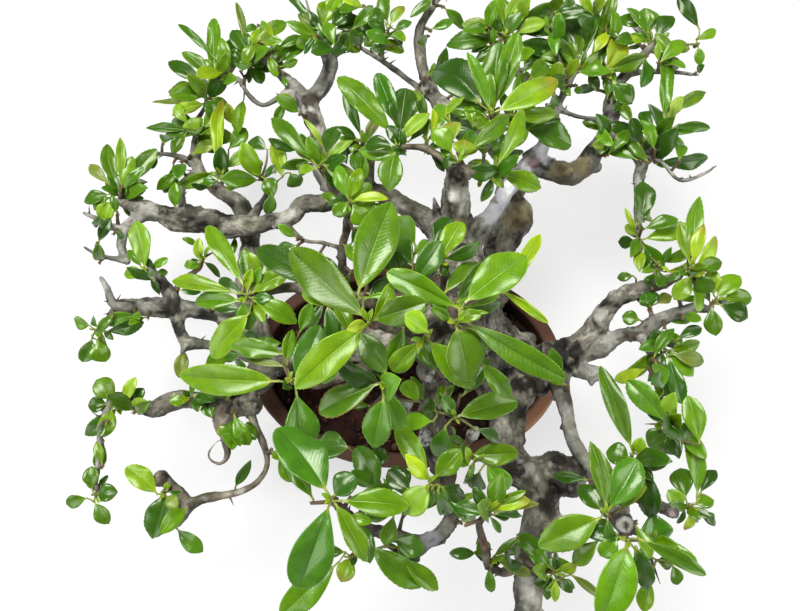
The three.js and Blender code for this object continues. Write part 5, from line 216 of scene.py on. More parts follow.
 ["top_right_a",[[[103.6,161.7,128.4],[0.49,0.85,0.21],-1,[[[106.0,165.0,129.7],[113.7,199.9,135.7],12.0,"d",2],[[108.5,164.1,129.0],[123.2,201.8,137.0],9.0,"p",2],[[102.4,166.0,130.2],[100.3,180.2,134.2],10.7,"b",1],[[99.0,162.2,127.8],[80.3,168.0,127.8],9.6,"b",1],[[101.6,159.3,126.0],[90.1,153.7,122.0],8.4,"b",1],[[110.0,160.4,126.4],[114.9,148.4,121.4],6.6,"g",1],[[100.0,167.2,130.6],[90.7,186.4,130.6],9.6,"d",2],[[104.7,168.2,131.1],[97.0,196.2,133.1],9.6,"d",2],[[102.0,157.0,127.3],[119.1,169.3,131.2],9.3,"b",1],[[101.9,160.4,128.3],[89.5,174.6,137.1],7.2,"b",1],[[102.3,157.6,127.7],[120.0,154.3,132.5],8.6,"p",1],[[100.6,158.2,127.4],[81.7,167.4,127.1],8.8,"d",1],[[102.8,160.7,129.0],[105.6,167.8,135.2],3.4,"b",0],[[101.0,158.6,128.1],[92.7,165.0,135.6],4.3,"b",1]]],[[118.5,154.8,128.0],[0.0,0.0,1.0],0,[[[117.4,157.1,128.8],[128.8,177.7,133.8],13.1,"y",2],[[119.6,157.8,129.7],[141.5,163.9,133.7],10.0,"b",2],[[122.2,152.8,126.9],[134.5,140.2,120.9],13.1,"d",1],[[120.8,155.7,128.8],[138.0,163.1,125.8],5.4,"o",1],[[115.0,160.5,129.9],[124.9,180.8,131.9],7.2,"g",2],[[123.3,145.0,120.2],[128.5,138.0,112.2],7.2,"g",1]]]]],
 ["top_right_c",[[[147.7,177.3,130.8],[0.26,0.4,0.88],-1,[[[149.8,180.2,132.6],[160.0,191.6,136.6],10.8,"d",1],[[151.0,175.7,131.0],[170.1,172.8,130.0],7.2,"o",1],[[145.7,182.8,131.3],[143.0,196.9,137.3],9.6,"b",1],[[144.8,178.7,129.1],[130.1,176.8,133.1],4.8,"y",1],[[146.8,183.6,132.1],[151.3,196.8,134.1],10.9,"p",1],[[152.4,172.6,129.3],[159.2,165.0,124.3],7.2,"g",1],[[141.8,188.0,130.5],[130.4,198.3,127.5],7.3,"b",1],[[146.9,177.7,130.0],[134.7,200.5,133.5],11.2,"b",2],[[147.8,176.0,128.4],[156.0,178.2,137.6],5.2,"b",1],[[146.5,177.2,129.6],[135.1,183.0,131.1],4.6,"p",1],[[146.7,177.0,128.0],[141.7,197.9,120.1],10.1,"d",1]]],[[171.1,169.3,138.4],[0.0,0.0,1.0],0,[[[172.3,177.2,141.0],[158.8,194.8,149.0],7.6,"d",2],[[171.2,168.5,137.7],[173.4,159.1,131.7],5.9,"b",1],[[170.0,171.7,139.0],[182.9,179.0,139.0],5.9,"b",1]]]]],
 ["right_top_d",[[[152.4,122.7,118.0],[0.36,0.36,0.86],-1,[[[152.5,127.4,119.3],[154.2,168.3,129.3],8.9,"p",2],[[154.6,128.0,120.3],[161.5,140.4,128.3],7.1,"y",1],[[155.6,133.4,122.6],[177.9,146.0,124.6],7.7,"b",2],[[156.7,124.3,119.7],[179.1,124.3,119.7],6.5,"g",2],[[154.6,120.3,117.5],[164.0,114.7,115.5],3.5,"b",1],[[145.7,120.9,112.4],[111.7,119.9,107.4],18.6,"d",2],[[147.6,127.8,116.6],[141.6,139.8,113.6],8.4,"d",1],[[154.5,123.5,118.8],[155.1,138.8,122.8],7.7,"o",1],[[151.5,122.9,116.0],[149.2,148.0,110.4],10.0,"g",2],[[150.1,120.3,114.1],[153.0,122.2,134.5],8.1,"b",1],[[149.9,121.5,113.8],[143.7,128.8,118.1],3.8,"b",0],[[152.6,122.0,116.2],[170.4,123.4,119.3],6.8,"b",1]]],[[147.2,108.3,110.5],[0.0,0.0,1.0],0,[[[148.2,106.9,110.5],[180.5,110.9,108.5],8.9,"g",2],[[145.4,110.2,109.6],[142.2,114.6,113.6],5.4,"g",0],[[124.4,134.9,104.1],[108.8,139.3,104.1],8.0,"b",1],[[147.8,109.0,106.7],[155.6,118.2,129.4],11.3,"d",2],[[148.0,107.8,108.2],[154.7,104.1,110.3],3.5,"y",0],[[147.0,109.2,108.5],[144.4,121.5,108.7],5.3,"d",1],[[148.0,107.9,107.3],[154.2,104.5,111.4],3.2,"d",0],[[147.4,109.2,107.2],[148.5,113.5,114.1],3.2,"b",0]]]]],
 ["right_leaf_spray",[[[127.0,46.7,125.0],[-0.07,-0.96,0.27],-1,[[[127.7,58.3,123.4],[132.7,84.9,126.4],11.7,"g",2],[[126.3,52.0,123.9],[119.8,66.6,128.9],3.3,"y",1],[[125.3,48.4,124.0],[116.5,49.8,121.0],7.7,"d",0],[[128.3,49.0,125.1],[154.8,54.3,129.1],10.3,"b",2],[[126.7,43.3,124.6],[124.4,29.5,126.6],6.5,"y",1],[[128.8,45.2,125.5],[129.9,34.0,121.5],7.6,"g",1],[[128.0,50.4,123.4],[140.6,34.0,116.9],9.6,"d",1],[[126.5,51.5,123.8],[119.6,36.8,128.8],6.1,"p",1],[[126.6,51.8,124.1],[118.1,55.3,130.0],5.0,"y",0]]],[[135.0,32.4,128.0],[0.0,0.0,1.0],0,[[[133.6,35.2,126.8],[154.3,42.5,128.8],6.4,"b",2],[[132.1,29.6,126.3],[129.4,23.2,122.3],9.6,"d",0],[[130.4,31.2,125.3],[128.5,36.7,123.3],8.6,"d",0],[[123.0,29.5,121.1],[115.0,29.9,117.1],5.4,"g",0],[[136.6,28.8,128.3],[149.4,32.8,132.3],4.2,"y",1],[[134.2,32.1,123.1],[125.6,29.7,125.5],4.0,"b",0],[[134.7,31.5,125.8],[129.9,17.5,135.2],6.9,"d",1],[[135.5,33.2,126.7],[139.9,40.5,134.7],4.1,"d",1]]]]],
 ["right_bright",[[[145.1,24.8,143.0],[0.08,-0.03,1.0],-1,[[[146.7,28.2,142.8],[152.4,63.0,148.8],8.3,"p",2],[[146.5,27.1,142.9],[151.1,45.8,150.9],7.1,"y",1],[[147.3,25.9,143.1],[159.1,41.8,145.1],8.2,"y",1],[[144.8,21.7,142.7],[136.3,9.8,136.7],9.2,"b",1],[[146.7,21.5,143.0],[155.2,13.3,139.0],10.2,"b",1],[[144.6,27.2,142.5],[140.8,48.0,146.5],7.2,"b",2],[[146.9,23.7,143.1],[161.9,29.0,141.1],8.2,"b",1],[[143.9,24.6,138.0],[137.5,20.7,144.7],4.6,"p",0],[[144.9,25.9,137.8],[146.8,33.6,141.1],3.2,"d",0],[[145.7,24.7,139.6],[150.6,23.5,149.3],3.8,"b",0],[[144.4,24.2,141.3],[138.9,16.1,154.5],5.5,"d",1],[[145.4,24.4,137.9],[150.1,20.4,146.5],4.3,"y",0]]]]],
 ["right_round",[[[129.6,12.2,121.0],[-0.07,0.48,0.87],-1,[[[129.5,11.1,120.9],[126.2,19.1,123.9],11.7,"g",0],[[124.4,5.4,117.9],[115.7,8.3,115.9],8.0,"b",0],[[132.6,13.1,121.8],[141.7,17.6,121.8],6.4,"o",1],[[133.6,5.1,122.0],[150.9,4.2,118.0],6.4,"b",1]]]]],
 ["right_mid_cluster",[[[131.9,-11.7,126.7],[0.17,-0.29,0.94],-1,[[[130.4,-10.3,125.7],[126.7,-4.0,129.7],11.3,"d",0],[[126.5,-14.0,123.6],[110.5,-27.0,120.6],7.7,"b",1],[[131.6,-14.8,126.4],[124.5,-25.4,122.4],9.2,"d",1],[[134.4,-14.0,127.4],[149.5,-10.4,129.4],8.2,"b",1],[[135.1,-16.2,127.5],[151.7,-19.9,125.5],8.2,"o",1],[[133.2,-17.1,126.8],[138.6,-41.0,122.8],8.6,"g",2],[[131.3,-18.9,125.9],[133.8,-36.9,117.9],10.2,"d",1],[[138.0,-8.9,128.0],[151.3,-3.1,130.0],6.2,"g",1],[[132.2,-11.9,125.1],[145.3,-27.3,125.1],8.8,"b",1],[[130.3,-10.6,122.7],[116.4,-15.4,133.1],6.6,"p",1]]]]],
 ["right_lower_a",[[[116.1,-57.9,159.5],[-0.03,-0.37,0.93],-1,[[[115.4,-57.8,159.0],[99.5,-38.1,161.0],10.8,"s",2],[[116.7,-60.5,159.5],[108.8,-66.4,151.5],9.9,"g",1],[[119.3,-58.0,160.4],[127.1,-64.5,156.4],10.7,"d",1],[[128.1,-67.9,161.6],[124.3,-46.5,165.6],9.7,"b",2],[[114.7,-57.7,158.5],[106.9,-57.3,156.5],2.2,"w",0],[[118.7,-63.3,160.1],[114.4,-68.9,150.1],8.1,"d",1],[[116.2,-56.4,158.1],[116.4,-46.2,171.5],7.9,"y",1],[[115.3,-56.7,157.0],[105.9,-64.5,179.8],11.7,"d",2],[[116.3,-56.6,158.6],[116.5,-56.4,174.5],6.7,"b",1],[[116.5,-57.0,155.0],[119.1,-73.3,159.6],6.5,"d",1],[[115.4,-56.3,156.8],[107.2,-52.3,158.8],3.3,"d",0],[[115.4,-56.1,154.9],[108.7,-59.6,162.9],3.8,"b",1]]]]],
 ["right_lower_b",[[[96.2,-72.9,166.3],[0.05,0.45,0.89],-1,[[[96.8,-71.2,166.3],[85.8,-33.5,168.3],8.8,"b",3,1],[[95.4,-73.7,165.8],[86.2,-70.7,162.8],10.0,"d",1],[[98.6,-72.6,167.1],[99.1,-65.9,173.1],6.0,"y",0],[[99.0,-75.6,167.3],[104.6,-97.9,155.3],9.9,"d",2],[[100.1,-73.1,167.7],[107.0,-71.1,165.7],5.2,"b",0],[[96.6,-75.1,163.6],[106.5,-77.6,184.3],7.9,"d",1],[[96.5,-75.3,163.3],[103.0,-83.9,169.7],5.1,"d",1]]]]],
 ["lower_right_rosette",[[[78.4,-97.9,182.5],[-0.23,0.07,0.97],-1,[[[78.3,-96.3,182.3],[73.9,-69.4,184.3],7.7,"b",2],[[78.9,-97.1,182.4],[91.5,-76.9,186.4],12.4,"s",2,1],[[76.5,-99.0,182.0],[51.9,-109.7,174.0],13.2,"b",2,1],[[77.0,-97.1,182.1],[69.4,-86.2,178.1],8.5,"d",1],[[78.6,-96.3,182.3],[79.2,-72.9,178.3],7.3,"o",2]]]]],
 ["lower_right_b",[[[86.8,-107.5,178.7],[-0.11,-0.12,0.99],-1,[[[86.8,-107.9,178.7],[76.3,-137.3,168.7],14.7,"b",3,1],[[83.5,-106.0,177.1],[76.7,-113.5,173.1],8.0,"p",1],[[76.8,-106.7,174.9],[67.1,-116.2,164.9],7.7,"b",1],[[90.3,-106.8,179.4],[116.4,-120.5,177.4],5.9,"b",3,1],[[89.6,-109.8,179.3],[97.0,-126.4,165.3],8.0,"d",2],[[81.6,-103.7,176.1],[80.4,-113.5,168.1],6.5,"g",1],[[88.8,-110.5,179.0],[92.6,-115.0,173.0],4.8,"g",0],[[86.2,-107.1,176.3],[68.8,-103.1,172.4],6.4,"d",1]]],[[103.9,-106.9,154.0],[0.0,0.0,1.0],0,[[[106.9,-93.6,152.7],[108.8,-108.4,146.7],14.0,"s",1],[[102.8,-121.0,152.2],[100.4,-136.2,146.2],7.2,"b",1],[[105.5,-115.0,154.1],[112.7,-117.4,152.1],5.6,"d",0],[[111.2,-116.6,156.5],[113.7,-124.9,153.5],5.5,"g",1],[[103.4,-113.4,153.2],[108.4,-124.7,147.2],3.4,"w",1],[[103.3,-107.5,150.9],[90.5,-120.5,164.6],8.5,"b",1],[[104.8,-107.2,152.9],[112.0,-109.4,163.7],5.6,"b",1],[[104.7,-107.4,151.1],[120.1,-116.3,161.5],8.4,"b",2]]]]],
 ["right_edge",[[[125.2,-92.4,148.8],[0.51,-0.02,0.86],-1,[[[128.8,-89.0,148.9],[126.2,-62.3,153.9],7.6,"b",2],[[124.1,-89.8,148.0],[125.0,-75.3,144.0],10.4,"d",1],[[122.9,-93.2,147.7],[116.0,-85.6,149.7],7.1,"y",1],[[127.9,-91.6,149.1],[136.2,-89.9,149.1],7.1,"b",0],[[125.8,-95.0,148.7],[122.4,-102.5,145.7],5.3,"y",0],[[129.1,-95.9,149.0],[137.2,-99.9,145.0],5.3,"g",0],[[130.4,-87.3,148.9],[139.2,-76.8,148.9],6.3,"d",1],[[124.3,-93.0,146.0],[132.9,-97.6,151.8],4.2,"d",1],[[124.2,-92.4,148.8],[113.3,-91.8,155.8],4.6,"b",1],[[124.2,-93.3,147.2],[127.3,-98.4,153.1],3.9,"b",0]]]]],
 ["front_small_rosette",[[[67.8,-120.6,124.0],[0.29,-0.15,0.94],-1,[[[66.2,-118.5,123.6],[56.0,-108.8,126.6],8.4,"p",1],[[69.8,-119.3,123.7],[77.9,-116.7,127.7],6.5,"y",0],[[75.3,-121.1,123.5],[89.9,-131.5,120.5],4.2,"o",1,1],[[65.9,-121.9,123.7],[59.0,-125.5,119.7],6.1,"d",0],[[70.4,-123.7,123.5],[77.8,-127.2,120.5],4.6,"d",0],[[68.6,-123.7,123.6],[68.0,-133.2,120.6],4.2,"y",1],[[67.6,-123.7,123.6],[65.7,-129.1,117.6],5.6,"b",0],[[67.8,-121.0,121.8],[75.7,-129.1,124.1],4.6,"d",1],[[67.7,-119.6,123.4],[68.7,-110.8,125.1],4.1,"g",0],[[65.4,-119.6,119.1],[55.9,-118.9,135.6],8.2,"b",1]]]]],
 ["front_left_dark",[[[-10.0,-84.4,146.0],[0.39,0.36,0.85],-1,[[[-13.6,-87.4,145.4],[-23.5,-65.5,145.4],12.3,"d",2],[[-1.8,-88.7,144.9],[-6.4,-74.3,146.9],11.3,"d",1],[[-6.3,-95.6,144.5],[-10.9,-108.6,138.5],7.6,"b",1],[[-26.9,-66.0,143.1],[-43.7,-64.4,135.1],13.2,"g",1,1],[[-14.6,-76.3,144.9],[-11.2,-65.4,138.9],8.4,"d",1]]]]],
 ["front_left_low",[[[-26.7,-114.1,128.0],[-0.38,-0.4,0.83],-1,[[[-31.8,-115.8,127.4],[-58.3,-139.0,123.4],13.3,"b",3,1],[[-25.8,-113.2,127.8],[-30.5,-124.4,129.8],8.7,"y",1],[[-28.7,-111.5,127.6],[-40.8,-109.7,127.6],6.0,"g",1],[[-24.9,-113.5,125.9],[-24.7,-117.8,132.4],3.5,"d",0]]],[[-9.2,-108.5,130.0],[0.0,0.0,1.0],0,[[[-19.4,-107.6,129.1],[7.4,-125.8,125.1],12.4,"b",2,1],[[-3.6,-113.2,129.6],[13.9,-128.0,123.5],8.3,"b",2,1],[[-6.9,-105.4,129.7],[7.8,-111.1,132.7],10.1,"s",1,1],[[-4.6,-109.8,129.6],[5.8,-115.4,121.5],6.0,"d",1,1]]]]],
 ["left_pair",[[[-122.9,-82.8,108.4],[-0.22,-0.22,0.95],-1,[[[-125.1,-84.3,109.1],[-141.4,-71.0,113.1],10.5,"y",2],[[-122.1,-82.8,107.9],[-127.3,-105.1,103.9],14.5,"d",2],[[-115.9,-99.9,103.8],[-102.1,-111.2,100.8],8.0,"p",1],[[-121.5,-84.7,107.6],[-114.2,-90.6,109.6],7.0,"o",0],[[-120.9,-81.7,107.2],[-121.2,-78.0,109.2],3.5,"b",0]]]]],
 ["left_round_pale",[[[-91.4,-51.6,96.0],[0.28,0.06,0.96],-1,[[[-89.3,-52.6,95.7],[-98.8,-52.0,98.7],13.3,"p",0],[[-87.3,-51.5,95.5],[-81.5,-47.9,93.5],10.8,"b",0],[[-90.5,-79.4,92.5],[-81.9,-65.6,98.5],5.8,"g",1],[[-96.9,-52.5,95.3],[-100.8,-47.7,98.3],6.4,"y",0],[[-92.1,-52.7,92.8],[-86.3,-59.6,106.0],6.0,"b",1],[[-92.9,-52.7,91.6],[-90.2,-61.6,106.6],6.7,"b",1]]]]],
 ["left_edge_low",[[[-156.1,-35.7,97.8],[-0.24,-0.24,0.94],-1,[[[-157.5,-33.5,97.8],[-168.2,-23.4,101.8],11.4,"b",1],[[-152.5,-35.3,96.0],[-146.7,-21.8,102.0],6.5,"y",1],[[-151.6,-35.2,95.6],[-138.5,-35.9,98.6],5.4,"y",1],[[-158.9,-38.0,98.1],[-164.7,-53.4,94.1],9.1,"b",1],[[-149.0,-33.8,94.1],[-143.8,-26.5,96.1],6.6,"d",0],[[-161.3,-35.8,98.4],[-171.9,-36.9,98.4],8.6,"d",1],[[-161.2,-54.9,96.9],[-164.7,-69.9,90.9],6.9,"b",1],[[-156.1,-35.6,95.0],[-175.8,-51.0,87.9],9.5,"g",2],[[-155.2,-36.1,96.3],[-152.7,-42.2,100.4],2.9,"b",0],[[-156.4,-35.4,95.3],[-166.6,-38.7,96.0],4.0,"b",0]]]]],
 ["left_edge_leaves",[[[-119.5,-31.0,91.2],[-0.1,-0.02,0.99],-1,[[[-120.6,-31.0,91.3],[-129.8,-33.9,94.3],7.1,"b",1],[[-116.6,-29.6,90.2],[-113.5,-39.3,94.2],7.1,"g",1],[[-111.3,-30.5,89.0],[-106.4,-42.0,91.0],7.2,"g",1],[[-126.5,-2.7,88.7],[-128.3,-18.5,86.7],7.9,"o",1],[[-118.4,-31.1,89.2],[-103.6,-33.7,97.4],6.9,"d",1],[[-119.8,-30.2,89.1],[-122.2,-27.8,97.1],3.5,"b",0]]]]],
 ["left_edge_mid",[[[-173.3,5.6,99.9],[-0.45,-0.5,0.74],-1,[[[-170.6,8.3,99.1],[-152.3,13.2,102.1],8.4,"p",1],[[-169.1,4.8,98.8],[-148.3,11.4,96.8],7.9,"d",2],[[-171.7,0.1,99.1],[-167.6,-11.2,94.1],11.1,"b",1],[[-175.0,1.1,99.4],[-180.3,-11.6,95.4],8.9,"g",1],[[-177.2,8.1,99.5],[-186.9,12.9,99.5],7.9,"b",1],[[-170.8,7.1,96.9],[-164.0,0.8,96.8],3.7,"b",0],[[-171.8,6.6,96.8],[-171.0,-7.1,84.5],6.1,"b",1],[[-172.2,5.6,99.6],[-168.6,-0.6,105.5],3.6,"b",0]]]]],
 ["left_sprout",[[[-143.8,36.7,112.4],[-0.26,0.13,0.96],-1,[[[-145.4,36.5,112.8],[-151.8,63.8,118.8],11.7,"y",2],[[-145.6,34.1,112.8],[-156.7,34.1,112.8],7.2,"b",1],[[-142.2,38.3,111.3],[-132.5,42.7,115.3],4.5,"b",1],[[-139.9,35.2,110.2],[-134.1,37.2,108.2],4.5,"g",0],[[-147.0,37.5,113.2],[-155.4,47.6,115.2],5.6,"b",1],[[-143.1,36.9,108.3],[-147.5,45.9,112.2],3.7,"d",0],[[-142.7,36.9,107.6],[-145.7,44.3,112.4],4.1,"d",0],[[-141.7,36.5,107.5],[-140.6,39.2,114.1],2.7,"d",0]]]]],
 ["left_sprout_b",[[[-115.3,45.8,108.2],[0.32,0.41,0.85],-1,[[[-116.2,43.4,108.0],[-117.2,56.0,113.0],5.7,"y",1],[[-119.0,53.6,107.6],[-127.3,56.7,111.6],4.0,"b",0],[[-117.8,42.2,107.9],[-126.2,41.9,105.9],5.1,"b",0],[[-113.8,47.2,107.8],[-106.7,50.0,109.8],1.7,"w",0],[[-114.7,45.9,108.0],[-109.8,52.7,112.0],2.3,"y",0],[[-116.9,43.6,105.4],[-121.1,37.1,112.8],4.5,"p",0]]]]],
 ["left_far_star",[[[-171.1,91.8,101.5],[-0.18,0.64,0.74],-1,[[[-172.9,96.0,101.3],[-181.3,122.0,106.3],9.0,"b",2],[[-171.5,97.7,100.8],[-172.9,125.4,108.8],6.0,"y",2],[[-169.0,98.2,99.8],[-152.0,120.8,102.8],10.3,"b",2],[[-176.3,95.7,101.9],[-190.7,109.6,103.9],7.2,"o",1],[[-176.6,90.2,102.1],[-192.3,85.9,100.1],8.4,"d",1],[[-167.9,91.3,100.1],[-157.1,95.1,98.1],7.2,"b",1],[[-173.9,86.4,101.6],[-180.8,73.8,97.6],10.1,"y",1],[[-175.3,88.9,101.9],[-185.6,80.6,99.9],7.1,"p",1],[[-169.7,96.5,100.4],[-154.8,98.1,102.4],5.4,"d",1],[[-171.1,91.2,99.5],[-182.1,110.3,85.3],12.0,"y",2],[[-170.3,91.3,99.8],[-164.7,113.7,106.2],8.3,"b",1],[[-171.1,89.4,99.9],[-178.0,89.1,111.5],5.6,"b",1],[[-169.4,88.2,98.0],[-165.4,92.6,109.1],5.7,"g",1],[[-169.6,89.3,99.0],[-151.0,89.6,110.4],9.0,"b",1],[[-169.2,88.5,97.5],[-157.6,89.8,97.8],5.0,"b",1],[[-170.9,89.8,98.1],[-179.0,105.0,103.7],7.4,"d",1]]]]],
 ["left_low_edge",[[[-159.1,-84.2,101.9],[0.09,-0.62,0.78],-1,[[[-159.3,-83.2,101.8],[-148.2,-82.2,101.8],9.2,"d",1],[[-159.8,-87.1,101.6],[-152.2,-97.7,97.6],8.2,"b",1],[[-161.8,-81.2,101.5],[-162.3,-69.5,104.5],8.2,"b",1],[[-163.2,-85.2,101.5],[-174.9,-88.0,99.5],7.2,"b",1]]]]],
 ["top_left_far",[[[-127.0,162.2,99.0],[0.16,0.44,0.88],-1,[[[-126.9,169.2,101.9],[-152.1,184.6,103.9],9.6,"d",2],[[-124.3,172.7,103.2],[-142.4,188.8,108.2],8.3,"b",2],[[-121.8,174.0,103.6],[-123.3,212.8,111.6],9.6,"b",2],[[-120.4,183.3,107.4],[-145.3,206.4,113.4],5.1,"d",2],[[-128.3,162.3,99.0],[-151.9,166.1,98.0],10.2,"b",2],[[-127.4,158.4,96.0],[-149.2,151.4,93.0],8.9,"y",2],[[-122.1,161.6,97.8],[-121.8,146.4,93.8],11.4,"g",1],[[-115.7,168.7,100.5],[-105.6,208.0,102.5],12.9,"d",2],[[-131.2,158.3,96.1],[-163.2,162.0,93.1],3.8,"o",2],[[-126.5,161.3,96.7],[-113.9,172.8,114.8],10.9,"d",2],[[-127.8,161.1,98.2],[-143.5,150.1,116.0],9.8,"b",2],[[-127.9,160.9,97.8],[-133.4,162.7,119.5],8.6,"y",1],[[-127.4,162.4,97.6],[-131.8,179.3,94.1],6.5,"b",1],[[-126.8,161.5,96.2],[-121.8,165.8,92.9],3.0,"b",0],[[-127.6,159.6,95.8],[-126.2,158.1,103.7],2.9,"b",0],[[-126.7,160.5,95.2],[-114.7,161.8,92.1],5.4,"b",1]]]]],
 ["top_left_mid",[[[-97.1,176.7,113.6],[0.14,0.51,0.85],-1,[[[-95.9,180.1,114.9],[-109.1,197.6,117.9],12.5,"d",2],[[-93.4,181.4,115.3],[-75.3,202.7,119.3],10.0,"b",2],[[-92.2,178.2,113.6],[-72.6,184.3,113.6],10.0,"b",1],[[-97.3,174.9,112.1],[-90.1,165.2,107.1],10.0,"d",1],[[-93.4,182.5,115.7],[-89.9,197.6,119.7],10.0,"y",1],[[-99.6,183.7,116.2],[-107.1,215.8,122.2],5.0,"o",2],[[-89.9,176.4,112.1],[-75.3,175.8,109.1],8.8,"d",1],[[-101.0,177.0,113.2],[-112.1,181.5,115.2],8.7,"g",1],[[-102.5,160.2,99.7],[-105.3,136.3,95.7],10.1,"b",2],[[-97.5,174.8,108.9],[-91.2,191.1,107.3],6.5,"g",1],[[-96.7,174.9,110.9],[-83.3,176.0,116.9],6.0,"g",1],[[-97.3,175.4,113.2],[-96.7,157.0,130.4],9.5,"d",2],[[-96.7,175.2,112.2],[-82.5,175.1,128.1],8.1,"b",1],[[-96.9,174.7,109.8],[-77.3,179.8,106.7],8.1,"d",1]]]]],
 ["top_left_low",[[[-133.1,140.3,91.8],[0.07,0.29,0.95],-1,[[[-133.2,141.6,92.1],[-136.5,147.8,96.1],13.9,"y",0],[[-130.8,139.5,90.8],[-126.7,128.2,87.8],8.9,"p",1],[[-136.9,141.4,92.4],[-164.6,142.2,93.4],6.3,"g",2],[[-139.4,138.9,91.7],[-147.9,125.3,87.7],7.6,"b",1],[[-129.6,143.3,91.8],[-116.2,155.4,93.8],11.5,"b",1],[[-138.2,145.0,93.7],[-146.3,157.9,96.7],7.6,"y",1],[[-134.1,139.4,86.8],[-151.4,155.2,85.1],11.0,"g",1],[[-132.6,139.8,88.7],[-118.7,148.2,84.5],7.6,"b",1],[[-134.2,139.4,89.3],[-152.0,137.3,93.4],6.3,"g",1],[[-132.8,139.7,87.7],[-128.5,146.3,95.5],3.7,"b",1],[[-133.1,138.3,88.1],[-126.0,126.3,110.4],11.0,"b",2],[[-132.5,139.5,91.3],[-118.3,124.7,92.4],9.3,"d",1],[[-132.3,139.7,90.2],[-107.3,136.5,90.2],11.5,"b",2]]]]],
 ["top_left_strap",[[[-113.2,107.2,94.0],[0.08,0.22,0.97],-1,[[[-113.4,108.6,93.9],[-116.3,158.6,99.9],8.1,"y",2],[[-115.5,104.6,93.6],[-125.8,103.0,91.6],6.2,"d",1],[[-111.4,113.1,93.5],[-97.0,124.7,95.5],7.4,"y",1],[[-117.3,110.3,93.5],[-142.0,102.2,90.5],8.6,"b",2],[[-111.1,125.7,93.9],[-101.1,141.8,93.9],10.1,"b",1],[[-113.6,107.1,89.7],[-112.6,121.1,105.5],9.3,"d",1],[[-114.3,106.6,89.3],[-121.9,111.8,90.9],3.3,"b",0]]]]],
 ["top_left_sprig",[[[-86.6,98.9,108.0],[-0.25,0.31,0.92],-1,[[[-88.9,96.5,107.6],[-106.4,91.0,106.6],9.5,"p",1],[[-84.2,97.8,107.7],[-78.2,87.4,104.7],10.1,"b",1],[[-79.1,89.0,106.6],[-83.0,77.6,100.6],7.7,"g",1],[[-73.8,98.5,106.4],[-79.3,120.8,110.4],9.6,"y",2],[[-88.1,101.8,107.7],[-88.4,108.9,111.7],7.1,"y",0],[[-83.0,116.8,108.0],[-96.2,124.3,105.0],8.5,"g",1],[[-69.4,102.9,105.9],[-63.9,96.8,99.9],10.8,"g",1],[[-71.5,144.5,115.1],[-75.1,150.2,117.1],7.3,"y",0],[[-86.7,97.6,105.4],[-107.4,91.5,116.7],10.5,"b",2],[[-85.7,98.1,103.0],[-95.4,113.6,121.3],11.3,"b",2],[[-85.1,98.4,105.4],[-77.3,104.8,110.9],4.1,"d",1]]]]],
 ["top_blur_a",[[[-51.4,189.1,125.9],[-0.3,0.23,0.92],-1,[[[-54.0,188.3,125.1],[-66.3,200.0,129.1],6.1,"o",1],[[-51.5,192.8,126.8],[-46.6,206.7,131.8],12.3,"b",1],[[-46.6,191.9,126.1],[-33.2,203.0,129.1],11.1,"d",1],[[-54.0,187.2,124.5],[-67.6,182.2,121.5],8.6,"b",1],[[-46.7,186.4,123.7],[-33.3,182.9,120.7],12.3,"b",1],[[-44.2,191.0,125.4],[-25.8,195.6,125.4],11.1,"g",1],[[-55.2,191.8,126.3],[-73.8,212.5,132.3],4.9,"g",2],[[-49.1,195.5,127.2],[-39.5,217.2,132.2],9.9,"b",2],[[-41.8,185.9,122.6],[-28.4,181.0,117.6],8.6,"b",1],[[-49.6,187.2,121.7],[-45.2,178.6,125.6],4.3,"b",0],[[-51.5,189.5,124.3],[-59.5,198.3,134.0],5.6,"d",1],[[-51.0,187.6,123.2],[-57.5,180.0,127.7],5.1,"y",0]]]]],
 ["top_blur_b",[[[-11.0,190.2,126.3],[0.09,0.41,0.91],-1,[[[-13.5,188.3,125.0],[-2.4,181.0,123.0],13.5,"d",1],[[-13.5,190.4,126.0],[-20.8,203.7,130.0],9.8,"d",1],[[-9.8,192.7,126.9],[-1.2,204.4,130.9],7.4,"y",1],[[-15.9,187.5,124.2],[-25.8,182.5,121.2],8.6,"b",1],[[-18.4,191.0,125.4],[-33.3,193.4,124.4],9.8,"g",1],[[-7.3,190.6,125.9],[3.7,194.9,127.9],5.5,"g",1],[[-11.0,194.0,127.2],[-13.5,211.6,133.2],8.6,"b",1],[[-12.1,188.9,124.3],[-23.3,189.3,134.8],7.1,"g",1],[[-10.9,187.8,122.9],[-0.7,175.2,133.8],7.2,"b",1]]]]],
 ["off_front",[[[46.7,-155.5,122.0],[-0.05,0.16,0.99],-1,[[[45.0,-153.9,121.7],[28.3,-149.2,119.7],10.0,"b",1],[[48.6,-153.9,121.7],[68.9,-149.0,121.7],9.9,"b",2],[[45.7,-157.2,121.8],[34.1,-172.4,115.8],10.8,"d",2],[[49.4,-157.2,121.6],[63.0,-170.9,115.6],9.9,"b",2],[[46.9,-153.1,121.7],[46.4,-139.4,129.7],9.0,"y",1],[[44.0,-155.6,121.7],[23.5,-160.9,117.7],9.0,"b",2]]]]],
 ["off_right",[[[159.0,10.8,134.0],[0.24,0.28,0.93],-1,[[[159.2,11.9,133.9],[172.1,23.0,136.9],10.3,"b",1],[[159.8,8.7,133.7],[175.5,2.1,130.7],10.3,"d",1],[[156.6,7.7,133.6],[158.1,-7.2,129.6],9.2,"b",1],[[158.4,13.1,133.7],[157.4,26.7,138.7],8.3,"y",1],[[161.2,10.9,133.8],[177.8,12.0,133.8],9.3,"b",1],[[157.5,10.4,130.5],[147.6,23.6,134.9],6.5,"b",1]]]]],
]
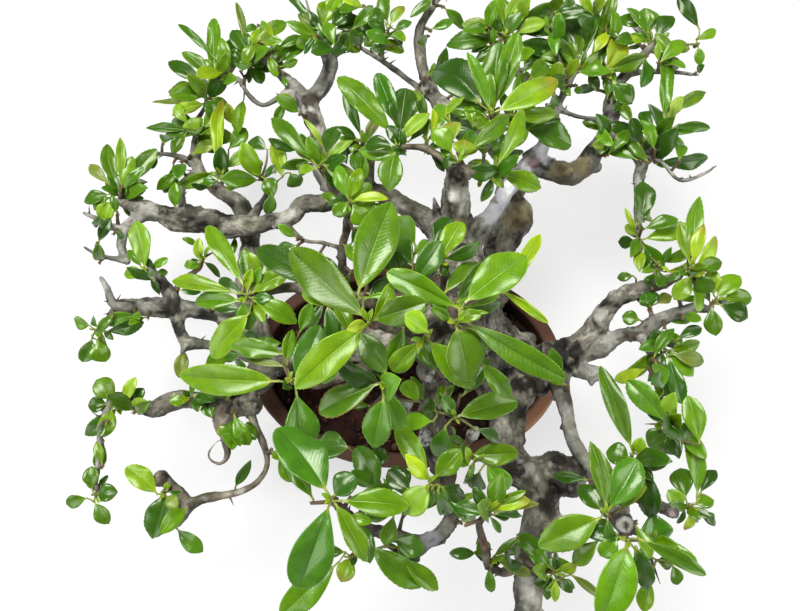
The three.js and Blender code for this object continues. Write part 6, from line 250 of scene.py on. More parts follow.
# tufts straight from the branches: wood point and radius, tip, direction, leaves as above
SPURS = [
 [[14.0,-34.4,229.1,2.5],[16.3,-25.7,230.5],[0.24,0.96,0.16],[[[16.9,-26.7,230.5],[28.0,-11.7,234.2],6.4,"g",2]]],
 [[-144.2,124.2,88.0,2.2],[-144.4,116.7,93.1],[-0.02,-0.83,0.56],[[[-144.7,116.6,92.1],[-151.4,100.9,83.8],7.6,"d",1]]],
 [[84.1,187.5,141.2,1.0],[86.5,187.1,143.9],[0.67,-0.11,0.74],[[[86.5,187.1,142.6],[103.8,183.8,148.9],8.6,"d",1],[[86.6,187.8,143.0],[101.3,199.4,139.8],6.5,"b",1],[[85.3,187.1,143.9],[87.8,184.2,162.5],7.1,"b",1]]],
 [[23.4,58.5,184.7,1.0],[24.9,56.2,187.0],[0.42,-0.65,0.63],[[[25.6,56.6,186.5],[42.8,58.5,183.0],8.0,"d",1]]],
 [[128.0,52.2,121.4,1.7],[127.7,54.5,129.3],[-0.04,0.27,0.96],[[[128.7,54.2,128.2],[145.8,57.1,134.3],8.2,"b",1],[[127.0,53.7,128.2],[120.3,54.3,143.1],7.6,"b",1]]],
 [[-82.4,171.4,114.1,2.6],[-79.2,174.7,116.9],[0.6,0.62,0.51],[[[-78.7,174.6,116.1],[-63.2,184.7,117.5],8.5,"d",1]]],
 [[119.8,127.7,109.3,5.8],[112.9,126.5,120.4],[-0.53,-0.1,0.84],[[[113.7,125.7,119.8],[118.3,108.1,125.3],7.0,"p",1]]],
 [[-96.7,18.0,91.4,5.7],[-91.7,7.3,95.0],[0.41,-0.87,0.29],[[[-91.4,7.7,94.1],[-79.5,0.2,82.5],8.4,"d",1]]],
 [[91.4,141.9,122.8,2.7],[86.7,143.9,125.0],[-0.85,0.36,0.4],[[[87.8,144.1,125.4],[88.1,154.9,140.9],8.8,"b",1]]],
 [[88.6,168.2,134.5,1.4],[88.2,165.2,140.7],[-0.05,-0.43,0.9],[[[88.1,166.2,140.7],[85.8,174.9,157.5],7.6,"p",1]]],
 [[145.4,107.1,112.7,2.1],[144.4,108.7,121.2],[-0.11,0.18,0.98],[[[144.0,109.2,120.2],[134.6,122.9,129.3],7.5,"b",1]]],
 [[95.5,149.7,124.3,2.5],[94.0,149.5,129.1],[-0.29,-0.04,0.96],[[[94.8,149.8,129.3],[98.3,152.4,146.5],6.8,"y",1]]],
 [[145.4,107.1,112.7,2.1],[141.1,101.8,117.9],[-0.51,-0.62,0.6],[[[140.6,102.7,117.8],[129.4,117.5,118.9],6.4,"p",1]]],
 [[117.4,173.3,127.5,1.5],[120.0,171.0,134.9],[0.32,-0.28,0.9],[[[119.7,172.1,134.3],[121.9,187.2,145.7],7.5,"b",1]]],
 [[-29.4,-93.4,186.5,1.8],[-38.4,-94.0,186.1],[-1.0,-0.07,-0.04],[[[-37.6,-93.0,186.2],[-48.7,-77.7,187.2],6.9,"b",1]]],
 [[-48.3,175.9,120.6,3.7],[-42.4,175.7,127.7],[0.63,-0.01,0.77],[[[-43.3,175.2,127.8],[-55.8,164.2,137.0],8.7,"d",1],[[-42.8,176.6,127.7],[-48.5,193.4,129.8],8.2,"p",1]]],
 [[141.2,169.3,127.0,3.0],[143.0,165.7,132.1],[0.28,-0.56,0.78],[[[142.4,165.5,130.9],[138.8,147.3,126.9],8.4,"d",1]]],
 [[-57.3,199.7,127.0,1.2],[-57.7,198.1,130.7],[-0.08,-0.41,0.91],[[[-57.3,197.5,130.0],[-50.3,181.1,123.3],8.7,"g",1]]],
 [[-112.2,-88.4,99.4,3.8],[-109.2,-89.5,108.3],[0.32,-0.12,0.94],[[[-110.0,-90.1,107.9],[-119.4,-102.8,117.0],8.4,"b",1]]],
 [[-43.7,45.6,127.5,1.3],[-46.8,39.8,127.4],[-0.47,-0.88,-0.01],[[[-45.7,40.0,127.4],[-35.4,24.0,126.5],7.3,"d",1]]],
 [[-70.9,0.3,167.4,1.3],[-69.4,5.4,172.8],[0.2,0.66,0.72],[[[-70.1,5.8,172.4],[-73.4,17.9,178.3],6.2,"b",1]]],
 [[-180.0,51.7,101.6,1.3],[-177.6,56.5,106.1],[0.35,0.69,0.64],[[[-177.5,56.7,105.1],[-170.5,70.5,109.5],6.2,"d",1]]],
 [[157.2,157.2,128.6,1.5],[156.2,161.5,135.4],[-0.12,0.52,0.84],[[[155.8,161.7,134.3],[147.1,177.5,137.7],6.8,"b",1]]],
 [[144.7,25.6,136.0,1.3],[148.6,20.7,134.9],[0.61,-0.77,-0.18],[[[147.8,20.4,135.3],[146.9,2.4,138.0],7.0,"b",1]]],
 [[-85.6,-35.7,93.3,5.1],[-93.8,-40.6,99.1],[-0.73,-0.44,0.52],[[[-92.9,-41.1,98.6],[-83.9,-57.3,94.6],8.5,"b",1]]],
 [[53.2,-116.2,112.9,2.9],[59.6,-120.5,116.4],[0.76,-0.51,0.41],[[[59.7,-119.5,116.1],[77.4,-117.0,120.1],7.4,"b",1]]],
 [[69.1,168.2,114.4,2.7],[72.0,166.9,118.9],[0.52,-0.23,0.82],[[[72.2,167.8,118.5],[84.3,172.7,129.4],7.5,"d",1],[[71.6,166.1,118.6],[64.7,148.6,116.4],6.8,"b",1],[[71.3,166.3,118.8],[76.3,158.8,131.6],7.1,"p",1],[[71.7,168.0,118.0],[78.1,178.1,122.2],5.4,"b",1]]],
 [[-33.6,-0.3,170.8,3.5],[-37.4,-7.1,176.9],[-0.39,-0.68,0.62],[[[-36.6,-7.0,175.7],[-33.4,-25.4,172.0],8.0,"d",1]]],
 [[10.0,-19.3,191.7,4.8],[3.7,-15.8,201.0],[-0.53,0.29,0.79],[[[4.3,-16.3,201.6],[15.6,-26.7,212.6],7.9,"b",1]]],
 [[-35.1,189.8,126.1,1.4],[-33.5,186.4,129.7],[0.3,-0.65,0.7],[[[-33.0,187.3,129.7],[-20.0,198.4,137.9],7.7,"b",1],[[-34.2,186.1,129.2],[-44.8,170.3,128.4],8.8,"g",1]]],
 [[126.5,-22.8,126.3,2.2],[123.7,-18.9,129.5],[-0.48,0.69,0.54],[[[124.8,-18.8,129.1],[136.2,-4.0,132.2],6.4,"b",1]]],
 [[124.4,144.5,115.0,5.0],[119.5,142.9,121.3],[-0.6,-0.19,0.77],[[[120.1,143.9,120.8],[123.0,162.3,124.8],8.3,"b",1]]],
 [[8.9,-28.5,212.6,3.8],[15.5,-25.3,221.2],[0.59,0.28,0.76],[[[15.8,-25.4,220.2],[33.9,-19.9,222.8],8.0,"b",2]]],
 [[-25.1,-97.5,143.6,2.7],[-18.8,-96.6,144.4],[0.98,0.13,0.13],[[[-19.5,-96.7,145.3],[-6.1,-95.1,158.2],7.4,"g",1]]],
 [[-56.7,51.9,118.6,1.5],[-60.3,50.9,123.1],[-0.61,-0.18,0.77],[[[-60.4,51.8,122.6],[-70.0,56.2,129.2],5.1,"p",1]]],
 [[137.2,111.3,110.7,4.4],[136.8,111.7,120.7],[-0.04,0.04,1.0],[[[136.2,112.3,119.6],[128.0,121.5,134.1],7.7,"d",1]]],
 [[92.2,-85.0,130.0,4.3],[85.2,-79.4,135.0],[-0.68,0.55,0.49],[[[84.9,-79.7,134.1],[70.4,-76.8,124.7],5.9,"g",1]]],
 [[-26.3,-96.4,151.5,2.6],[-21.4,-98.1,152.5],[0.92,-0.33,0.18],[[[-21.8,-99.0,152.5],[-16.3,-116.4,155.8],6.8,"g",1]]],
 [[11.7,-51.0,158.7,2.1],[11.1,-51.5,164.7],[-0.1,-0.08,0.99],[[[11.8,-50.8,164.5],[20.3,-42.1,167.9],5.9,"b",1]]],
 [[18.0,-60.5,192.9,1.0],[20.5,-52.8,195.4],[0.3,0.91,0.3],[[[21.4,-53.1,195.2],[32.6,-38.4,199.4],6.7,"g",1]]],
 [[9.4,199.2,118.9,3.1],[15.9,194.8,120.3],[0.82,-0.55,0.17],[[[15.6,196.2,120.1],[30.0,201.5,122.1],6.0,"p",1]]],
 [[121.8,-36.9,138.5,1.8],[122.3,-33.1,143.6],[0.08,0.6,0.8],[[[121.7,-33.7,144.0],[111.1,-39.4,158.6],7.8,"d",1]]],
 [[17.2,212.1,122.5,2.3],[17.3,210.9,131.5],[0.02,-0.13,0.99],[[[16.6,210.4,131.2],[2.6,198.7,127.6],6.2,"d",1]]],
 [[-86.4,178.1,117.3,1.7],[-84.8,176.3,121.7],[0.32,-0.37,0.87],[[[-84.6,175.7,121.0],[-78.7,162.6,116.8],6.6,"b",1]]],
 [[143.4,7.5,125.3,3.1],[142.6,2.7,128.6],[-0.13,-0.81,0.57],[[[143.3,4.0,128.6],[146.5,-2.9,141.8],5.4,"p",1]]],
 [[-50.0,183.0,122.6,3.1],[-54.0,181.9,131.2],[-0.42,-0.11,0.9],[[[-54.5,182.4,130.4],[-71.7,187.3,136.8],6.7,"b",1],[[-54.5,181.2,130.9],[-61.4,171.8,126.4],4.5,"d",1]]],
 [[64.7,-119.6,118.6,1.2],[63.5,-114.2,122.0],[-0.17,0.83,0.53],[[[62.7,-114.5,122.0],[50.3,-103.6,130.9],8.4,"d",1]]],
 [[13.2,-6.7,219.0,1.9],[8.8,1.3,218.0],[-0.48,0.87,-0.11],[[[10.0,1.0,218.0],[16.9,16.0,216.0],6.6,"d",1]]],
 [[117.3,121.8,107.8,6.0],[120.3,118.9,118.6],[0.26,-0.26,0.93],[[[119.4,119.5,118.2],[108.6,125.5,132.2],7.8,"g",1],[[119.3,118.6,117.9],[107.6,110.6,122.7],6.7,"y",1],[[119.7,118.2,118.1],[112.9,107.5,117.7],4.7,"g",1],[[119.8,119.7,118.5],[117.9,125.2,125.7],3.3,"y",0]]],
 [[17.7,-75.3,151.7,2.3],[12.7,-77.3,152.5],[-0.91,-0.38,0.14],[[[13.3,-78.1,152.4],[9.8,-92.8,152.9],5.4,"g",1]]],
 [[13.5,169.7,104.7,4.1],[19.4,167.4,112.6],[0.58,-0.22,0.78],[[[18.5,168.5,112.1],[24.2,175.1,128.9],6.5,"d",1]]],
 [[79.2,198.2,130.1,1.1],[80.1,196.3,134.2],[0.19,-0.4,0.9],[[[80.2,196.0,132.9],[88.2,180.3,132.8],6.9,"p",1]]],
 [[7.8,164.1,105.4,2.4],[7.8,157.8,111.9],[-0.0,-0.69,0.72],[[[7.3,157.5,111.1],[4.0,144.3,118.1],6.7,"y",1],[[8.1,157.2,111.2],[12.4,142.8,102.7],7.1,"b",1]]],
 [[47.0,107.9,148.5,1.2],[41.0,103.7,146.3],[-0.78,-0.56,-0.29],[[[40.6,104.4,146.3],[24.1,112.7,143.7],7.6,"g",1]]],
 [[20.2,-95.6,121.9,3.8],[25.4,-98.8,126.3],[0.69,-0.42,0.59],[[[24.5,-97.7,126.3],[30.0,-95.4,140.3],5.9,"b",1]]],
 [[-22.6,200.0,129.5,1.1],[-26.3,203.3,132.8],[-0.62,0.55,0.56],[[[-26.1,202.0,132.3],[-38.6,201.2,139.9],5.4,"y",1],[[-26.1,202.0,132.4],[-39.3,190.7,140.2],7.6,"b",1]]],
 [[111.5,112.6,106.9,6.0],[118.1,107.4,116.9],[0.5,-0.4,0.77],[[[118.4,108.4,116.6],[131.3,121.8,120.4],7.7,"b",1]]],
 [[-32.0,43.1,143.9,2.5],[-33.7,36.0,147.1],[-0.21,-0.89,0.4],[[[-32.7,36.4,146.8],[-20.7,25.1,149.7],6.7,"b",1]]],
 [[-90.8,-33.2,88.2,6.1],[-93.7,-24.5,95.4],[-0.25,0.74,0.62],[[[-92.6,-25.1,95.1],[-73.9,-24.6,98.6],8.5,"d",1]]],
 [[73.1,160.6,109.7,3.0],[72.3,156.6,115.4],[-0.13,-0.57,0.81],[[[72.3,157.5,115.7],[69.9,153.8,134.2],6.8,"p",1]]],
 [[-140.3,34.6,107.7,3.0],[-138.4,28.8,114.1],[0.22,-0.66,0.72],[[[-139.3,29.8,113.7],[-150.8,32.9,125.5],6.1,"d",1],[[-138.3,29.5,114.5],[-134.2,28.7,129.9],6.1,"g",1]]],
 [[-56.4,136.6,110.9,5.4],[-63.1,133.3,120.8],[-0.54,-0.27,0.8],[[[-63.0,134.3,120.2],[-75.3,135.2,134.7],8.4,"b",1]]],
 [[-27.5,181.6,120.9,1.5],[-27.9,178.2,124.0],[-0.1,-0.74,0.67],[[[-28.0,179.2,124.2],[-32.2,176.7,142.6],7.0,"b",1],[[-27.7,179.4,124.0],[-26.6,181.0,135.1],4.5,"p",1]]],
 [[150.2,158.8,126.6,1.7],[147.8,158.9,134.8],[-0.27,0.01,0.96],[[[148.7,159.5,134.3],[163.1,171.3,138.2],8.8,"b",1],[[148.2,159.8,133.8],[146.5,168.3,140.8],4.4,"y",1]]],
 [[-12.0,-86.2,143.5,1.1],[-14.9,-84.9,146.8],[-0.62,0.28,0.73],[[[-15.0,-84.5,145.9],[-25.5,-77.3,151.5],6.4,"d",1]]],
 [[-100.4,167.5,109.6,1.2],[-102.4,168.8,114.9],[-0.34,0.22,0.91],[[[-101.4,169.3,114.0],[-93.5,184.1,121.5],7.8,"b",1]]],
 [[124.4,144.5,115.0,5.0],[127.4,140.9,123.4],[0.31,-0.38,0.87],[[[127.3,140.3,122.4],[131.4,126.5,124.4],6.5,"b",1],[[126.7,140.2,123.2],[120.9,131.2,125.8],4.0,"d",1]]],
 [[-30.3,46.4,153.8,2.2],[-32.7,52.8,153.9],[-0.35,0.94,0.02],[[[-31.7,52.5,154.2],[-17.9,63.9,160.6],7.9,"p",1],[[-33.4,52.3,153.9],[-43.4,61.8,154.2],5.8,"b",1]]],
 [[-137.8,122.5,86.0,2.6],[-135.3,124.0,91.3],[0.4,0.25,0.88],[[[-134.6,124.2,90.9],[-117.0,129.9,95.6],7.7,"y",1]]],
 [[-146.4,-34.6,91.4,4.2],[-146.5,-41.0,98.6],[-0.01,-0.66,0.75],[[[-147.0,-39.6,98.2],[-156.3,-34.3,113.9],8.0,"b",1],[[-145.9,-40.1,98.5],[-133.2,-36.9,112.3],6.4,"b",1]]],
 [[-49.5,101.2,114.2,5.0],[-53.1,102.0,122.6],[-0.39,0.09,0.92],[[[-53.7,101.9,121.9],[-71.1,100.9,116.4],6.6,"b",1],[[-52.0,101.7,122.4],[-36.9,97.9,133.3],7.7,"b",1]]],
 [[95.1,154.3,126.5,1.7],[89.5,150.6,127.6],[-0.83,-0.54,0.16],[[[90.5,150.3,127.5],[96.6,141.1,127.4],5.1,"b",0]]],
 [[90.8,-101.3,162.0,1.9],[95.5,-99.7,164.1],[0.87,0.3,0.39],[[[95.0,-100.8,163.9],[98.9,-114.7,166.7],5.9,"b",1]]],
 [[114.8,192.5,133.9,1.0],[112.2,191.4,137.0],[-0.63,-0.25,0.73],[[[112.0,192.4,136.9],[102.5,201.7,143.7],5.9,"y",1],[[113.5,191.8,136.8],[115.2,190.5,152.8],6.8,"y",1]]],
 [[-34.1,37.3,130.8,2.8],[-30.7,45.7,126.0],[0.32,0.82,-0.47],[[[-30.3,45.7,126.8],[-20.5,50.3,137.9],6.6,"g",1]]],
 [[6.8,-52.7,157.9,3.4],[7.3,-46.9,162.7],[0.07,0.77,0.64],[[[6.6,-47.5,163.1],[1.1,-40.3,175.9],5.2,"b",1]]],
 [[115.4,182.5,131.0,1.2],[119.4,180.9,137.1],[0.53,-0.21,0.82],[[[119.0,180.1,137.1],[110.6,165.3,135.6],7.2,"y",1],[[118.7,182.0,136.4],[122.2,196.3,148.4],8.0,"b",1],[[119.5,180.2,136.5],[125.9,172.8,139.7],3.5,"d",0]]],
 [[14.2,-70.3,142.6,2.8],[16.2,-64.6,145.0],[0.31,0.88,0.36],[[[16.7,-65.7,144.6],[28.7,-64.6,146.5],4.6,"b",1]]],
 [[-115.0,168.5,108.6,1.6],[-117.1,164.3,116.4],[-0.23,-0.47,0.85],[[[-117.4,165.3,116.1],[-122.7,172.9,121.1],4.6,"b",0],[[-116.2,165.1,116.0],[-106.6,169.0,131.0],7.4,"b",1]]],
 [[73.4,189.5,127.4,1.4],[67.9,191.3,133.3],[-0.67,0.22,0.71],[[[69.4,191.1,133.1],[72.3,194.5,151.5],8.3,"y",1]]],
 [[-75.8,-61.3,90.2,1.8],[-71.7,-59.9,96.0],[0.57,0.19,0.8],[[[-71.9,-60.9,95.3],[-63.7,-66.3,103.7],5.3,"b",1]]],
 [[-88.8,-5.3,88.0,4.7],[-88.5,-4.0,99.7],[0.02,0.11,0.99],[[[-88.9,-3.3,98.8],[-90.6,1.9,109.9],5.8,"b",1],[[-87.6,-4.0,99.5],[-69.0,-3.1,103.3],7.9,"p",1]]],
 [[-133.4,81.8,94.5,2.9],[-137.8,81.3,98.6],[-0.73,-0.09,0.68],[[[-137.6,82.1,98.8],[-136.9,96.0,106.2],7.4,"p",1]]],
 [[-164.2,16.9,101.7,1.6],[-161.9,12.9,104.4],[0.42,-0.75,0.5],[[[-162.9,12.9,103.9],[-170.4,2.9,103.9],5.6,"p",1]]],
 [[-95.2,71.0,85.9,6.2],[-103.7,68.3,91.4],[-0.81,-0.26,0.52],[[[-102.7,67.7,90.8],[-102.6,56.1,90.8],4.2,"b",1],[[-104.1,69.0,90.9],[-114.4,70.8,93.0],4.2,"p",0],[[-102.6,68.0,91.6],[-107.0,64.1,98.0],3.2,"b",0]]],
 [[-22.0,178.9,118.9,1.6],[-19.5,179.8,124.5],[0.4,0.15,0.9],[[[-18.9,179.8,123.7],[-0.9,181.2,117.7],7.4,"b",1]]],
 [[52.3,177.6,128.2,1.6],[51.9,171.6,132.8],[-0.05,-0.79,0.61],[[[51.6,171.6,131.7],[44.4,158.2,120.4],8.4,"y",1],[[51.9,172.3,133.4],[50.8,179.2,140.6],4.0,"b",0]]],
 [[30.1,151.9,97.4,5.1],[27.2,145.6,103.6],[-0.32,-0.67,0.67],[[[26.8,145.6,102.7],[17.0,135.4,101.3],5.2,"p",1]]],
 [[84.6,-30.2,96.5,4.4],[86.0,-27.2,105.1],[0.15,0.32,0.93],[[[85.2,-26.8,105.0],[74.7,-21.5,104.4],4.9,"b",1]]],
 [[85.6,177.2,138.2,1.2],[85.3,175.8,143.1],[-0.06,-0.29,0.96],[[[85.4,175.1,142.3],[85.7,156.1,143.9],6.9,"p",1]]],
 [[-133.4,81.8,94.5,2.9],[-124.0,85.5,95.0],[0.93,0.36,0.06],[[[-124.0,84.6,94.9],[-114.9,69.4,92.7],7.5,"d",1]]],
 [[-115.0,168.5,108.6,1.6],[-116.1,164.8,111.0],[-0.24,-0.82,0.52],[[[-115.0,165.6,110.8],[-101.7,157.1,121.4],7.5,"p",1]]],
 [[-89.5,177.5,115.3,1.9],[-86.6,179.5,121.6],[0.4,0.27,0.88],[[[-87.0,180.2,120.8],[-84.3,197.1,124.7],6.4,"y",1]]],
 [[-173.5,49.5,101.1,1.6],[-174.0,43.2,107.5],[-0.05,-0.7,0.71],[[[-173.6,44.1,107.8],[-167.7,46.8,125.6],6.5,"b",1]]],
 [[-90.8,-33.2,88.2,6.1],[-98.1,-33.0,95.6],[-0.7,0.02,0.71],[[[-96.9,-32.2,95.0],[-106.5,-24.9,109.7],8.2,"g",1],[[-97.4,-32.3,95.8],[-94.4,-24.8,102.3],4.8,"b",0]]],
 [[-137.8,122.5,86.0,2.6],[-140.4,118.3,91.9],[-0.34,-0.54,0.77],[[[-139.5,118.2,90.9],[-138.2,101.4,99.7],7.8,"d",1]]],
 [[-152.4,19.2,101.1,4.5],[-149.9,14.0,108.5],[0.26,-0.55,0.79],[[[-149.5,14.1,107.5],[-144.4,7.4,113.2],4.5,"b",0]]],
 [[129.2,62.1,118.6,1.9],[132.1,62.7,122.8],[0.57,0.12,0.81],[[[131.8,63.5,122.7],[133.3,73.7,128.4],5.4,"b",1],[[132.1,63.1,121.5],[138.8,70.9,113.5],5.8,"b",1]]],
 [[36.1,58.1,181.1,2.0],[35.9,66.0,184.1],[-0.02,0.93,0.36],[[[35.8,64.8,184.6],[33.7,60.2,198.6],6.3,"b",1]]],
 [[22.6,156.9,98.8,5.2],[29.3,160.7,101.9],[0.8,0.46,0.38],[[[29.2,159.6,101.5],[46.5,152.4,104.0],6.3,"b",1]]],
 [[-16.9,-4.9,176.1,3.8],[-19.1,-4.7,184.4],[-0.26,0.02,0.97],[[[-18.1,-4.8,184.3],[-7.0,-5.6,187.7],4.3,"p",1]]],
 [[93.6,-97.1,154.0,1.9],[87.8,-100.3,157.8],[-0.76,-0.42,0.5],[[[88.0,-99.6,156.7],[80.4,-101.2,156.9],3.5,"b",0]]],
 [[-116.7,102.9,84.0,4.3],[-119.4,99.4,94.5],[-0.24,-0.31,0.92],[[[-120.2,99.6,93.7],[-128.7,96.5,103.0],4.3,"d",1]]],
 [[-33.6,-0.3,170.8,3.5],[-37.4,-4.8,178.8],[-0.38,-0.45,0.81],[[[-37.5,-5.2,177.9],[-44.4,-18.9,174.2],5.9,"g",1]]],
 [[-85.1,191.7,124.2,1.1],[-89.8,190.0,131.1],[-0.56,-0.2,0.81],[[[-89.6,189.5,129.7],[-97.2,182.7,133.5],4.3,"p",0],[[-88.6,189.7,130.7],[-81.3,182.6,138.8],5.2,"p",1]]],
 [[154.8,98.7,113.7,1.6],[156.9,100.2,122.2],[0.24,0.17,0.96],[[[157.1,101.0,121.6],[161.2,117.0,117.0],7.3,"p",1]]],
 [[85.2,124.6,118.3,3.5],[89.8,122.0,121.6],[0.74,-0.42,0.53],[[[89.0,122.3,122.1],[81.5,124.0,134.1],5.5,"d",1]]],
 [[-102.5,-1.9,88.8,3.6],[-103.9,-10.3,95.3],[-0.13,-0.78,0.61],[[[-103.0,-9.5,95.3],[-91.8,-9.4,103.2],5.4,"g",1]]],
 [[81.0,-98.3,176.0,1.2],[86.1,-95.7,178.3],[0.83,0.42,0.37],[[[84.7,-95.4,178.2],[90.8,-89.0,182.5],3.5,"b",1]]],
 [[27.5,56.0,184.0,3.2],[23.3,64.9,186.9],[-0.41,0.87,0.28],[[[24.1,65.2,186.4],[33.2,80.8,180.5],7.2,"p",1]]],
 [[124.8,-27.2,130.4,2.0],[123.0,-21.9,135.4],[-0.23,0.71,0.67],[[[123.0,-22.9,135.7],[121.2,-37.3,148.0],6.8,"p",1]]],
 [[-160.7,-71.0,100.8,1.5],[-155.7,-69.7,106.4],[0.66,0.17,0.73],[[[-156.4,-68.9,106.2],[-160.2,-57.6,108.8],5.2,"b",1]]],
 [[-167.9,67.6,102.1,2.4],[-167.6,60.6,108.6],[0.03,-0.73,0.68],[[[-166.7,61.2,108.3],[-158.1,55.2,115.9],4.7,"d",1]]],
 [[15.4,-87.0,175.6,1.6],[19.6,-91.7,177.0],[0.65,-0.72,0.22],[[[19.9,-90.8,176.4],[27.3,-89.7,173.6],3.2,"b",0]]],
 [[-34.6,34.1,125.0,2.8],[-29.1,28.4,127.6],[0.66,-0.69,0.31],[[[-30.4,28.4,127.5],[-35.4,18.3,130.4],4.8,"g",1]]],
 [[138.0,103.2,110.8,3.9],[136.3,103.4,117.4],[-0.24,0.04,0.97],[[[135.7,103.9,116.8],[120.1,113.6,112.0],6.7,"b",1]]],
 [[59.6,121.5,91.3,5.9],[66.1,124.2,96.0],[0.76,0.31,0.56],[[[65.8,124.9,95.5],[76.3,138.1,99.3],6.0,"b",1]]],
 [[7.8,164.1,105.4,2.4],[12.6,167.3,111.7],[0.56,0.37,0.74],[[[12.8,167.9,111.1],[19.0,178.3,109.8],5.3,"b",1]]],
 [[145.6,173.8,128.6,2.5],[151.8,167.1,130.1],[0.67,-0.72,0.16],[[[152.0,167.7,129.4],[166.9,168.1,117.5],8.6,"d",1]]],
 [[-56.7,51.9,118.6,1.5],[-60.3,47.4,120.7],[-0.59,-0.74,0.34],[[[-60.5,48.2,119.9],[-71.9,48.1,115.0],5.1,"g",1]]],
 [[-51.6,108.2,112.7,5.0],[-57.9,108.1,121.0],[-0.61,-0.01,0.8],[[[-56.9,108.8,120.6],[-60.4,112.9,131.1],4.1,"d",1]]],
 [[-85.6,-35.7,93.3,5.1],[-83.4,-28.0,94.8],[0.28,0.94,0.18],[[[-84.4,-28.3,94.8],[-92.5,-27.1,95.3],3.5,"d",0]]],
 [[48.0,180.8,131.9,1.4],[49.1,178.5,136.0],[0.23,-0.47,0.85],[[[49.0,179.7,135.8],[52.3,191.6,150.2],7.7,"b",1]]],
 [[-4.6,-104.1,119.0,3.4],[-2.2,-94.4,119.3],[0.25,0.97,0.03],[[[-1.4,-94.9,119.2],[16.2,-87.6,119.5],7.0,"b",1]]],
 [[95.5,149.7,124.3,2.5],[99.9,146.1,130.7],[0.52,-0.42,0.75],[[[99.3,145.5,130.4],[100.7,137.1,135.7],4.3,"g",0]]],
 [[-176.3,70.1,102.8,2.0],[-178.9,65.4,109.8],[-0.29,-0.53,0.8],[[[-177.9,66.2,109.5],[-171.1,65.2,122.1],5.9,"d",1]]],
 [[135.5,5.4,120.6,3.6],[133.2,-2.3,127.7],[-0.22,-0.72,0.66],[[[133.9,-2.8,127.4],[143.2,-9.4,122.4],5.3,"p",1]]],
 [[-74.6,164.6,113.1,3.3],[-75.1,163.1,119.1],[-0.08,-0.24,0.97],[[[-74.7,162.5,118.3],[-72.2,154.4,118.6],3.7,"d",0]]],
 [[-8.3,-53.6,204.9,2.0],[-14.9,-60.0,204.3],[-0.71,-0.7,-0.06],[[[-15.2,-59.0,204.3],[-22.6,-58.8,203.7],3.2,"b",0]]],
 [[88.4,134.4,121.0,3.0],[81.5,134.3,128.8],[-0.66,-0.01,0.75],[[[82.3,133.7,128.8],[84.4,123.0,144.4],8.8,"d",1]]],
 [[28.9,-99.8,185.9,1.4],[21.8,-102.4,187.9],[-0.91,-0.33,0.26],[[[22.5,-101.2,187.7],[15.0,-93.0,189.5],4.2,"d",1]]],
 [[132.3,23.9,122.7,4.0],[129.7,19.5,126.8],[-0.39,-0.67,0.63],[[[129.3,20.2,127.2],[123.9,23.5,132.6],3.7,"d",0]]],
 [[-153.2,124.8,91.1,1.6],[-152.3,130.5,94.5],[0.14,0.85,0.51],[[[-152.4,130.4,93.4],[-152.5,143.4,80.1],8.5,"d",1]]],
 [[-18.6,-4.5,175.5,3.8],[-18.6,4.8,183.5],[0.0,0.76,0.65],[[[-18.6,5.1,182.5],[-18.6,22.9,187.2],6.6,"d",1]]],
 [[-28.6,46.8,164.4,1.8],[-25.2,40.3,164.1],[0.45,-0.89,-0.04],[[[-24.9,41.6,164.4],[-7.4,46.6,169.7],7.3,"b",1]]],
 [[-27.9,-94.9,162.6,2.4],[-24.9,-89.7,162.4],[0.5,0.86,-0.04],[[[-24.2,-90.3,162.3],[-6.1,-84.8,161.2],6.8,"g",1]]],
 [[68.5,185.8,125.1,1.5],[68.5,181.3,132.2],[-0.01,-0.54,0.84],[[[69.4,181.6,131.8],[87.6,182.7,131.8],6.9,"d",1]]],
 [[-14.1,182.3,119.8,1.2],[-8.3,178.7,126.1],[0.62,-0.38,0.68],[[[-9.1,178.8,126.5],[-24.1,178.0,138.2],8.2,"p",1],[[-9.7,178.8,125.6],[-21.8,171.8,131.2],5.3,"g",1]]],
 [[-49.2,-44.8,187.9,1.1],[-52.2,-38.3,189.4],[-0.41,0.89,0.2],[[[-51.0,-38.8,189.4],[-48.6,-24.6,193.8],5.8,"b",1]]],
 [[-86.5,178.2,117.4,1.7],[-79.9,178.7,121.6],[0.84,0.06,0.54],[[[-80.0,179.3,120.8],[-63.4,188.5,122.4],6.3,"p",1]]],
 [[-74.1,154.7,110.5,2.6],[-73.1,148.4,111.9],[0.15,-0.97,0.22],[[[-73.8,149.3,111.0],[-81.2,139.8,101.2],6.0,"b",1]]],
 [[16.4,164.8,102.4,4.5],[12.2,159.4,107.2],[-0.49,-0.65,0.58],[[[11.9,159.2,106.4],[1.6,152.3,92.0],7.8,"d",1]]],
 [[115.5,182.1,130.9,1.2],[112.4,180.2,136.9],[-0.43,-0.28,0.86],[[[111.8,180.6,136.5],[98.7,178.9,150.0],8.8,"g",1]]],
 [[-130.6,29.8,100.5,1.8],[-128.3,27.4,106.0],[0.36,-0.37,0.86],[[[-127.6,27.6,105.4],[-116.7,28.1,100.2],5.3,"d",1]]],
 [[116.5,-56.2,155.7,1.1],[120.8,-57.6,155.7],[0.95,-0.31,-0.0],[[[120.2,-58.3,155.7],[132.6,-72.7,156.0],7.0,"b",1]]],
 [[-108.8,167.3,109.6,1.8],[-108.9,170.8,114.9],[-0.02,0.56,0.83],[[[-109.3,171.0,113.8],[-113.5,186.9,123.3],7.9,"b",1]]],
 [[94.5,147.7,124.0,2.5],[94.8,146.1,131.2],[0.05,-0.22,0.97],[[[93.9,146.1,130.2],[80.2,140.3,142.0],8.2,"g",1]]],
 [[17.4,212.4,122.6,2.3],[23.8,208.1,126.4],[0.74,-0.5,0.45],[[[23.9,208.2,125.4],[37.3,202.4,113.3],7.0,"d",1]]],
 [[-127.3,161.2,97.0,1.0],[-121.4,165.2,92.5],[0.7,0.47,-0.54],[[[-121.4,164.2,92.5],[-110.4,150.7,85.3],8.6,"y",1]]],
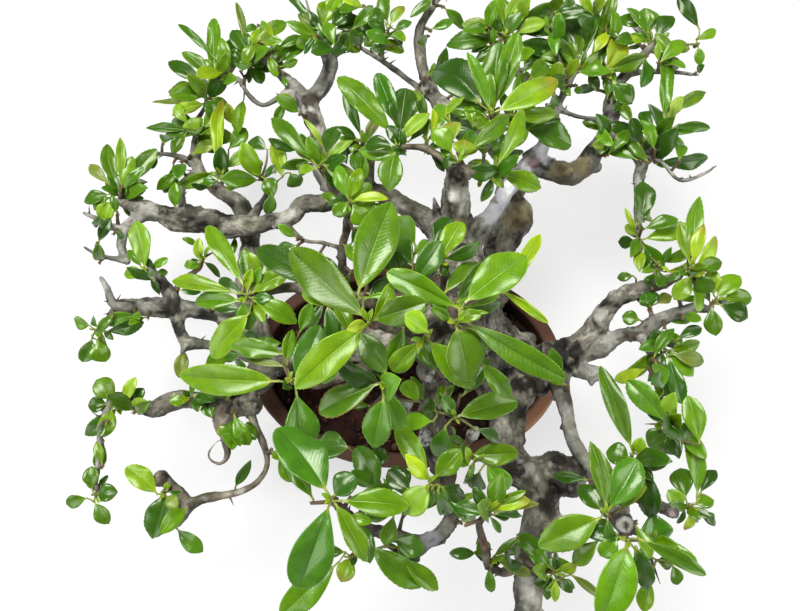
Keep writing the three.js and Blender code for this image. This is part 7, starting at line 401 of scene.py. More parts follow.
 [[-168.5,67.7,102.1,2.4],[-166.9,73.6,110.1],[0.16,0.59,0.79],[[[-167.6,73.7,109.1],[-169.6,82.9,114.7],5.0,"d",0]]],
 [[-29.7,46.6,157.6,2.1],[-27.1,39.5,157.4],[0.34,-0.94,-0.02],[[[-26.5,40.4,157.5],[-12.7,43.7,157.3],5.3,"d",1]]],
 [[15.5,-7.7,201.8,3.2],[18.8,-18.1,203.4],[0.3,-0.94,0.14],[[[19.4,-17.2,203.1],[38.2,-15.8,200.7],6.6,"g",1]]],
 [[144.5,172.6,128.2,2.6],[137.9,178.4,130.3],[-0.73,0.64,0.24],[[[137.5,177.6,130.7],[122.1,170.4,139.2],7.3,"b",1]]],
 [[38.3,-117.9,135.7,2.1],[43.9,-113.3,138.5],[0.72,0.59,0.36],[[[43.1,-114.2,139.0],[43.0,-119.5,157.2],8.5,"d",1]]],
 [[122.9,-32.1,134.8,1.9],[117.3,-26.1,139.0],[-0.6,0.66,0.45],[[[117.0,-26.5,138.1],[105.5,-29.1,124.2],6.2,"y",1]]],
 [[93.0,-100.0,153.8,5.0],[93.5,-91.0,156.8],[0.05,0.95,0.31],[[[93.8,-91.9,157.4],[99.0,-86.5,171.7],7.6,"y",1]]],
 [[18.0,-60.4,192.5,1.1],[13.6,-54.6,194.4],[-0.58,0.77,0.26],[[[14.5,-54.6,193.6],[13.9,-47.5,191.6],3.3,"b",0]]],
 [[-77.2,166.9,113.5,3.0],[-77.3,165.5,123.2],[-0.0,-0.15,0.99],[[[-76.4,165.7,122.7],[-65.0,167.4,127.0],5.3,"b",1]]],
 [[-108.8,167.3,109.6,1.8],[-110.8,164.8,119.3],[-0.2,-0.24,0.95],[[[-111.5,164.5,118.7],[-124.6,155.2,128.7],7.9,"y",1]]],
 [[87.4,131.0,120.1,3.2],[83.2,130.2,127.8],[-0.47,-0.1,0.87],[[[83.1,129.4,127.1],[78.8,122.5,127.7],3.4,"y",0]]],
 [[46.4,183.3,133.7,1.3],[49.0,179.0,141.9],[0.27,-0.45,0.85],[[[48.1,178.9,141.6],[31.9,170.7,147.3],6.7,"b",1]]],
 [[-155.3,124.7,91.8,1.4],[-152.9,120.0,97.5],[0.3,-0.61,0.73],[[[-153.7,119.9,96.3],[-156.3,111.0,95.8],4.0,"b",0],[[-153.8,119.8,97.2],[-162.7,110.8,101.5],6.1,"d",1]]],
 [[169.6,154.4,129.9,1.2],[167.9,150.0,136.4],[-0.2,-0.55,0.81],[[[168.5,150.9,136.6],[168.3,147.5,146.8],4.5,"g",0]]],
 [[-87.9,183.3,120.2,1.5],[-89.1,180.2,127.5],[-0.15,-0.38,0.91],[[[-88.1,180.4,126.9],[-74.5,178.4,130.5],6.5,"b",1]]],
 [[125.2,149.8,117.0,4.6],[113.2,149.8,121.9],[-0.93,0.0,0.38],[[[113.9,150.3,120.8],[105.6,159.5,106.4],6.4,"d",1]]],
 [[153.3,158.1,127.5,1.6],[152.9,161.0,131.2],[-0.09,0.61,0.79],[[[153.5,160.0,131.0],[161.2,151.9,138.6],5.4,"p",1]]],
 [[-169.8,84.3,102.9,2.8],[-167.2,91.5,108.9],[0.27,0.73,0.62],[[[-166.6,90.9,108.0],[-154.3,101.9,113.0],6.4,"d",1]]],
 [[-50.2,103.6,113.7,5.0],[-63.3,100.3,116.3],[-0.95,-0.24,0.19],[[[-62.9,99.9,117.0],[-72.0,94.8,123.6],5.0,"d",1]]],
 [[-47.3,173.0,119.7,4.0],[-37.5,174.9,124.9],[0.87,0.16,0.46],[[[-37.6,174.0,125.1],[-30.9,170.1,130.1],3.7,"d",0]]],
 [[7.8,-29.4,213.8,3.7],[13.1,-30.7,217.8],[0.79,-0.18,0.58],[[[12.4,-31.4,217.7],[10.7,-41.4,222.2],4.0,"d",1]]],
 [[-32.0,-0.8,171.3,3.5],[-35.6,-5.9,178.3],[-0.39,-0.55,0.74],[[[-34.7,-6.1,177.5],[-25.7,-21.1,179.4],7.0,"b",1],[[-36.2,-5.1,177.6],[-46.7,-4.9,180.6],4.9,"b",1]]],
 [[-29.2,-93.3,191.3,1.2],[-24.8,-100.0,192.7],[0.54,-0.82,0.17],[[[-24.1,-99.4,192.7],[-14.2,-101.6,194.4],4.7,"b",1]]],
 [[14.0,-41.0,174.9,1.9],[12.4,-40.5,182.9],[-0.2,0.06,0.98],[[[12.2,-39.7,182.2],[5.0,-25.0,188.8],8.2,"b",1]]],
 [[-110.5,18.3,92.1,5.3],[-110.6,17.4,101.7],[-0.01,-0.09,1.0],[[[-109.7,17.4,100.9],[-92.6,15.9,105.8],7.2,"d",1]]],
 [[-52.7,111.8,111.9,5.0],[-62.9,110.0,117.2],[-0.88,-0.16,0.45],[[[-63.1,110.7,116.7],[-80.9,116.8,119.7],6.3,"d",1]]],
 [[96.2,-75.9,162.7,1.1],[100.5,-77.9,165.3],[0.78,-0.37,0.5],[[[100.2,-77.4,166.0],[106.8,-78.2,176.0],4.3,"b",1]]],
 [[-97.1,-3.4,88.1,3.9],[-98.1,-9.1,92.0],[-0.15,-0.82,0.55],[[[-97.1,-8.6,91.9],[-87.7,-15.6,99.9],5.1,"d",1]]],
 [[-97.1,-3.4,88.1,3.9],[-97.2,-7.0,94.5],[-0.02,-0.49,0.87],[[[-98.1,-6.7,93.6],[-108.5,-16.4,106.1],8.5,"b",1]]],
 [[8.8,191.7,115.6,3.4],[14.4,189.0,122.3],[0.62,-0.3,0.72],[[[13.5,188.6,122.2],[6.4,177.7,130.3],6.0,"b",1]]],
 [[84.1,-24.4,94.6,4.9],[84.3,-21.7,102.7],[0.02,0.31,0.95],[[[83.7,-21.2,102.2],[76.8,-9.2,115.3],8.2,"b",1]]],
 [[-75.8,-61.5,90.3,1.8],[-68.1,-60.5,93.5],[0.91,0.12,0.39],[[[-68.5,-61.3,92.8],[-62.2,-75.6,84.4],8.3,"b",1]]],
 [[51.7,178.1,128.7,1.6],[51.4,174.4,131.7],[-0.04,-0.79,0.61],[[[50.6,174.3,131.4],[39.2,172.5,127.7],4.6,"d",1]]],
 [[95.2,154.1,126.4,1.7],[94.0,149.9,131.9],[-0.17,-0.6,0.78],[[[93.1,150.0,131.7],[74.2,151.4,130.3],6.4,"b",1]]],
 [[144.4,7.7,125.8,3.1],[142.7,13.5,126.8],[-0.28,0.95,0.16],[[[143.8,12.9,126.6],[154.3,14.8,126.7],3.6,"b",0]]],
 [[-36.8,-43.5,181.4,2.8],[-37.8,-46.7,189.9],[-0.11,-0.35,0.93],[[[-37.0,-46.0,189.4],[-27.6,-42.9,198.3],5.3,"g",1]]],
 [[12.0,-17.1,192.2,5.0],[15.4,-22.4,200.5],[0.32,-0.5,0.8],[[[14.6,-22.1,200.8],[4.4,-19.8,207.9],4.7,"d",1]]],
 [[-86.7,-5.7,88.0,4.9],[-85.4,0.1,96.6],[0.13,0.56,0.82],[[[-85.4,-1.0,96.5],[-82.5,0.6,115.2],8.4,"d",1]]],
 [[118.5,-49.6,146.2,1.4],[114.5,-47.0,149.0],[-0.73,0.47,0.51],[[[115.1,-46.3,148.7],[120.5,-37.5,145.9],3.9,"b",0]]],
 [[10.0,-47.9,156.7,4.5],[4.0,-54.3,164.5],[-0.51,-0.55,0.66],[[[4.9,-54.1,164.8],[11.1,-55.6,172.8],4.6,"d",0]]],
 [[-144.9,19.6,98.9,5.2],[-142.4,10.2,107.1],[0.2,-0.74,0.64],[[[-143.4,10.9,106.7],[-149.6,4.0,113.9],4.1,"b",1]]],
 [[24.7,-72.9,173.7,1.2],[23.5,-68.6,177.5],[-0.19,0.73,0.65],[[[22.9,-69.6,177.0],[16.6,-67.1,182.4],3.1,"b",0]]],
 [[85.5,178.3,138.5,1.1],[83.0,176.4,143.9],[-0.4,-0.31,0.86],[[[83.6,177.4,143.5],[84.2,181.4,149.9],2.8,"b",0]]],
 [[66.4,173.6,117.6,2.5],[65.6,168.8,125.2],[-0.09,-0.53,0.84],[[[66.4,169.0,125.4],[74.8,163.5,139.3],7.5,"b",1]]],
 [[11.2,-61.5,145.4,4.2],[18.7,-54.2,138.8],[0.61,0.58,-0.54],[[[18.1,-55.6,138.8],[23.5,-57.1,129.4],3.7,"b",0]]],
 [[-136.2,109.6,86.8,2.2],[-139.4,112.4,93.2],[-0.41,0.37,0.83],[[[-139.6,111.4,92.2],[-153.8,99.6,90.3],7.5,"p",1]]],
 [[131.1,-9.3,121.2,1.2],[133.8,-14.7,118.2],[0.4,-0.8,-0.45],[[[132.8,-14.6,118.8],[123.6,-28.8,120.5],7.0,"d",1]]],
 [[-163.1,-45.4,97.3,1.9],[-158.6,-45.5,101.1],[0.76,-0.01,0.65],[[[-159.7,-46.3,100.6],[-161.8,-54.5,102.3],3.1,"d",0]]],
]
# patches of bark that look different, the dark kind partly painted shade: x, y, z, radius, kind
PATCHES = [
 [58.5,80.5,121.8,11.3,"pale"],
 [70.2,95.4,118.4,8.1,"pale"],
 [81.1,109.2,117.7,7.6,"pale"],
 [48.3,64.8,125.2,7.7,"pale"],
 [74.1,102.1,118.4,3.5,"pink"],
 [89.9,96.0,112.9,9.4,"olive"],
 [101.9,101.0,113.6,8.2,"olive"],
 [106.8,115.1,110.5,6.0,"dark"],
 [9.3,-41.4,177.8,3.0,"white"],
 [7.4,-63.1,147.8,3.7,"white"],
 [12.9,-33.8,176.1,1.7,"white"],
 [79.9,-75.9,108.5,7.6,"dark"],
 [86.6,-72.1,109.5,5.6,"dark"],
 [60.6,-11.5,93.1,4.5,"dark"],
 [70.9,-21.4,91.4,6.1,"dark"],
 [49.4,-2.9,87.3,5.1,"dark"],
 [84.7,-3.9,100.6,6.1,"dark"],
 [58.6,5.3,86.0,4.6,"dark"],
 [66.8,-17.0,94.2,3.9,"dark"],
 [63.6,-38.9,91.8,3.8,"dark"],
 [68.7,-89.2,109.2,4.0,"dark"],
 [62.8,-71.7,106.4,4.1,"grey"],
 [88.1,-14.8,98.9,4.9,"dark"],
 [92.4,-13.9,99.6,3.3,"dark"],
 [45.6,1.5,92.4,5.7,"dark"],
 [76.9,-82.1,106.1,4.6,"dark"],
 [66.1,-0.3,90.7,5.1,"dark"],
 [71.6,-85.3,108.8,5.0,"dark"],
 [9.4,-36.9,230.8,4.0,"dark"],
 [12.5,-36.0,233.8,2.5,"dark"],
 [21.8,53.7,188.4,4.6,"dark"],
 [23.7,45.4,178.9,6.6,"grey"],
 [58.3,-123.9,113.6,7.6,"grey"],
 [27.4,43.2,173.0,4.8,"grey"],
 [17.7,-78.2,161.1,4.3,"red"],
 [31.4,-109.2,166.6,4.1,"red"],
 [-69.0,69.3,115.3,5.7,"grey"],
 [-150.6,78.4,104.1,5.3,"grey"],
 [-113.9,-34.7,90.4,5.5,"dark"],
 [-137.8,29.5,107.8,5.0,"dark"],
 [-129.6,6.1,98.6,5.6,"dark"],
 [-86.7,-80.8,97.2,3.1,"grey"],
 [55.7,-16.1,90.7,5.0,"dark"],
 [61.8,-23.3,92.1,5.0,"dark"],
 [75.0,-14.6,98.3,5.0,"dark"],
 [78.3,-66.8,107.5,4.6,"dark"],
 [72.0,-92.5,109.2,4.5,"dark"],
 [-114.4,14.2,95.5,6.8,"dark"],
 [-131.9,19.8,101.7,5.6,"dark"],
 [-57.5,132.7,115.7,5.4,"dark"],
 [92.0,-7.1,103.7,4.9,"dark"],
 [-44.0,96.1,119.4,5.2,"dark"],
 [-6.3,60.0,144.7,4.7,"grey"],
 [-57.9,145.7,117.4,5.4,"dark"],
 [17.9,45.0,172.7,3.8,"olive"],
 [24.4,37.4,166.6,3.9,"olive"],
 [53.6,-115.0,116.4,5.7,"grey"],
 [11.5,-106.1,122.2,5.7,"pale"],
 [17.7,-100.7,123.9,4.3,"grey"],
 [59.8,-132.6,115.3,6.6,"grey"],
 [54.2,-71.3,102.7,6.2,"dark"],
 [49.9,-49.5,96.5,5.4,"grey"],
 [28.1,-63.8,171.0,3.5,"white"],
 [74.2,101.8,117.7,3.7,"pink"],
 [88.3,-101.6,173.4,4.5,"grey"],
 [88.3,-101.6,173.4,1.8,"dark"],
 [-125.3,-75.8,106.9,3.8,"dark"],
 [116.1,-95.1,150.8,2.8,"pink"],
 [10.0,-40.6,171.2,2.5,"white"],
 [7.3,-63.5,150.3,3.8,"white"],
 [-0.2,-53.0,177.3,2.7,"white"],
 [69.0,81.8,92.4,11.6,"olive"],
 [93.3,98.0,114.1,5.9,"olive"],
 [7.7,-3.7,88.2,5.1,"grey"],
 [20.5,34.1,165.6,4.3,"olive"],
 [74.3,-23.9,90.0,7.8,"dark"],
 [104.9,8.5,112.1,5.5,"grey"],
 [78.6,-5.4,97.8,6.3,"dark"],
 [-73.3,150.3,113.1,6.2,"grey"],
]
# lumps and cut stubs: end point, radius, point on the wood below, radius there, end shape
KNOBS = [
 [28.1,-63.8,171.0,2.78,23.6,-69.3,169.3,1.45,"ball"],
 [74.2,101.8,117.7,2.95,76.3,108.7,113.3,4.8,"ball"],
 [88.3,-101.6,173.4,3.56,89.5,-100.9,164.4,1.78,"cut"],
 [-125.3,-75.8,106.9,3.05,-124.0,-76.0,106.9,3.45,"flare"],
 [116.1,-95.1,150.8,2.2,115.3,-94.5,150.8,3.05,"cut"],
 [10.0,-40.6,171.2,2.02,10.6,-35.9,166.7,4.94,"ball"],
 [7.3,-63.5,150.3,3.01,11.1,-60.6,146.1,4.23,"ball"],
 [-0.2,-53.0,177.3,2.14,-2.4,-55.0,174.0,2.58,"ball"],
 [69.0,81.8,92.4,9.27,65.7,93.8,87.4,10.0,"ball"],
 [93.3,98.0,114.1,4.74,90.5,101.3,109.1,6.1,"ball"],
 [7.7,-3.7,88.2,4.1,1.5,7.1,79.5,11.47,"ball"],
 [20.5,34.1,165.6,3.46,23.7,40.8,160.6,6.09,"ball"],
 [74.3,-23.9,90.0,6.25,76.2,-10.9,86.0,12.09,"ball"],
 [104.9,8.5,112.1,4.41,109.3,12.0,107.5,5.3,"ball"],
 [78.6,-5.4,97.8,5.06,88.0,-7.7,92.0,9.6,"ball"],
 [-73.3,150.3,113.1,4.93,-73.6,154.8,110.8,2.6,"ball"],
]

CAM = np.array([-3.65, -115.1, 471.6])


# ---------------------------------------------------------------- noise
def lattice(ix, iy, iz, seed):
    h = (ix.astype(np.uint32) * np.uint32(374761393) + iy.astype(np.uint32) * np.uint32(668265263)
         + iz.astype(np.uint32) * np.uint32(2246822519) + np.uint32((seed * 3266489917) & 0xFFFFFFFF))
    h ^= h >> np.uint32(13)
    h *= np.uint32(1274126177)
    h ^= h >> np.uint32(16)
    return h.astype(np.float64) / 4294967295.0


def noise3(p, seed=0):
    """smooth value noise in -1..1 at each row of p"""
    f = np.floor(p)
    t = p - f
    t = t * t * t * (t * (t * 6 - 15) + 10)
    i = f.astype(np.int64)
    out = 0
    for dx in (0, 1):
        wx = t[:, 0] if dx else 1 - t[:, 0]
        for dy in (0, 1):
            wy = t[:, 1] if dy else 1 - t[:, 1]
            for dz in (0, 1):
                wz = t[:, 2] if dz else 1 - t[:, 2]
                out = out + wx * wy * wz * lattice(i[:, 0] + dx, i[:, 1] + dy, i[:, 2] + dz, seed)
    return out * 2 - 1


def fbm(p, octaves=3, seed=0, gain=0.5):
    out, a, tot = 0, 1.0, 0.0
    for k in range(octaves):
        out = out + a * noise3(p * (2.03 ** k) + 17.3 * k, seed + k)
        tot += a
        a *= gain
    return out / tot * 1.6


def cells(p, seed=0):
    """distance to the nearest and second nearest feature point, and the nearest one's own random number"""
    f = np.floor(p).astype(np.int64)
    d1 = np.full(len(p), 9.0)
    d2 = np.full(len(p), 9.0)
    own = np.zeros(len(p))
    for dx in (-1, 0, 1):
        for dy in (-1, 0, 1):
            for dz in (-1, 0, 1):
                c = f + (dx, dy, dz)
                q = np.stack([c[:, k] + lattice(c[:, 0], c[:, 1], c[:, 2], seed + 7 * k + 1) for k in range(3)], 1)
                d = np.linalg.norm(q - p, axis=1)
                near = d < d1
                d2 = np.where(near, d1, np.minimum(d2, d))
                own = np.where(near, lattice(c[:, 0], c[:, 1], c[:, 2], seed + 99), own)
                d1 = np.where(near, d, d1)
    return d1, d2, own


def ramp(x, a, b):
    t = np.clip((x - a) / (b - a), 0, 1)
    return t * t * (3 - 2 * t)


def lin(hexcol):
    """linear colour from an sRGB hex string"""
    c = [int(hexcol[i:i + 2], 16) / 255 for i in (0, 2, 4)]
    return np.array([v / 12.92 if v <= 0.04045 else ((v + 0.055) / 1.055) ** 2.4 for v in c])


def unit(v):
    v = np.asarray(v, float)
    return v / (np.linalg.norm(v) + 1e-12)


# ---------------------------------------------------------------- meshes
class Pile:
    """collects quads and triangles with per-vertex values, then writes one mesh"""

    def __init__(self):
        self.v, self.q, self.t, self.n, self.attr = [], [], [], 0, {}

    def add(self, verts, quads=(), tris=(), **attr):
        verts = np.asarray(verts, float)
        m = len(verts)
        self.v.append(verts)
        if len(quads):
            self.q.append(np.asarray(quads, np.int64) + self.n)
        if len(tris):
            self.t.append(np.asarray(tris, np.int64) + self.n)
        for k, val in attr.items():
            val = np.asarray(val, float)
            if val.ndim == 0 or (val.ndim == 1 and len(val) != m):
                val = np.broadcast_to(val, (m,) + val.shape).copy()
            self.attr.setdefault(k, []).append(val)
        self.n += m

    def build(self, name, smooth=True):
        V = np.concatenate(self.v) * MM
        Q = np.concatenate(self.q) if self.q else np.zeros((0, 4), np.int64)
        T = np.concatenate(self.t) if self.t else np.zeros((0, 3), np.int64)
        me = bpy.data.meshes.new(name)
        me.vertices.add(len(V))
        me.vertices.foreach_set("co", V.astype(np.float32).ravel())
        me.loops.add(Q.size + T.size)
        me.loops.foreach_set("vertex_index", np.concatenate([Q.ravel(), T.ravel()]).astype(np.int32))
        me.polygons.add(len(Q) + len(T))
        start = np.concatenate([np.arange(len(Q)) * 4, len(Q) * 4 + np.arange(len(T)) * 3])
        me.polygons.foreach_set("loop_start", start.astype(np.int32))
        me.polygons.foreach_set("use_smooth", np.full(len(Q) + len(T), smooth))
        me.update(calc_edges=True)
        me.validate(verbose=False)
        for k, parts in self.attr.items():
            put_attr(me, k, np.concatenate(parts))
        ob = bpy.data.objects.new(name, me)
        bpy.context.scene.collection.objects.link(ob)
        return ob


def put_attr(me, name, val):
    if val.ndim == 1:
        a = me.attributes.new(name, "FLOAT", "POINT")
        a.data.foreach_set("value", val.astype(np.float32))
    elif val.shape[1] == 2:
        val = np.concatenate([val, np.zeros((len(val), 1))], 1)
        a = me.attributes.new(name, "FLOAT_VECTOR", "POINT")
        a.data.foreach_set("vector", val.astype(np.float32).ravel())
    elif name.startswith("col"):
        a = me.attributes.new(name, "FLOAT_COLOR", "POINT")
        a.data.foreach_set("color", np.concatenate([val, np.ones((len(val), 1))], 1).astype(np.float32).ravel())
    else:
        a = me.attributes.new(name, "FLOAT_VECTOR", "POINT")
        a.data.foreach_set("vector", val.astype(np.float32).ravel())


def curve_points(pts, step):
    """rows x, y, z, r along a smooth curve through pts, about step mm apart, with arc length"""
    P = np.asarray(pts, float)
    if len(P) == 2:
        P = np.array([P[0], (P[0] + P[1]) / 2, P[1]])
    ext = np.vstack([2 * P[0] - P[1], P, 2 * P[-1] - P[-2]])
    out = []
    for k in range(1, len(ext) - 2):
        p0, p1, p2, p3 = ext[k - 1:k + 3]
        L = np.linalg.norm(p2[:3] - p1[:3])
        n = max(1, int(math.ceil(L / step)))
        for j in range(n):
            t = j / n
            q = 0.5 * (2 * p1 + (p2 - p0) * t + (2 * p0 - 5 * p1 + 4 * p2 - p3) * t * t + (3 * p1 - p0 - 3 * p2 + p3) * t ** 3)
            q[3] = p1[3] + (p2[3] - p1[3]) * (t * t * (3 - 2 * t))
            out.append(q)
    out.append(ext[-2].copy())
    out = np.array(out)
    s = np.concatenate([[0], np.cumsum(np.linalg.norm(np.diff(out[:, :3], axis=0), axis=1))])
    return out, s


def frames_along(P):
    """unit tangent and two normals at each point, carried along without twist"""
    T = np.gradient(P, axis=0)
    T /= np.linalg.norm(T, axis=1)[:, None] + 1e-9
    a = np.array([0, 0, 1.0]) if abs(T[0][2]) < 0.9 else np.array([1.0, 0, 0])
    N = np.zeros_like(P)
    n = unit(a - T[0] * (a @ T[0]))
    for k in range(len(P)):
        n = unit(n - T[k] * (n @ T[k]))
        N[k] = n
    return T, N, np.cross(T, N)


def tube(pile, rows, sides, end="round", start="flat", shape=None, **attr):
    """closed tube through rows of x, y, z, r; shape(s, phi) scales the radius"""
    P, R = rows[:, :3], rows[:, 3].copy()
    T, N, B = frames_along(P)
    s = np.concatenate([[0], np.cumsum(np.linalg.norm(np.diff(P, axis=0), axis=1))])
    rings, rad, tv = [P], [R], [s]
    if end == "round":
        extra = [(0.45, 0.89), (0.8, 0.6), (0.97, 0.25)]
        P2 = np.array([P[-1] + T[-1] * R[-1] * d for d, _ in extra])
        P = np.vstack([P, P2])
        R = np.concatenate([R, [R[-1] * k for _, k in extra]])
        T = np.vstack([T, np.repeat(T[-1:], 3, 0)])
        N = np.vstack([N, np.repeat(N[-1:], 3, 0)])
        B = np.vstack([B, np.repeat(B[-1:], 3, 0)])
        s = np.concatenate([s, s[-1] + np.array([d for d, _ in extra]) * rows[-1, 3]])
    m = len(P)
    phi = np.arange(sides) * 2 * math.pi / sides
    S, F = np.meshgrid(s, phi, indexing="ij")
    k = shape(S, F) if shape is not None else 1.0
    RR = R[:, None] * k
    V = P[:, None, :] + (N[:, None, :] * np.cos(phi)[None, :, None] + B[:, None, :] * np.sin(phi)[None, :, None]) * RR[:, :, None]
    V = V.reshape(-1, 3)
    idx = np.arange(m * sides).reshape(m, sides)
    nx = np.roll(idx, -1, axis=1)
    quads = np.stack([idx[:-1], nx[:-1], nx[1:], idx[1:]], -1).reshape(-1, 4)
    V = np.vstack([V, P[0], P[-1] + T[-1] * (R[-1] * 0.25 if end == "round" else 0)])
    c0, c1 = m * sides, m * sides + 1
    tris = [(c0, nx[0][k], idx[0][k]) for k in range(sides)] + [(c1, idx[-1][k], nx[-1][k]) for k in range(sides)]
    vals = {}
    for key, val in attr.items():
        val = np.asarray(val, float)
        if val.ndim >= 1 and len(val) == len(rows):
            if m > len(rows):
                val = np.concatenate([val, np.repeat(val[-1:], m - len(rows), 0)])
            full = np.repeat(val, sides, axis=0)
            full = np.concatenate([full, val[:1], val[-1:]])
            vals[key] = full
        else:
            vals[key] = val
    pile.add(V, quads, tris, **vals)
    return len(V)


def apply_modifier(ob, kind, **props):
    """adds a modifier, and puts its result in a new mesh on the object"""
    mod = ob.modifiers.new(kind, kind)
    for k, v in props.items():
        setattr(mod, k, v)
    dg = bpy.context.evaluated_depsgraph_get()
    me = bpy.data.meshes.new_from_object(ob.evaluated_get(dg))
    ob.modifiers.clear()
    old = ob.data
    ob.data = me
    bpy.data.meshes.remove(old)
    return me


def coords(me):
    a = np.empty(len(me.vertices) * 3, np.float32)
    me.vertices.foreach_get("co", a)
    return a.reshape(-1, 3).astype(np.float64) / MM


def set_coords(me, V):
    me.vertices.foreach_set("co", (V * MM).astype(np.float32).ravel())
    me.update()


def normals(me):
    a = np.empty(len(me.vertices) * 3, np.float32)
    me.vertex_normals.foreach_get("vector", a)
    return a.reshape(-1, 3).astype(np.float64)


def relax(me, V, rounds, k=0.5, keep=None):
    e = np.empty(len(me.edges) * 2, np.int32)
    me.edges.foreach_get("vertices", e)
    e = e.reshape(-1, 2)
    n = len(V)
    cnt = np.bincount(e.ravel(), minlength=n).astype(float)
    for _ in range(rounds):
        acc = np.stack([np.bincount(e[:, 0], V[e[:, 1], a], n) + np.bincount(e[:, 1], V[e[:, 0], a], n) for a in range(3)], 1)
        new = acc / np.maximum(cnt, 1)[:, None]
        w = k if keep is None else k * keep[:, None]
        V = V + (new - V) * w
    return V


# ---------------------------------------------------------------- node materials
class Nodes:
    def __init__(self, name):
        self.mat = bpy.data.materials.new(name)
        self.mat.use_nodes = True
        self.t = self.mat.node_tree
        self.t.nodes.clear()
        self.out = self.t.nodes.new("ShaderNodeOutputMaterial")
        self.bsdf = self.t.nodes.new("ShaderNodeBsdfPrincipled")
        self.t.links.new(self.bsdf.outputs[0], self.out.inputs[0])

    def link(self, a, b):
        self.t.links.new(a, b)

    def _put(self, sock, val):
        if isinstance(val, bpy.types.NodeSocket):
            self.t.links.new(val, sock)
        elif val is not None:
            sock.default_value = val

    def attr(self, name, out="Color"):
        n = self.t.nodes.new("ShaderNodeAttribute")
        n.attribute_name = name
        return n.outputs[out]

    def coord(self, what="Object"):
        return self.t.nodes.new("ShaderNodeTexCoord").outputs[what]

    def math(self, op, a, b=None, c=None, clamp=False):
        n = self.t.nodes.new("ShaderNodeMath")
        n.operation = op
        n.use_clamp = clamp
        self._put(n.inputs[0], a)
        if b is not None:
            self._put(n.inputs[1], b)
        if c is not None:
            self._put(n.inputs[2], c)
        return n.outputs[0]

    def vmath(self, op, a, b=None):
        n = self.t.nodes.new("ShaderNodeVectorMath")
        n.operation = op
        self._put(n.inputs[0], a)
        if b is not None:
            self._put(n.inputs[1], b)
        return n.outputs["Value" if op in ("DOT_PRODUCT", "LENGTH", "DISTANCE") else "Vector"]

    def scale(self, vec, x, y, z):
        n = self.t.nodes.new("ShaderNodeMapping")
        n.inputs["Scale"].default_value = (x, y, z)
        self.t.links.new(vec, n.inputs["Vector"])
        return n.outputs[0]

    def sep(self, vec):
        n = self.t.nodes.new("ShaderNodeSeparateXYZ")
        self.t.links.new(vec, n.inputs[0])
        return n.outputs

    def comb(self, x, y, z):
        n = self.t.nodes.new("ShaderNodeCombineXYZ")
        for s, v in zip(n.inputs, (x, y, z)):
            self._put(s, v)
        return n.outputs[0]

    def noise(self, vec, scale, detail=3.0, rough=0.5, out="Fac", distortion=0.0):
        n = self.t.nodes.new("ShaderNodeTexNoise")
        self.t.links.new(vec, n.inputs["Vector"])
        n.inputs["Scale"].default_value = scale
        n.inputs["Detail"].default_value = detail
        n.inputs["Roughness"].default_value = rough
        n.inputs["Distortion"].default_value = distortion
        return n.outputs[out]

    def voronoi(self, vec, scale, feature="F1", out="Distance", rand=1.0):
        n = self.t.nodes.new("ShaderNodeTexVoronoi")
        n.feature = feature
        self.t.links.new(vec, n.inputs["Vector"])
        n.inputs["Scale"].default_value = scale
        n.inputs["Randomness"].default_value = rand
        return n.outputs[out]

    def ramp(self, fac, stops, interp="LINEAR"):
        n = self.t.nodes.new("ShaderNodeValToRGB")
        n.color_ramp.interpolation = interp
        e = n.color_ramp.elements
        while len(e) > 1:
            e.remove(e[-1])
        for k, (pos, col) in enumerate(stops):
            el = e[0] if k == 0 else e.new(pos)
            el.position = pos
            el.color = (*col, 1.0) if len(col) == 3 else col
        self.t.links.new(fac, n.inputs[0])
        return n.outputs[0]

    def band(self, x, a, b):
        """smooth 0..1 step as x goes from a to b"""
        n = self.t.nodes.new("ShaderNodeMapRange")
        n.interpolation_type = "SMOOTHSTEP"
        self._put(n.inputs["Value"], x)
        n.inputs["From Min"].default_value = a
        n.inputs["From Max"].default_value = b
        return n.outputs[0]

    def mix(self, fac, a, b, mode="MIX"):
        n = self.t.nodes.new("ShaderNodeMix")
        n.data_type = "RGBA"
        n.blend_type = mode
        self._put(n.inputs[0], fac)
        for s, v in ((n.inputs[6], a), (n.inputs[7], b)):
            if isinstance(v, bpy.types.NodeSocket):
                self.t.links.new(v, s)
            else:
                s.default_value = (*v, 1.0)
        return n.outputs[2]

    def bump(self, height, strength, distance, under=None):
        n = self.t.nodes.new("ShaderNodeBump")
        n.inputs["Strength"].default_value = strength
        n.inputs["Distance"].default_value = distance
        self.t.links.new(height, n.inputs["Height"])
        if under is not None:
            self.t.links.new(under, n.inputs["Normal"])
        return n.outputs[0]

    def set(self, **kw):
        for k, v in kw.items():
            self._put(self.bsdf.inputs[k.replace("_", " ")], v)


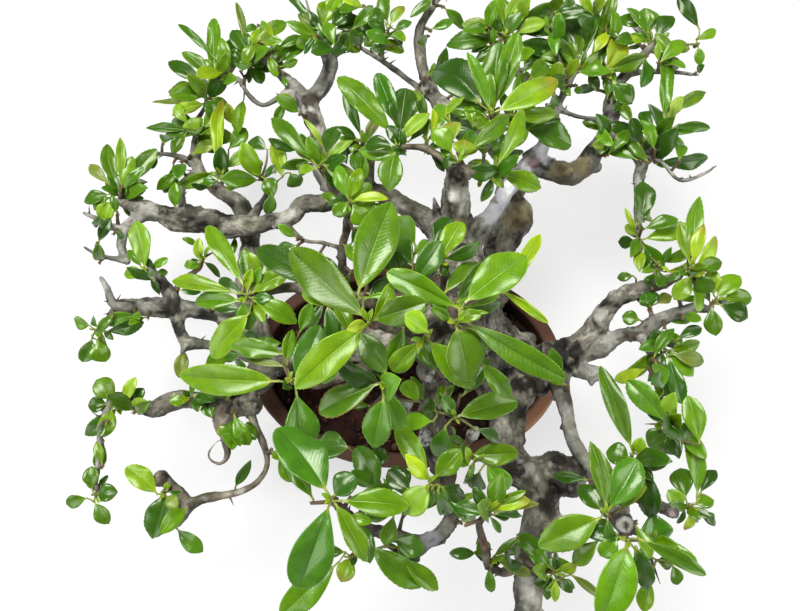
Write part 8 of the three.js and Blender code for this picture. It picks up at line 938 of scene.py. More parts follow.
def leaf_material():
    """green blade: colour from each leaf, thin pale margin, midrib and side veins, gloss on top and dull below"""
    m = Nodes("firethorn_leaf")
    base = m.attr("col")
    rim = m.attr("colrim")
    info = m.sep(m.attr("leafuv", "Vector"))       # along 0..1, across -1..1, blade or stalk
    mm_ = m.sep(m.attr("leafmm", "Vector"))        # distance to the margin in mm, to the midrib in mm, vein count
    under = m.attr("under", "Fac")
    big = m.attr("big", "Fac")
    P = m.coord("Object")
    # slow mottling over the blade, and fine grain
    mott = m.noise(P, 170, 3, 0.55)
    fine = m.noise(P, 1500, 2, 0.6)
    c = m.mix(m.band(mott, 0.34, 0.70), m.mix(1.0, base, (0.78, 0.84, 0.80), "MULTIPLY"), m.mix(1.0, base, (1.16, 1.10, 1.10), "MULTIPLY"))
    c = m.mix(m.math("MULTIPLY", m.band(fine, 0.5, 0.75), 0.14), c, m.mix(1.0, base, (1.35, 1.3, 1.3), "MULTIPLY"))
    # side veins: lines that leave the midrib at a slant and fade before the margin
    across = m.math("ABSOLUTE", mm_[1])
    wob = m.math("MULTIPLY", m.math("SUBTRACT", m.noise(P, 190, 2, 0.5), 0.5), 1.1)
    ph = m.math("ADD", mm_[2], wob)
    tri = m.math("ABSOLUTE", m.math("SUBTRACT", m.math("FRACT", ph), 0.5))
    vein = m.math("SUBTRACT", 1.0, m.band(tri, 0.0, 0.085))
    fade = m.math("MULTIPLY", m.band(mm_[0], 0.1, 1.0), m.band(m.math("ABSOLUTE", info[1]), 1.0, 0.55))
    vein = m.math("MULTIPLY", vein, m.math("MULTIPLY", fade, big))
    net = m.band(m.voronoi(P, 1250, "DISTANCE_TO_EDGE"), 0.10, 0.0)
    net = m.math("MULTIPLY", net, m.math("MULTIPLY", big, 0.55))
    rib = m.math("SUBTRACT", 1.0, m.band(across, 0.08, 0.26))
    rib_w = m.math("MULTIPLY", rib, m.band(info[0], 1.0, 0.35))
    pale = m.mix(1.0, base, (1.75, 1.40, 2.4), "MULTIPLY")
    c = m.mix(m.math("MULTIPLY", vein, 0.42), c, pale)
    c = m.mix(m.math("MULTIPLY", net, 0.36), c, pale)
    c = m.mix(m.math("MULTIPLY", rib_w, 0.62), c, pale)
    # painted shade: a darker band on both sides of the sunk midrib, where the crease falls in shade
    midrib_crease_shade = m.math("MULTIPLY", m.band(across, 0.85, 0.25), m.math("MULTIPLY", m.math("SUBTRACT", 1.0, rib), 0.30))
    c = m.mix(midrib_crease_shade, c, m.mix(1.0, base, (0.45, 0.55, 0.45), "MULTIPLY"))
    # thin pale margin, reddish on some young leaves
    edge = m.math("SUBTRACT", 1.0, m.band(mm_[0], 0.10, 0.36))
    c = m.mix(m.math("MULTIPLY", edge, m.math("MULTIPLY", info[2], 0.85)), c, rim)
    # underside: paler, dull, greyer, with the midrib standing out
    dull = m.mix(0.45, m.mix(1.0, base, (1.3, 1.15, 1.6), "MULTIPLY"), (0.17, 0.25, 0.075))
    dull = m.mix(m.math("MULTIPLY", rib, 0.5), dull, (0.34, 0.40, 0.13))
    c = m.mix(under, c, dull)
    # height: sunk midrib and veins, quilted between them, fine skin
    swell = m.math("MULTIPLY", m.math("MULTIPLY", tri, fade), m.math("MULTIPLY", big, 0.12))
    h = m.math("ADD", m.math("MULTIPLY", rib, -0.5), m.math("MULTIPLY", vein, -0.13))
    h = m.math("ADD", h, swell)
    h = m.math("ADD", h, m.math("MULTIPLY", net, -0.10))
    h = m.math("ADD", h, m.math("MULTIPLY", fine, 0.03))
    h = m.math("ADD", h, m.math("MULTIPLY", m.noise(P, 330, 2, 0.5), 0.62))
    nrm = m.bump(h, 0.62, 0.00026)
    rough = m.math("ADD", m.attr("gloss", "Fac"), m.math("MULTIPLY", m.math("SUBTRACT", m.noise(P, 260, 3, 0.6), 0.5), 0.16))
    rough = m.math("ADD", rough, m.math("MULTIPLY", under, 0.30), clamp=True)
    m.set(Base_Color=c, Roughness=rough, Normal=nrm)
    m.bsdf.inputs["Specular IOR Level"].default_value = 0.72
    m.bsdf.inputs["Specular Tint"].default_value = (0.95, 1.0, 0.80, 1)
    m.bsdf.inputs["IOR"].default_value = 1.45
    return m.mat


def bark_material():
    """grey-brown bark: broad patches from the mesh, soft streaks and few flecks on top, pits and grain in the bump"""
    m = Nodes("firethorn_bark")
    base = m.attr("col")
    rough_k = m.attr("rugged", "Fac")
    lich = m.attr("lichen", "Fac")
    bc = m.attr("barkco", "Vector")      # round the branch, and along it (mm)
    P = m.coord("Object")
    st = m.noise(m.scale(bc, 0.42, 0.42, 0.10), 1.0, 3, 0.55)
    mot = m.noise(P, 230, 3, 0.55)
    sp = m.noise(P, 620, 3, 0.6)
    pit = m.voronoi(m.scale(bc, 0.6, 0.6, 0.30), 1.0, "F1", "Distance")
    c = m.mix(m.math("MULTIPLY", m.band(st, 0.50, 0.32), 0.34), base, m.mix(1.0, base, (0.50, 0.48, 0.44), "MULTIPLY"))
    c = m.mix(m.math("MULTIPLY", m.band(st, 0.56, 0.74), 0.35), c, m.mix(1.0, base, (1.40, 1.40, 1.42), "MULTIPLY"))
    c = m.mix(m.math("MULTIPLY", m.band(mot, 0.47, 0.33), m.math("MULTIPLY", rough_k, 0.50)), c, m.mix(1.0, base, (0.38, 0.36, 0.32), "MULTIPLY"))
    c = m.mix(m.math("MULTIPLY", m.band(mot, 0.56, 0.70), m.math("MULTIPLY", rough_k, 0.48)), c, m.mix(1.0, base, (1.55, 1.55, 1.60), "MULTIPLY"))
    c = m.mix(m.math("MULTIPLY", m.band(sp, 0.52, 0.36), m.math("MULTIPLY", rough_k, 0.55)), c, m.mix(1.0, base, (0.45, 0.42, 0.38), "MULTIPLY"))
    # lichen: pale, broken edge
    lk = m.math("MULTIPLY", lich, m.band(m.noise(P, 420, 3, 0.6), 0.34, 0.50))
    lcol = m.mix(m.noise(P, 800, 3, 0.6), (0.36, 0.37, 0.34), (0.82, 0.82, 0.79))
    c = m.mix(m.math("MULTIPLY", lk, 0.92, clamp=True), c, lcol)
    h = m.math("ADD", m.math("MULTIPLY", sp, 0.55), m.math("MULTIPLY", st, 0.6))
    h = m.math("ADD", h, m.math("MULTIPLY", mot, 0.5))
    h = m.math("ADD", h, m.math("MULTIPLY", m.band(pit, 0.10, 0.34), 0.16))
    h = m.math("MULTIPLY", h, m.math("ADD", m.math("MULTIPLY", rough_k, 0.8), 0.16))
    h = m.math("ADD", h, m.math("MULTIPLY", lk, 0.5))
    nrm = m.bump(h, 0.75, 0.0007)
    m.set(Base_Color=c, Roughness=m.math("SUBTRACT", 0.80, m.math("MULTIPLY", m.math("SUBTRACT", 1.0, rough_k), 0.26)), Normal=nrm)
    m.bsdf.inputs["Specular IOR Level"].default_value = 0.30
    return m.mat


def shoot_material():
    """young shoots, leaf stalks, bud scales and thorns: smooth skin, colour from the mesh"""
    m = Nodes("firethorn_young_shoot")
    base = m.attr("col")
    P = m.coord("Object")
    n = m.noise(P, 700, 3, 0.55)
    c = m.mix(m.band(n, 0.35, 0.7), m.mix(1.0, base, (0.78, 0.80, 0.72), "MULTIPLY"), m.mix(1.0, base, (1.22, 1.18, 1.2), "MULTIPLY"))
    nrm = m.bump(n, 0.35, 0.0002)
    m.set(Base_Color=c, Roughness=m.math("ADD", 0.36, m.math("MULTIPLY", n, 0.2)), Normal=nrm)
    m.bsdf.inputs["Specular IOR Level"].default_value = 0.45
    return m.mat


def clay_material():
    """unglazed red-brown clay: fine grain, darker low down, rubbed paler on the rim with painted light on its front
    right, faint lime bloom
    """
    m = Nodes("unglazed_clay")
    P = m.coord("Object")
    z = m.sep(P)[2]
    wear_and_lit_rim = m.attr("wear_and_lit_rim", "Fac")
    low = m.noise(P, 42, 4, 0.6)
    grain = m.noise(P, 1500, 3, 0.7)
    c = m.mix(m.band(low, 0.32, 0.68), (0.030, 0.011, 0.007), (0.052, 0.019, 0.011))
    c = m.mix(m.math("MULTIPLY", m.band(m.noise(m.scale(P, 1, 1, 6), 60, 3, 0.6), 0.5, 0.72), 0.4), c, (0.055, 0.025, 0.017))
    c = m.mix(m.math("MULTIPLY", m.band(z, 0.047, 0.060), 0.10), c, (0.10, 0.042, 0.026))
    # rubbed foot and rim; the rim part is also painted light on the front right
    c = m.mix(m.math("MULTIPLY", wear_and_lit_rim, m.band(m.noise(P, 120, 2, 0.5), 0.05, 0.45)), c, (0.47, 0.235, 0.135))
    bloom = m.math("MULTIPLY", m.band(m.noise(P, 85, 5, 0.7), 0.60, 0.78), m.band(z, 0.062, 0.030))
    c = m.mix(m.math("MULTIPLY", bloom, 0.35), c, (0.36, 0.30, 0.26))
    c = m.mix(m.math("MULTIPLY", m.band(grain, 0.55, 0.8), 0.5), c, m.mix(1.0, c, (1.7, 1.6, 1.5), "MULTIPLY"))
    c = m.mix(m.math("MULTIPLY", m.band(grain, 0.45, 0.25), 0.5), c, m.mix(1.0, c, (0.5, 0.45, 0.42), "MULTIPLY"))
    h = m.math("ADD", m.math("MULTIPLY", grain, 0.5), m.math("MULTIPLY", m.noise(P, 380, 3, 0.5), 0.6))
    h = m.math("ADD", h, m.math("MULTIPLY", m.band(m.voronoi(P, 520, "F1"), 0.16, 0.04), -0.7))
    m.set(Base_Color=c, Roughness=m.math("ADD", 0.66, m.math("MULTIPLY", low, 0.24)), Normal=m.bump(h, 0.6, 0.00035))
    m.bsdf.inputs["Specular IOR Level"].default_value = 0.34
    return m.mat


def soil_material():
    m = Nodes("soil_granules")
    base = m.attr("col")
    P = m.coord("Object")
    n = m.noise(P, 800, 4, 0.65)
    c = m.mix(m.band(n, 0.3, 0.7), m.mix(1.0, base, (0.55, 0.5, 0.48), "MULTIPLY"), m.mix(1.0, base, (1.35, 1.3, 1.25), "MULTIPLY"))
    h = m.math("ADD", n, m.math("MULTIPLY", m.noise(P, 2600, 2, 0.5), 0.4))
    m.set(Base_Color=c, Roughness=m.math("ADD", 0.78, m.math("MULTIPLY", n, 0.2)), Normal=m.bump(h, 0.8, 0.0005))
    m.bsdf.inputs["Specular IOR Level"].default_value = 0.25
    return m.mat


def mesh_material():
    m = Nodes("drainage_mesh_plastic")
    P = m.coord("Object")
    n = m.noise(P, 500, 3, 0.6)
    c = m.mix(n, (0.012, 0.012, 0.012), (0.035, 0.032, 0.030))
    m.set(Base_Color=c, Roughness=m.math("ADD", 0.45, m.math("MULTIPLY", n, 0.25)), Normal=m.bump(n, 0.3, 0.0002))
    return m.mat


# ---------------------------------------------------------------- camera, light, floor
KEY = np.array([-280.0, 300.0, 1250.0])     # middle of the large softbox, mm


def look_at(ob, target):
    d = Vector(target) - ob.location
    ob.rotation_mode = "QUATERNION"
    ob.rotation_quaternion = d.to_track_quat("-Z", "Y")


def stage():
    sc = bpy.context.scene
    cam = bpy.data.objects.new("camera", bpy.data.cameras.new("camera"))
    sc.collection.objects.link(cam)
    cam.location = Vector(CAM * MM)
    d = Vector((0, 0.342020, -0.939693))
    up = Vector((0, 0.939693, 0.342020))
    right = Vector((1, 0, 0))
    from mathutils import Matrix
    cam.matrix_world = Matrix(((right.x, up.x, -d.x, cam.location.x), (right.y, up.y, -d.y, cam.location.y),
                               (right.z, up.z, -d.z, cam.location.z), (0, 0, 0, 1)))
    cam.data.lens = 31.5
    cam.data.sensor_width = 36
    cam.data.sensor_fit = "HORIZONTAL"
    cam.data.clip_start = 0.01
    cam.data.dof.use_dof = False
    sc.camera = cam

    w = bpy.data.worlds.new("studio")
    sc.world = w
    w.use_nodes = True
    bg = w.node_tree.nodes["Background"]
    bg.inputs[0].default_value = (1.0, 0.99, 0.96, 1)
    bg.inputs[1].default_value = 0.20

    def area(name, loc, target, size, power, col=(1, 1, 1)):
        L = bpy.data.lights.new(name, "AREA")
        L.shape = "RECTANGLE"
        L.size, L.size_y = size
        L.energy = power
        L.color = col
        o = bpy.data.objects.new(name, L)
        sc.collection.objects.link(o)
        o.location = loc
        look_at(o, target)
        return o

    area("key_softbox", tuple(KEY * MM), (0, 0, 0.12), (0.70, 0.56), 17.8, (1.0, 1.0, 1.0))
    area("side_softbox", (0.95, -0.25, 0.75), (0, 0, 0.12), (0.7, 0.7), 6.0, (1.0, 0.995, 0.98))
    area("fill_softbox", (-0.9, -0.65, 0.85), (0, 0, 0.12), (0.8, 0.8), 6.5, (0.98, 0.99, 1.0))

    # pale flat floor; it glows a little, as a bright sweep does
    n = 48
    pile = Pile()
    xs = np.linspace(-1, 1, n)
    X, Y = np.meshgrid(np.sign(xs) * np.abs(xs) ** 1.6 * 3200, np.sign(xs) * np.abs(xs) ** 1.6 * 3200, indexing="ij")
    Z = np.full(X.shape, -0.05)
    idx = np.arange(n * n).reshape(n, n)
    quads = np.stack([idx[:-1, :-1], idx[1:, :-1], idx[1:, 1:], idx[:-1, 1:]], -1).reshape(-1, 4)
    pile.add(np.stack([X, Y, Z], -1).reshape(-1, 3), quads)
    floor = pile.build("floor")
    m = Nodes("pale_floor")
    P = m.coord("Object")
    c = m.mix(m.noise(P, 14, 3, 0.5), (0.34, 0.34, 0.34), (0.37, 0.37, 0.37))
    m.set(Base_Color=c, Roughness=0.75)
    m.bsdf.inputs["Emission Color"].default_value = (1, 1, 1, 1)
    m.bsdf.inputs["Emission Strength"].default_value = 0.57
    floor.data.materials.append(m.mat)

    sc.view_settings.view_transform = "Standard"
    sc.view_settings.look = "None"
    sc.view_settings.exposure = 0.0
    sc.view_settings.gamma = 1.0


# ---------------------------------------------------------------- wood
BARK = {  # dark, mid, light, ruggedness
    "old": ("211e19", "756f62", "afa898", 1.0),
    "grey": ("2b2924", "7d796f", "b0aba0", 0.80),
    "smooth": ("433f39", "837e76", "b6b2aa", 0.35),
    "brown": ("2e271e", "6f6453", "a49985", 0.75),
    "twig": ("2e2821", "695e50", "9a9083", 0.5),
}
PATCH = {
    "pale": ("858088", "b8b4ba", "dcd9de", 0.2),
    "grey": ("6a655c", "a59f94", "cbc6bc", 0.5),
    # dark: near-black bark, partly painted shade where the low limbs lie deep under the leaves
    "dark": ("0f0d0a", "27221c", "4c443a", 0.9),
    "olive": ("453d2a", "786c4f", "9e9374", 0.35),
    "pink": ("6a5450", "968080", "bcaaa8", 0.5),
    "red": ("4a2a1e", "7c4a34", "a0705a", 0.3),
}


def build_wood(mat):
    rnd = random.Random(5)
    pile = Pile()
    samples = []      # x, y, z, r, branch number, arc length
    frames = []
    for bi, (name, kind, pts) in enumerate(WOOD):
        rows, s = curve_points(pts, 1.4)
        rows = rows.copy()
        # the line of the branch wanders a little, as old pruned wood does
        if not name.startswith("root"):
            q = np.stack([s / 14.0 + bi * 3.7, np.full(len(s), bi * 1.3), np.zeros(len(s))], 1)
            T, N, B = frames_along(rows[:, :3])
            k = np.minimum(1, s / 8.0) * np.minimum(1, (s[-1] - s) / 8.0)
            rows[:, :3] += (N * (fbm(q, 2, 3) * rows[:, 3] * 0.16 * k)[:, None] + B * (fbm(q, 2, 9) * rows[:, 3] * 0.16 * k)[:, None])
            qq = np.stack([s / 9.0 + bi * 5.1, np.full(len(s), 2.2), np.zeros(len(s))], 1)
            rows[:, 3] *= 1 + 0.13 * fbm(qq, 2, 21)
        # swollen collar where it leaves its parent
        if bi > 0:
            rows[:, 3] *= 1 + 0.42 * np.exp(-s / (rows[0, 3] * 0.9 + 0.6))
        T, N, B = frames_along(rows[:, :3])
        # start a little inside the parent
        if bi > 0 and not name.startswith("root"):
            first = rows[:1].copy()
            first[0, :3] -= T[0] * min(2.0, rows[0, 3] * 0.5)
            rows2 = np.vstack([first, rows])
        else:
            rows2 = rows
        sides = int(max(9, min(44, rows[:, 3].max() * 2 * math.pi / 1.1)))
        tube(pile, rows2, sides)
        for k in range(len(rows)):
            samples.append((*rows[k], bi, s[k]))
            frames.append((T[k], N[k], B[k]))
        # knobs: old pruning scars and dormant buds
        if not name.startswith("root") and name != "back_low" and s[-1] > 16:
            pos = rnd.uniform(8, 18)
            while pos < s[-1] - 5:
                k = int(np.searchsorted(s, pos))
                r = rows[min(k, len(rows) - 1), 3]
                if r > 2.0:
                    a = rnd.uniform(0, 2 * math.pi)
                    out = N[k] * math.cos(a) + B[k] * math.sin(a)
                    lean = T[k] * rnd.uniform(-0.3, 0.6)
                    d = unit(out + lean)
                    kr = r * rnd.uniform(0.30, 0.52)
                    hgt = r * rnd.uniform(1.02, 1.35)
                    kn = np.array([[*(rows[k, :3] + d * hgt * t), kr * q] for t, q in ((0.2, 1.5), (0.62, 1.3), (0.86, 1.05), (1.0, 0.9))])
                    tube(pile, kn, 9)
                pos += rnd.uniform(9, 26) * (1 + r * 0.05)
    for x, y, z, r, x0, y0, z0, r0, shape in KNOBS:
        a, b = np.array([x0, y0, z0]), np.array([x, y, z])
        e = unit(b - a)
        L = np.linalg.norm(b - a)
        if shape == "ball":
            kn = [[*(a + e * L * 0.2), min(r0, r * 0.8)], [*(b - e * r * 0.9), r * 0.85], [*(b - e * r * 0.2), r * 1.0], [*(b + e * r * 0.35), r * 0.8]]
        elif shape == "cut":
            kn = [[*(a + e * L * 0.2), min(r0, r * 0.9)], [*(b - e * r * 1.6), r * 0.9], [*(b - e * r * 0.5), r * 1.15], [*(b - e * r * 0.08), r * 0.95], [*(b - e * r * 0.30), r * 0.42]]
        else:
            kn = [[*(a + e * L * 0.2), r * 0.8], [*((a + b) / 2), r * 0.85], [*(b - e * r * 0.6), r * 1.1], [*b, r * 1.45]]
        tube(pile, np.array(kn), 16)
    ob = pile.build("wood")
    me = apply_modifier(ob, "REMESH", mode="VOXEL", voxel_size=0.00078, use_smooth_shade=True)
    S = np.array(samples)
    FR = np.array(frames)
    tree = KDTree(len(S))
    for i, q in enumerate(S[:, :3]):
        tree.insert(q, i)
    tree.balance()

    def fields(V):
        """for each point: branch sample, angle round it, coordinates round and along the branch"""
        best = np.empty(len(V), np.int64)
        R = S[:, 3]
        for i, v in enumerate(V):
            b, bd = -1, 1e9
            for co, j, d in tree.find_n(v, 5):
                e = d - R[j]
                if e < bd:
                    b, bd = j, e
            best[i] = b
        d = V - S[best, :3]
        x = np.einsum("ij,ij->i", d, FR[best, 1])
        y = np.einsum("ij,ij->i", d, FR[best, 2])
        t = np.einsum("ij,ij->i", d, FR[best, 0])
        phi = np.arctan2(y, x)
        r = S[best, 3]
        along = S[best, 5] + t
        bi = S[best, 4]
        co = np.stack([np.cos(phi) * r + bi * 31.7, np.sin(phi) * r + bi * 12.9, along], 1)
        return best, phi, r, along, bi.astype(int), co

    def patches(V):
        w = {k: np.zeros(len(V)) for k in list(PATCH) + ["white"]}
        wob = fbm(V / 3.0, 2, 77) * 0.35
        for x, y, z, rad, kind in PATCHES:
            e = V - (x, y, z)                        # patches are read from one side, so they run deeper than wide
            par = e @ unit(CAM - np.array([x, y, z]))
            d = np.sqrt(np.maximum((e * e).sum(1) - par ** 2 * 0.82, 0)) / rad + wob
            w[kind] = np.maximum(w[kind], 1 - ramp(d, 0.7, 1.1))
        return w

    rug = np.array([BARK[k][3] for _, k, _ in WOOD])

    def relief(V, F, W):
        best, phi, r, along, bi, co = F
        rg = rug[bi]
        for k in PATCH:
            rg = rg * (1 - W[k]) + PATCH[k][3] * W[k]
        # slow lumps, ribs along the old limbs, plates and cracks
        lump = fbm(V / 9.0, 2, 5) * np.clip(r * 0.10, 0.1, 1.3)
        q = np.stack([np.cos(phi) * 1.5 + bi * 3.1, np.sin(phi) * 1.5, along / 34.0], 1)
        ribs = fbm(q, 2, 31) * np.clip(r - 2.5, 0, 12) * 0.16
        qs = co * np.array([0.50, 0.50, 0.17])
        grain = fbm(qs, 3, 51)
        d1, d2, own = cells(co * np.array([0.30, 0.30, 0.16]) + fbm(V / 4.0, 2, 61)[:, None] * 0.35, 8)
        crack = 1 - ramp(d2 - d1, 0.0, 0.16)
        amp = np.clip(r / 7.0, 0.25, 1.0)
        fine = fbm(V / 1.7, 2, 71)
        h = lump + ribs + rg * amp * (grain * 0.62 - crack * 0.75 + (own - 0.5) * 0.5) + rg * fine * 0.22 * np.clip(r / 4, 0.3, 1)
        return h, grain, crack, own, rg, fine

    V = coords(me)
    V = relax(me, V, 3, 0.55)
    set_coords(me, V)
    F = fields(V)
    W = patches(V)
    h, *_ = relief(V, F, W)
    N_ = normals(me)
    white = W["white"]
    V2 = V + N_ * (h + white * 0.5)[:, None]
    set_coords(me, V2)
    apply_modifier(ob, "DECIMATE", ratio=0.28)
    me = ob.data
    V = coords(me)
    V = relax(me, V, 1, 0.25)
    set_coords(me, V)
    F = fields(V)
    W = patches(V)
    h, grain, crack, own, rg, fine = relief(V, F, W)
    best, phi, r, along, bi, co = F
    dark = np.array([lin(BARK[k][0]) for _, k, _ in WOOD])[bi]
    mid = np.array([lin(BARK[k][1]) for _, k, _ in WOOD])[bi]
    light = np.array([lin(BARK[k][2]) for _, k, _ in WOOD])[bi]
    for k in PATCH:
        wk = W[k][:, None]
        dark = dark * (1 - wk) + lin(PATCH[k][0]) * wk
        mid = mid * (1 - wk) + lin(PATCH[k][1]) * wk
        light = light * (1 - wk) + lin(PATCH[k][2]) * wk
    broad = fbm(V / np.array([8.5, 8.5, 9.5]), 3, 91, 0.5)
    tone = grain * 0.26 + (own - 0.5) * 0.20 + fine * 0.12 + broad * 0.72 + 0.10
    a = ramp(tone, -0.60, 0.0)[:, None]
    b = ramp(tone, 0.12, 0.85)[:, None]
    col = dark * (1 - a) + mid * a
    col = col * (1 - b) + light * b
    col *= (1 - crack * 0.40 * np.clip(rg, 0, 1))[:, None]
    col = col * np.array([1.04, 1.075, 1.10])
    # painted shade and light: undersides and flanks are darker and upward faces paler, as overhead light would make
    # them
    nz = normals(me)[:, 2]
    col = col * (0.42 + 0.67 * ramp(nz, -0.30, 0.92))[:, None]
    # wood is darker and redder low down, towards the soil
    low = (1 - ramp(V[:, 2], 46, 74))[:, None] * 0.55
    col = col * (1 - low) + (col * np.array([0.62, 0.50, 0.42])) * low
    # big dark stains on the limbs
    stain = ramp(fbm(V / 13.0, 2, 101), 0.25, 0.65) * np.clip(rg, 0, 1)
    col *= (1 - stain[:, None] * np.array([0.62, 0.60, 0.64]))
    moss = ramp(fbm(V / 10.0, 2, 131), 0.1, 0.7)[:, None] * 0.35
    col = col * (1 - moss) + col * np.array([0.93, 1.04, 0.74]) * moss
    lich = np.maximum(W["white"], ramp(fbm(V / 4.5, 3, 111), 0.74, 1.0) * 0.5 * ramp(r, 1.5, 4) * np.clip(rg * 1.3, 0, 1))
    lich = lich * ramp(V[:, 2], 60, 90)
    put_attr(me, "col", col)
    put_attr(me, "rugged", np.clip(rg * (0.50 + 0.80 * ramp(V[:, 2], 105, 185)), 0, 1.3))
    put_attr(me, "lichen", lich)
    put_attr(me, "barkco", co)
    me.polygons.foreach_set("use_smooth", np.ones(len(me.polygons), bool))
    me.materials.clear()
    me.materials.append(mat)
    ob.name = "wood"
    return ob, S, tree


# ---------------------------------------------------------------- leaves
TONES = {  # blade colour in sRGB, share of gloss (roughness)
    "b": (["527b05", "5b8607", "487105", "648e08"], 0.22),
    "l": (["6fa408", "79ae0a"], 0.26),
    "y": (["82a40e", "769a0e", "90b214", "7ba01a"], 0.32),
    "p": (["568610", "5e8e16", "4e7c10"], 0.16),
    "s": (["447616", "4c7e1c", "3c6c14"], 0.15),
    "d": (["366206", "2e5605", "406c07", "2a4e07"], 0.20),
    "g": (["3c6614", "446e1a", "345a10"], 0.19),
    "o": (["6c7e22", "607420", "76882c"], 0.36),
    "w": (["66594a", "5a4d40"], 0.6),
}
NEAT = ("apex_a", "apex_b", "apex_c", "apex_e", "front_left_top", "front_mid_a", "front_mid_b", "front_rosette_a", "lower_left_rosette",
        "left_rosette", "left_upper_rosette", "front_left_dark", "front_left_low")
CLASSES = {  # rows along, columns across (positions from margin to margin)
    3: (94, [-1, -0.92, -0.72, -0.46, -0.22, -0.06, 0, 0.06, 0.22, 0.46, 0.72, 0.92, 1]),
    2: (37, [-1, -0.86, -0.50, -0.12, 0, 0.12, 0.50, 0.86, 1]),
    1: (15, [-1, -0.82, -0.42, 0, 0.42, 0.82, 1]),
    0: (9, [-1, -0.55, 0, 0.55, 1]),
}


def blade(pile, base, tip, width, up, tone, cls, rnd, seed, curl=None, stalk=0.07, wave=None, form=None, straight=False):
    """one leaf as a closed thin shell with its stalk at the base end"""
    base, tip = np.asarray(base, float), np.asarray(tip, float)
    e1 = tip - base
    L = np.linalg.norm(e1)
    e1 = e1 / L
    up = up - e1 * (up @ e1)
    if np.linalg.norm(up) < 0.15:
        up = np.array([0, 0, 1.0]) - e1 * e1[2]
        if np.linalg.norm(up) < 0.15:
            up = np.array([0, 1.0, 0]) - e1 * e1[1]
    n = unit(up)
    side = np.cross(n, e1)
    rows, cols = CLASSES[cls]
    v = np.array(cols)
    u = np.linspace(0, 1, rows)
    st = stalk
    b = np.clip((u - st) / (1 - st), 0, 1)            # 0..1 over the blade proper
    widest = form[0] if form else rnd.uniform(0.49, 0.60)
    pw = math.log(0.5) / math.log(widest)
    vv = b ** pw
    q_tip = form[1] if form else rnd.choice([0.50, 0.56, 0.62, 0.70, 0.78] if straight else [0.56, 0.64, 0.72, 0.82, 0.96])
    q_base = rnd.uniform(0.76, 0.98)
    q = q_base + (q_tip - q_base) * ramp(b, 0.35, 0.8)
    f = np.clip(4 * vv * (1 - vv), 0, 1) ** q
    half = width / 2 * f
    stalk_r = min(0.50, 0.26 + 0.010 * L)
    halfw = np.maximum(half, np.where(b <= 0.5, stalk_r * (1.0 - 0.25 * b), 0.0))
    halfw[-1] = max(0.10, halfw[-1])
    # small forward teeth along the margin, three rows to a tooth
    teeth = np.zeros((rows, 2))
    fwd = np.zeros((rows, 2))
    if cls >= 2:
        k = np.arange(rows)
        for sgn in (0, 1):
            ph = (k + (rnd.randrange(3))) % 3
            jag = np.choose(ph, [-0.55, 0.05, 0.5])
            env = ramp(b, 0.16, 0.34) * (1 - 0.5 * ramp(b, 0.94, 1.0)) * min(1.1, width / 9)
            amp = (0.21 if cls == 3 else 0.19)
            teeth[:, sgn] = jag * amp * env * (1 + 0.35 * np.sin(k * 1.7 + seed))
            fwd[:, sgn] = np.where(ph == 2, 0.22, 0) * env
    # blade in its own plane: x along, y across, z out of the top face
    curl = rnd.uniform(0.03, 0.13) if curl is None else curl
    fold = rnd.uniform(0.30, 0.68)
    wave = (rnd.uniform(0.008, 0.035) if wave is None else wave)
    wv, wp = rnd.uniform(1.3, 2.4), rnd.random() * 6.3
    twist = rnd.uniform(-0.28, 0.28) * (0.5 if straight else 1)
    bend = rnd.uniform(-0.06, 0.06) * (0.3 if straight else 1)
    U, Vv = np.meshgrid(u, v, indexing="ij")
    onrim = np.abs(Vv) > 0.99
    Hw = halfw[:, None] + np.where(Vv < 0, teeth[:, :1], teeth[:, 1:]) * onrim
    Y = Vv * Hw
    spacing = min(1.9, max(1.0, 0.055 * L))          # between side veins, mm
    count = (U * L - np.abs(Y) * 0.80) / spacing
    arch = curl * L * (4 * U * (1 - U)) + curl * 0.35 * L * np.sin(U * math.pi) ** 2 * (U - 0.4)
    foldz = fold * np.abs(Y) * (1 - 0.42 * np.abs(Vv) ** 2) * ramp(b, 0.0, 0.22)[:, None] * (1 - 0.45 * ramp(b, 0.5, 1.0))[:, None]
    wavez = wave * L * np.sin(U * 6.283 * wv + wp + (Vv > 0) * 2.0) * np.abs(Vv) ** 2 * (f[:, None])
    edge_dn = -0.10 * np.abs(Vv) ** 6 * f[:, None]
    quilt = 0
    if cls >= 2:
        fr = np.abs((count % 1.0) - 0.5) * 2
        quilt = (fr ** 0.7 - 0.5) * (0.012 if cls == 3 else 0.010) * np.clip(np.abs(Vv) * 5, 0, 1) * (1 - np.abs(Vv) ** 3) * f[:, None]
    rib = -0.12 * np.exp(-(Y / 0.45) ** 2) * np.clip(f[:, None] * 3, 0, 1)
    Z = arch + foldz + wavez + edge_dn + quilt + rib
    Xs = U * L - fold * np.abs(Y) * 0.10 + np.where(Vv < 0, fwd[:, :1], fwd[:, 1:]) * onrim
    Ym = Y + bend * L * (4 * U * (1 - U))
    th = 0.28 * (1 - 0.55 * np.abs(Vv) ** 3) * np.clip(width / 9, 0.6, 1.1)
    # twist about the long axis
    a = twist * (U - 0.3) * 2
    ca, sa = np.cos(a), np.sin(a)
    Zc = Z - arch
    Yt, Zt = Ym * ca - Zc * sa, Ym * sa + Zc * ca + arch
    top = base + e1 * Xs[..., None] + side * Yt[..., None] + n * Zt[..., None]
    # underside: shifted against the local face normal
    du = np.gradient(top, axis=0)
    dv = np.gradient(top, axis=1)
    nn = np.cross(du, dv)
    nn /= np.linalg.norm(nn, axis=2)[..., None] + 1e-9
    nn *= np.sign(np.einsum("ijk,k->ij", nn, n))[..., None]
    ribb = 0.32 * np.exp(-(Y / 0.55) ** 2) * np.clip(1.15 - U, 0, 1)
    bot = top - nn * (th + ribb)[..., None]
    m = len(v)
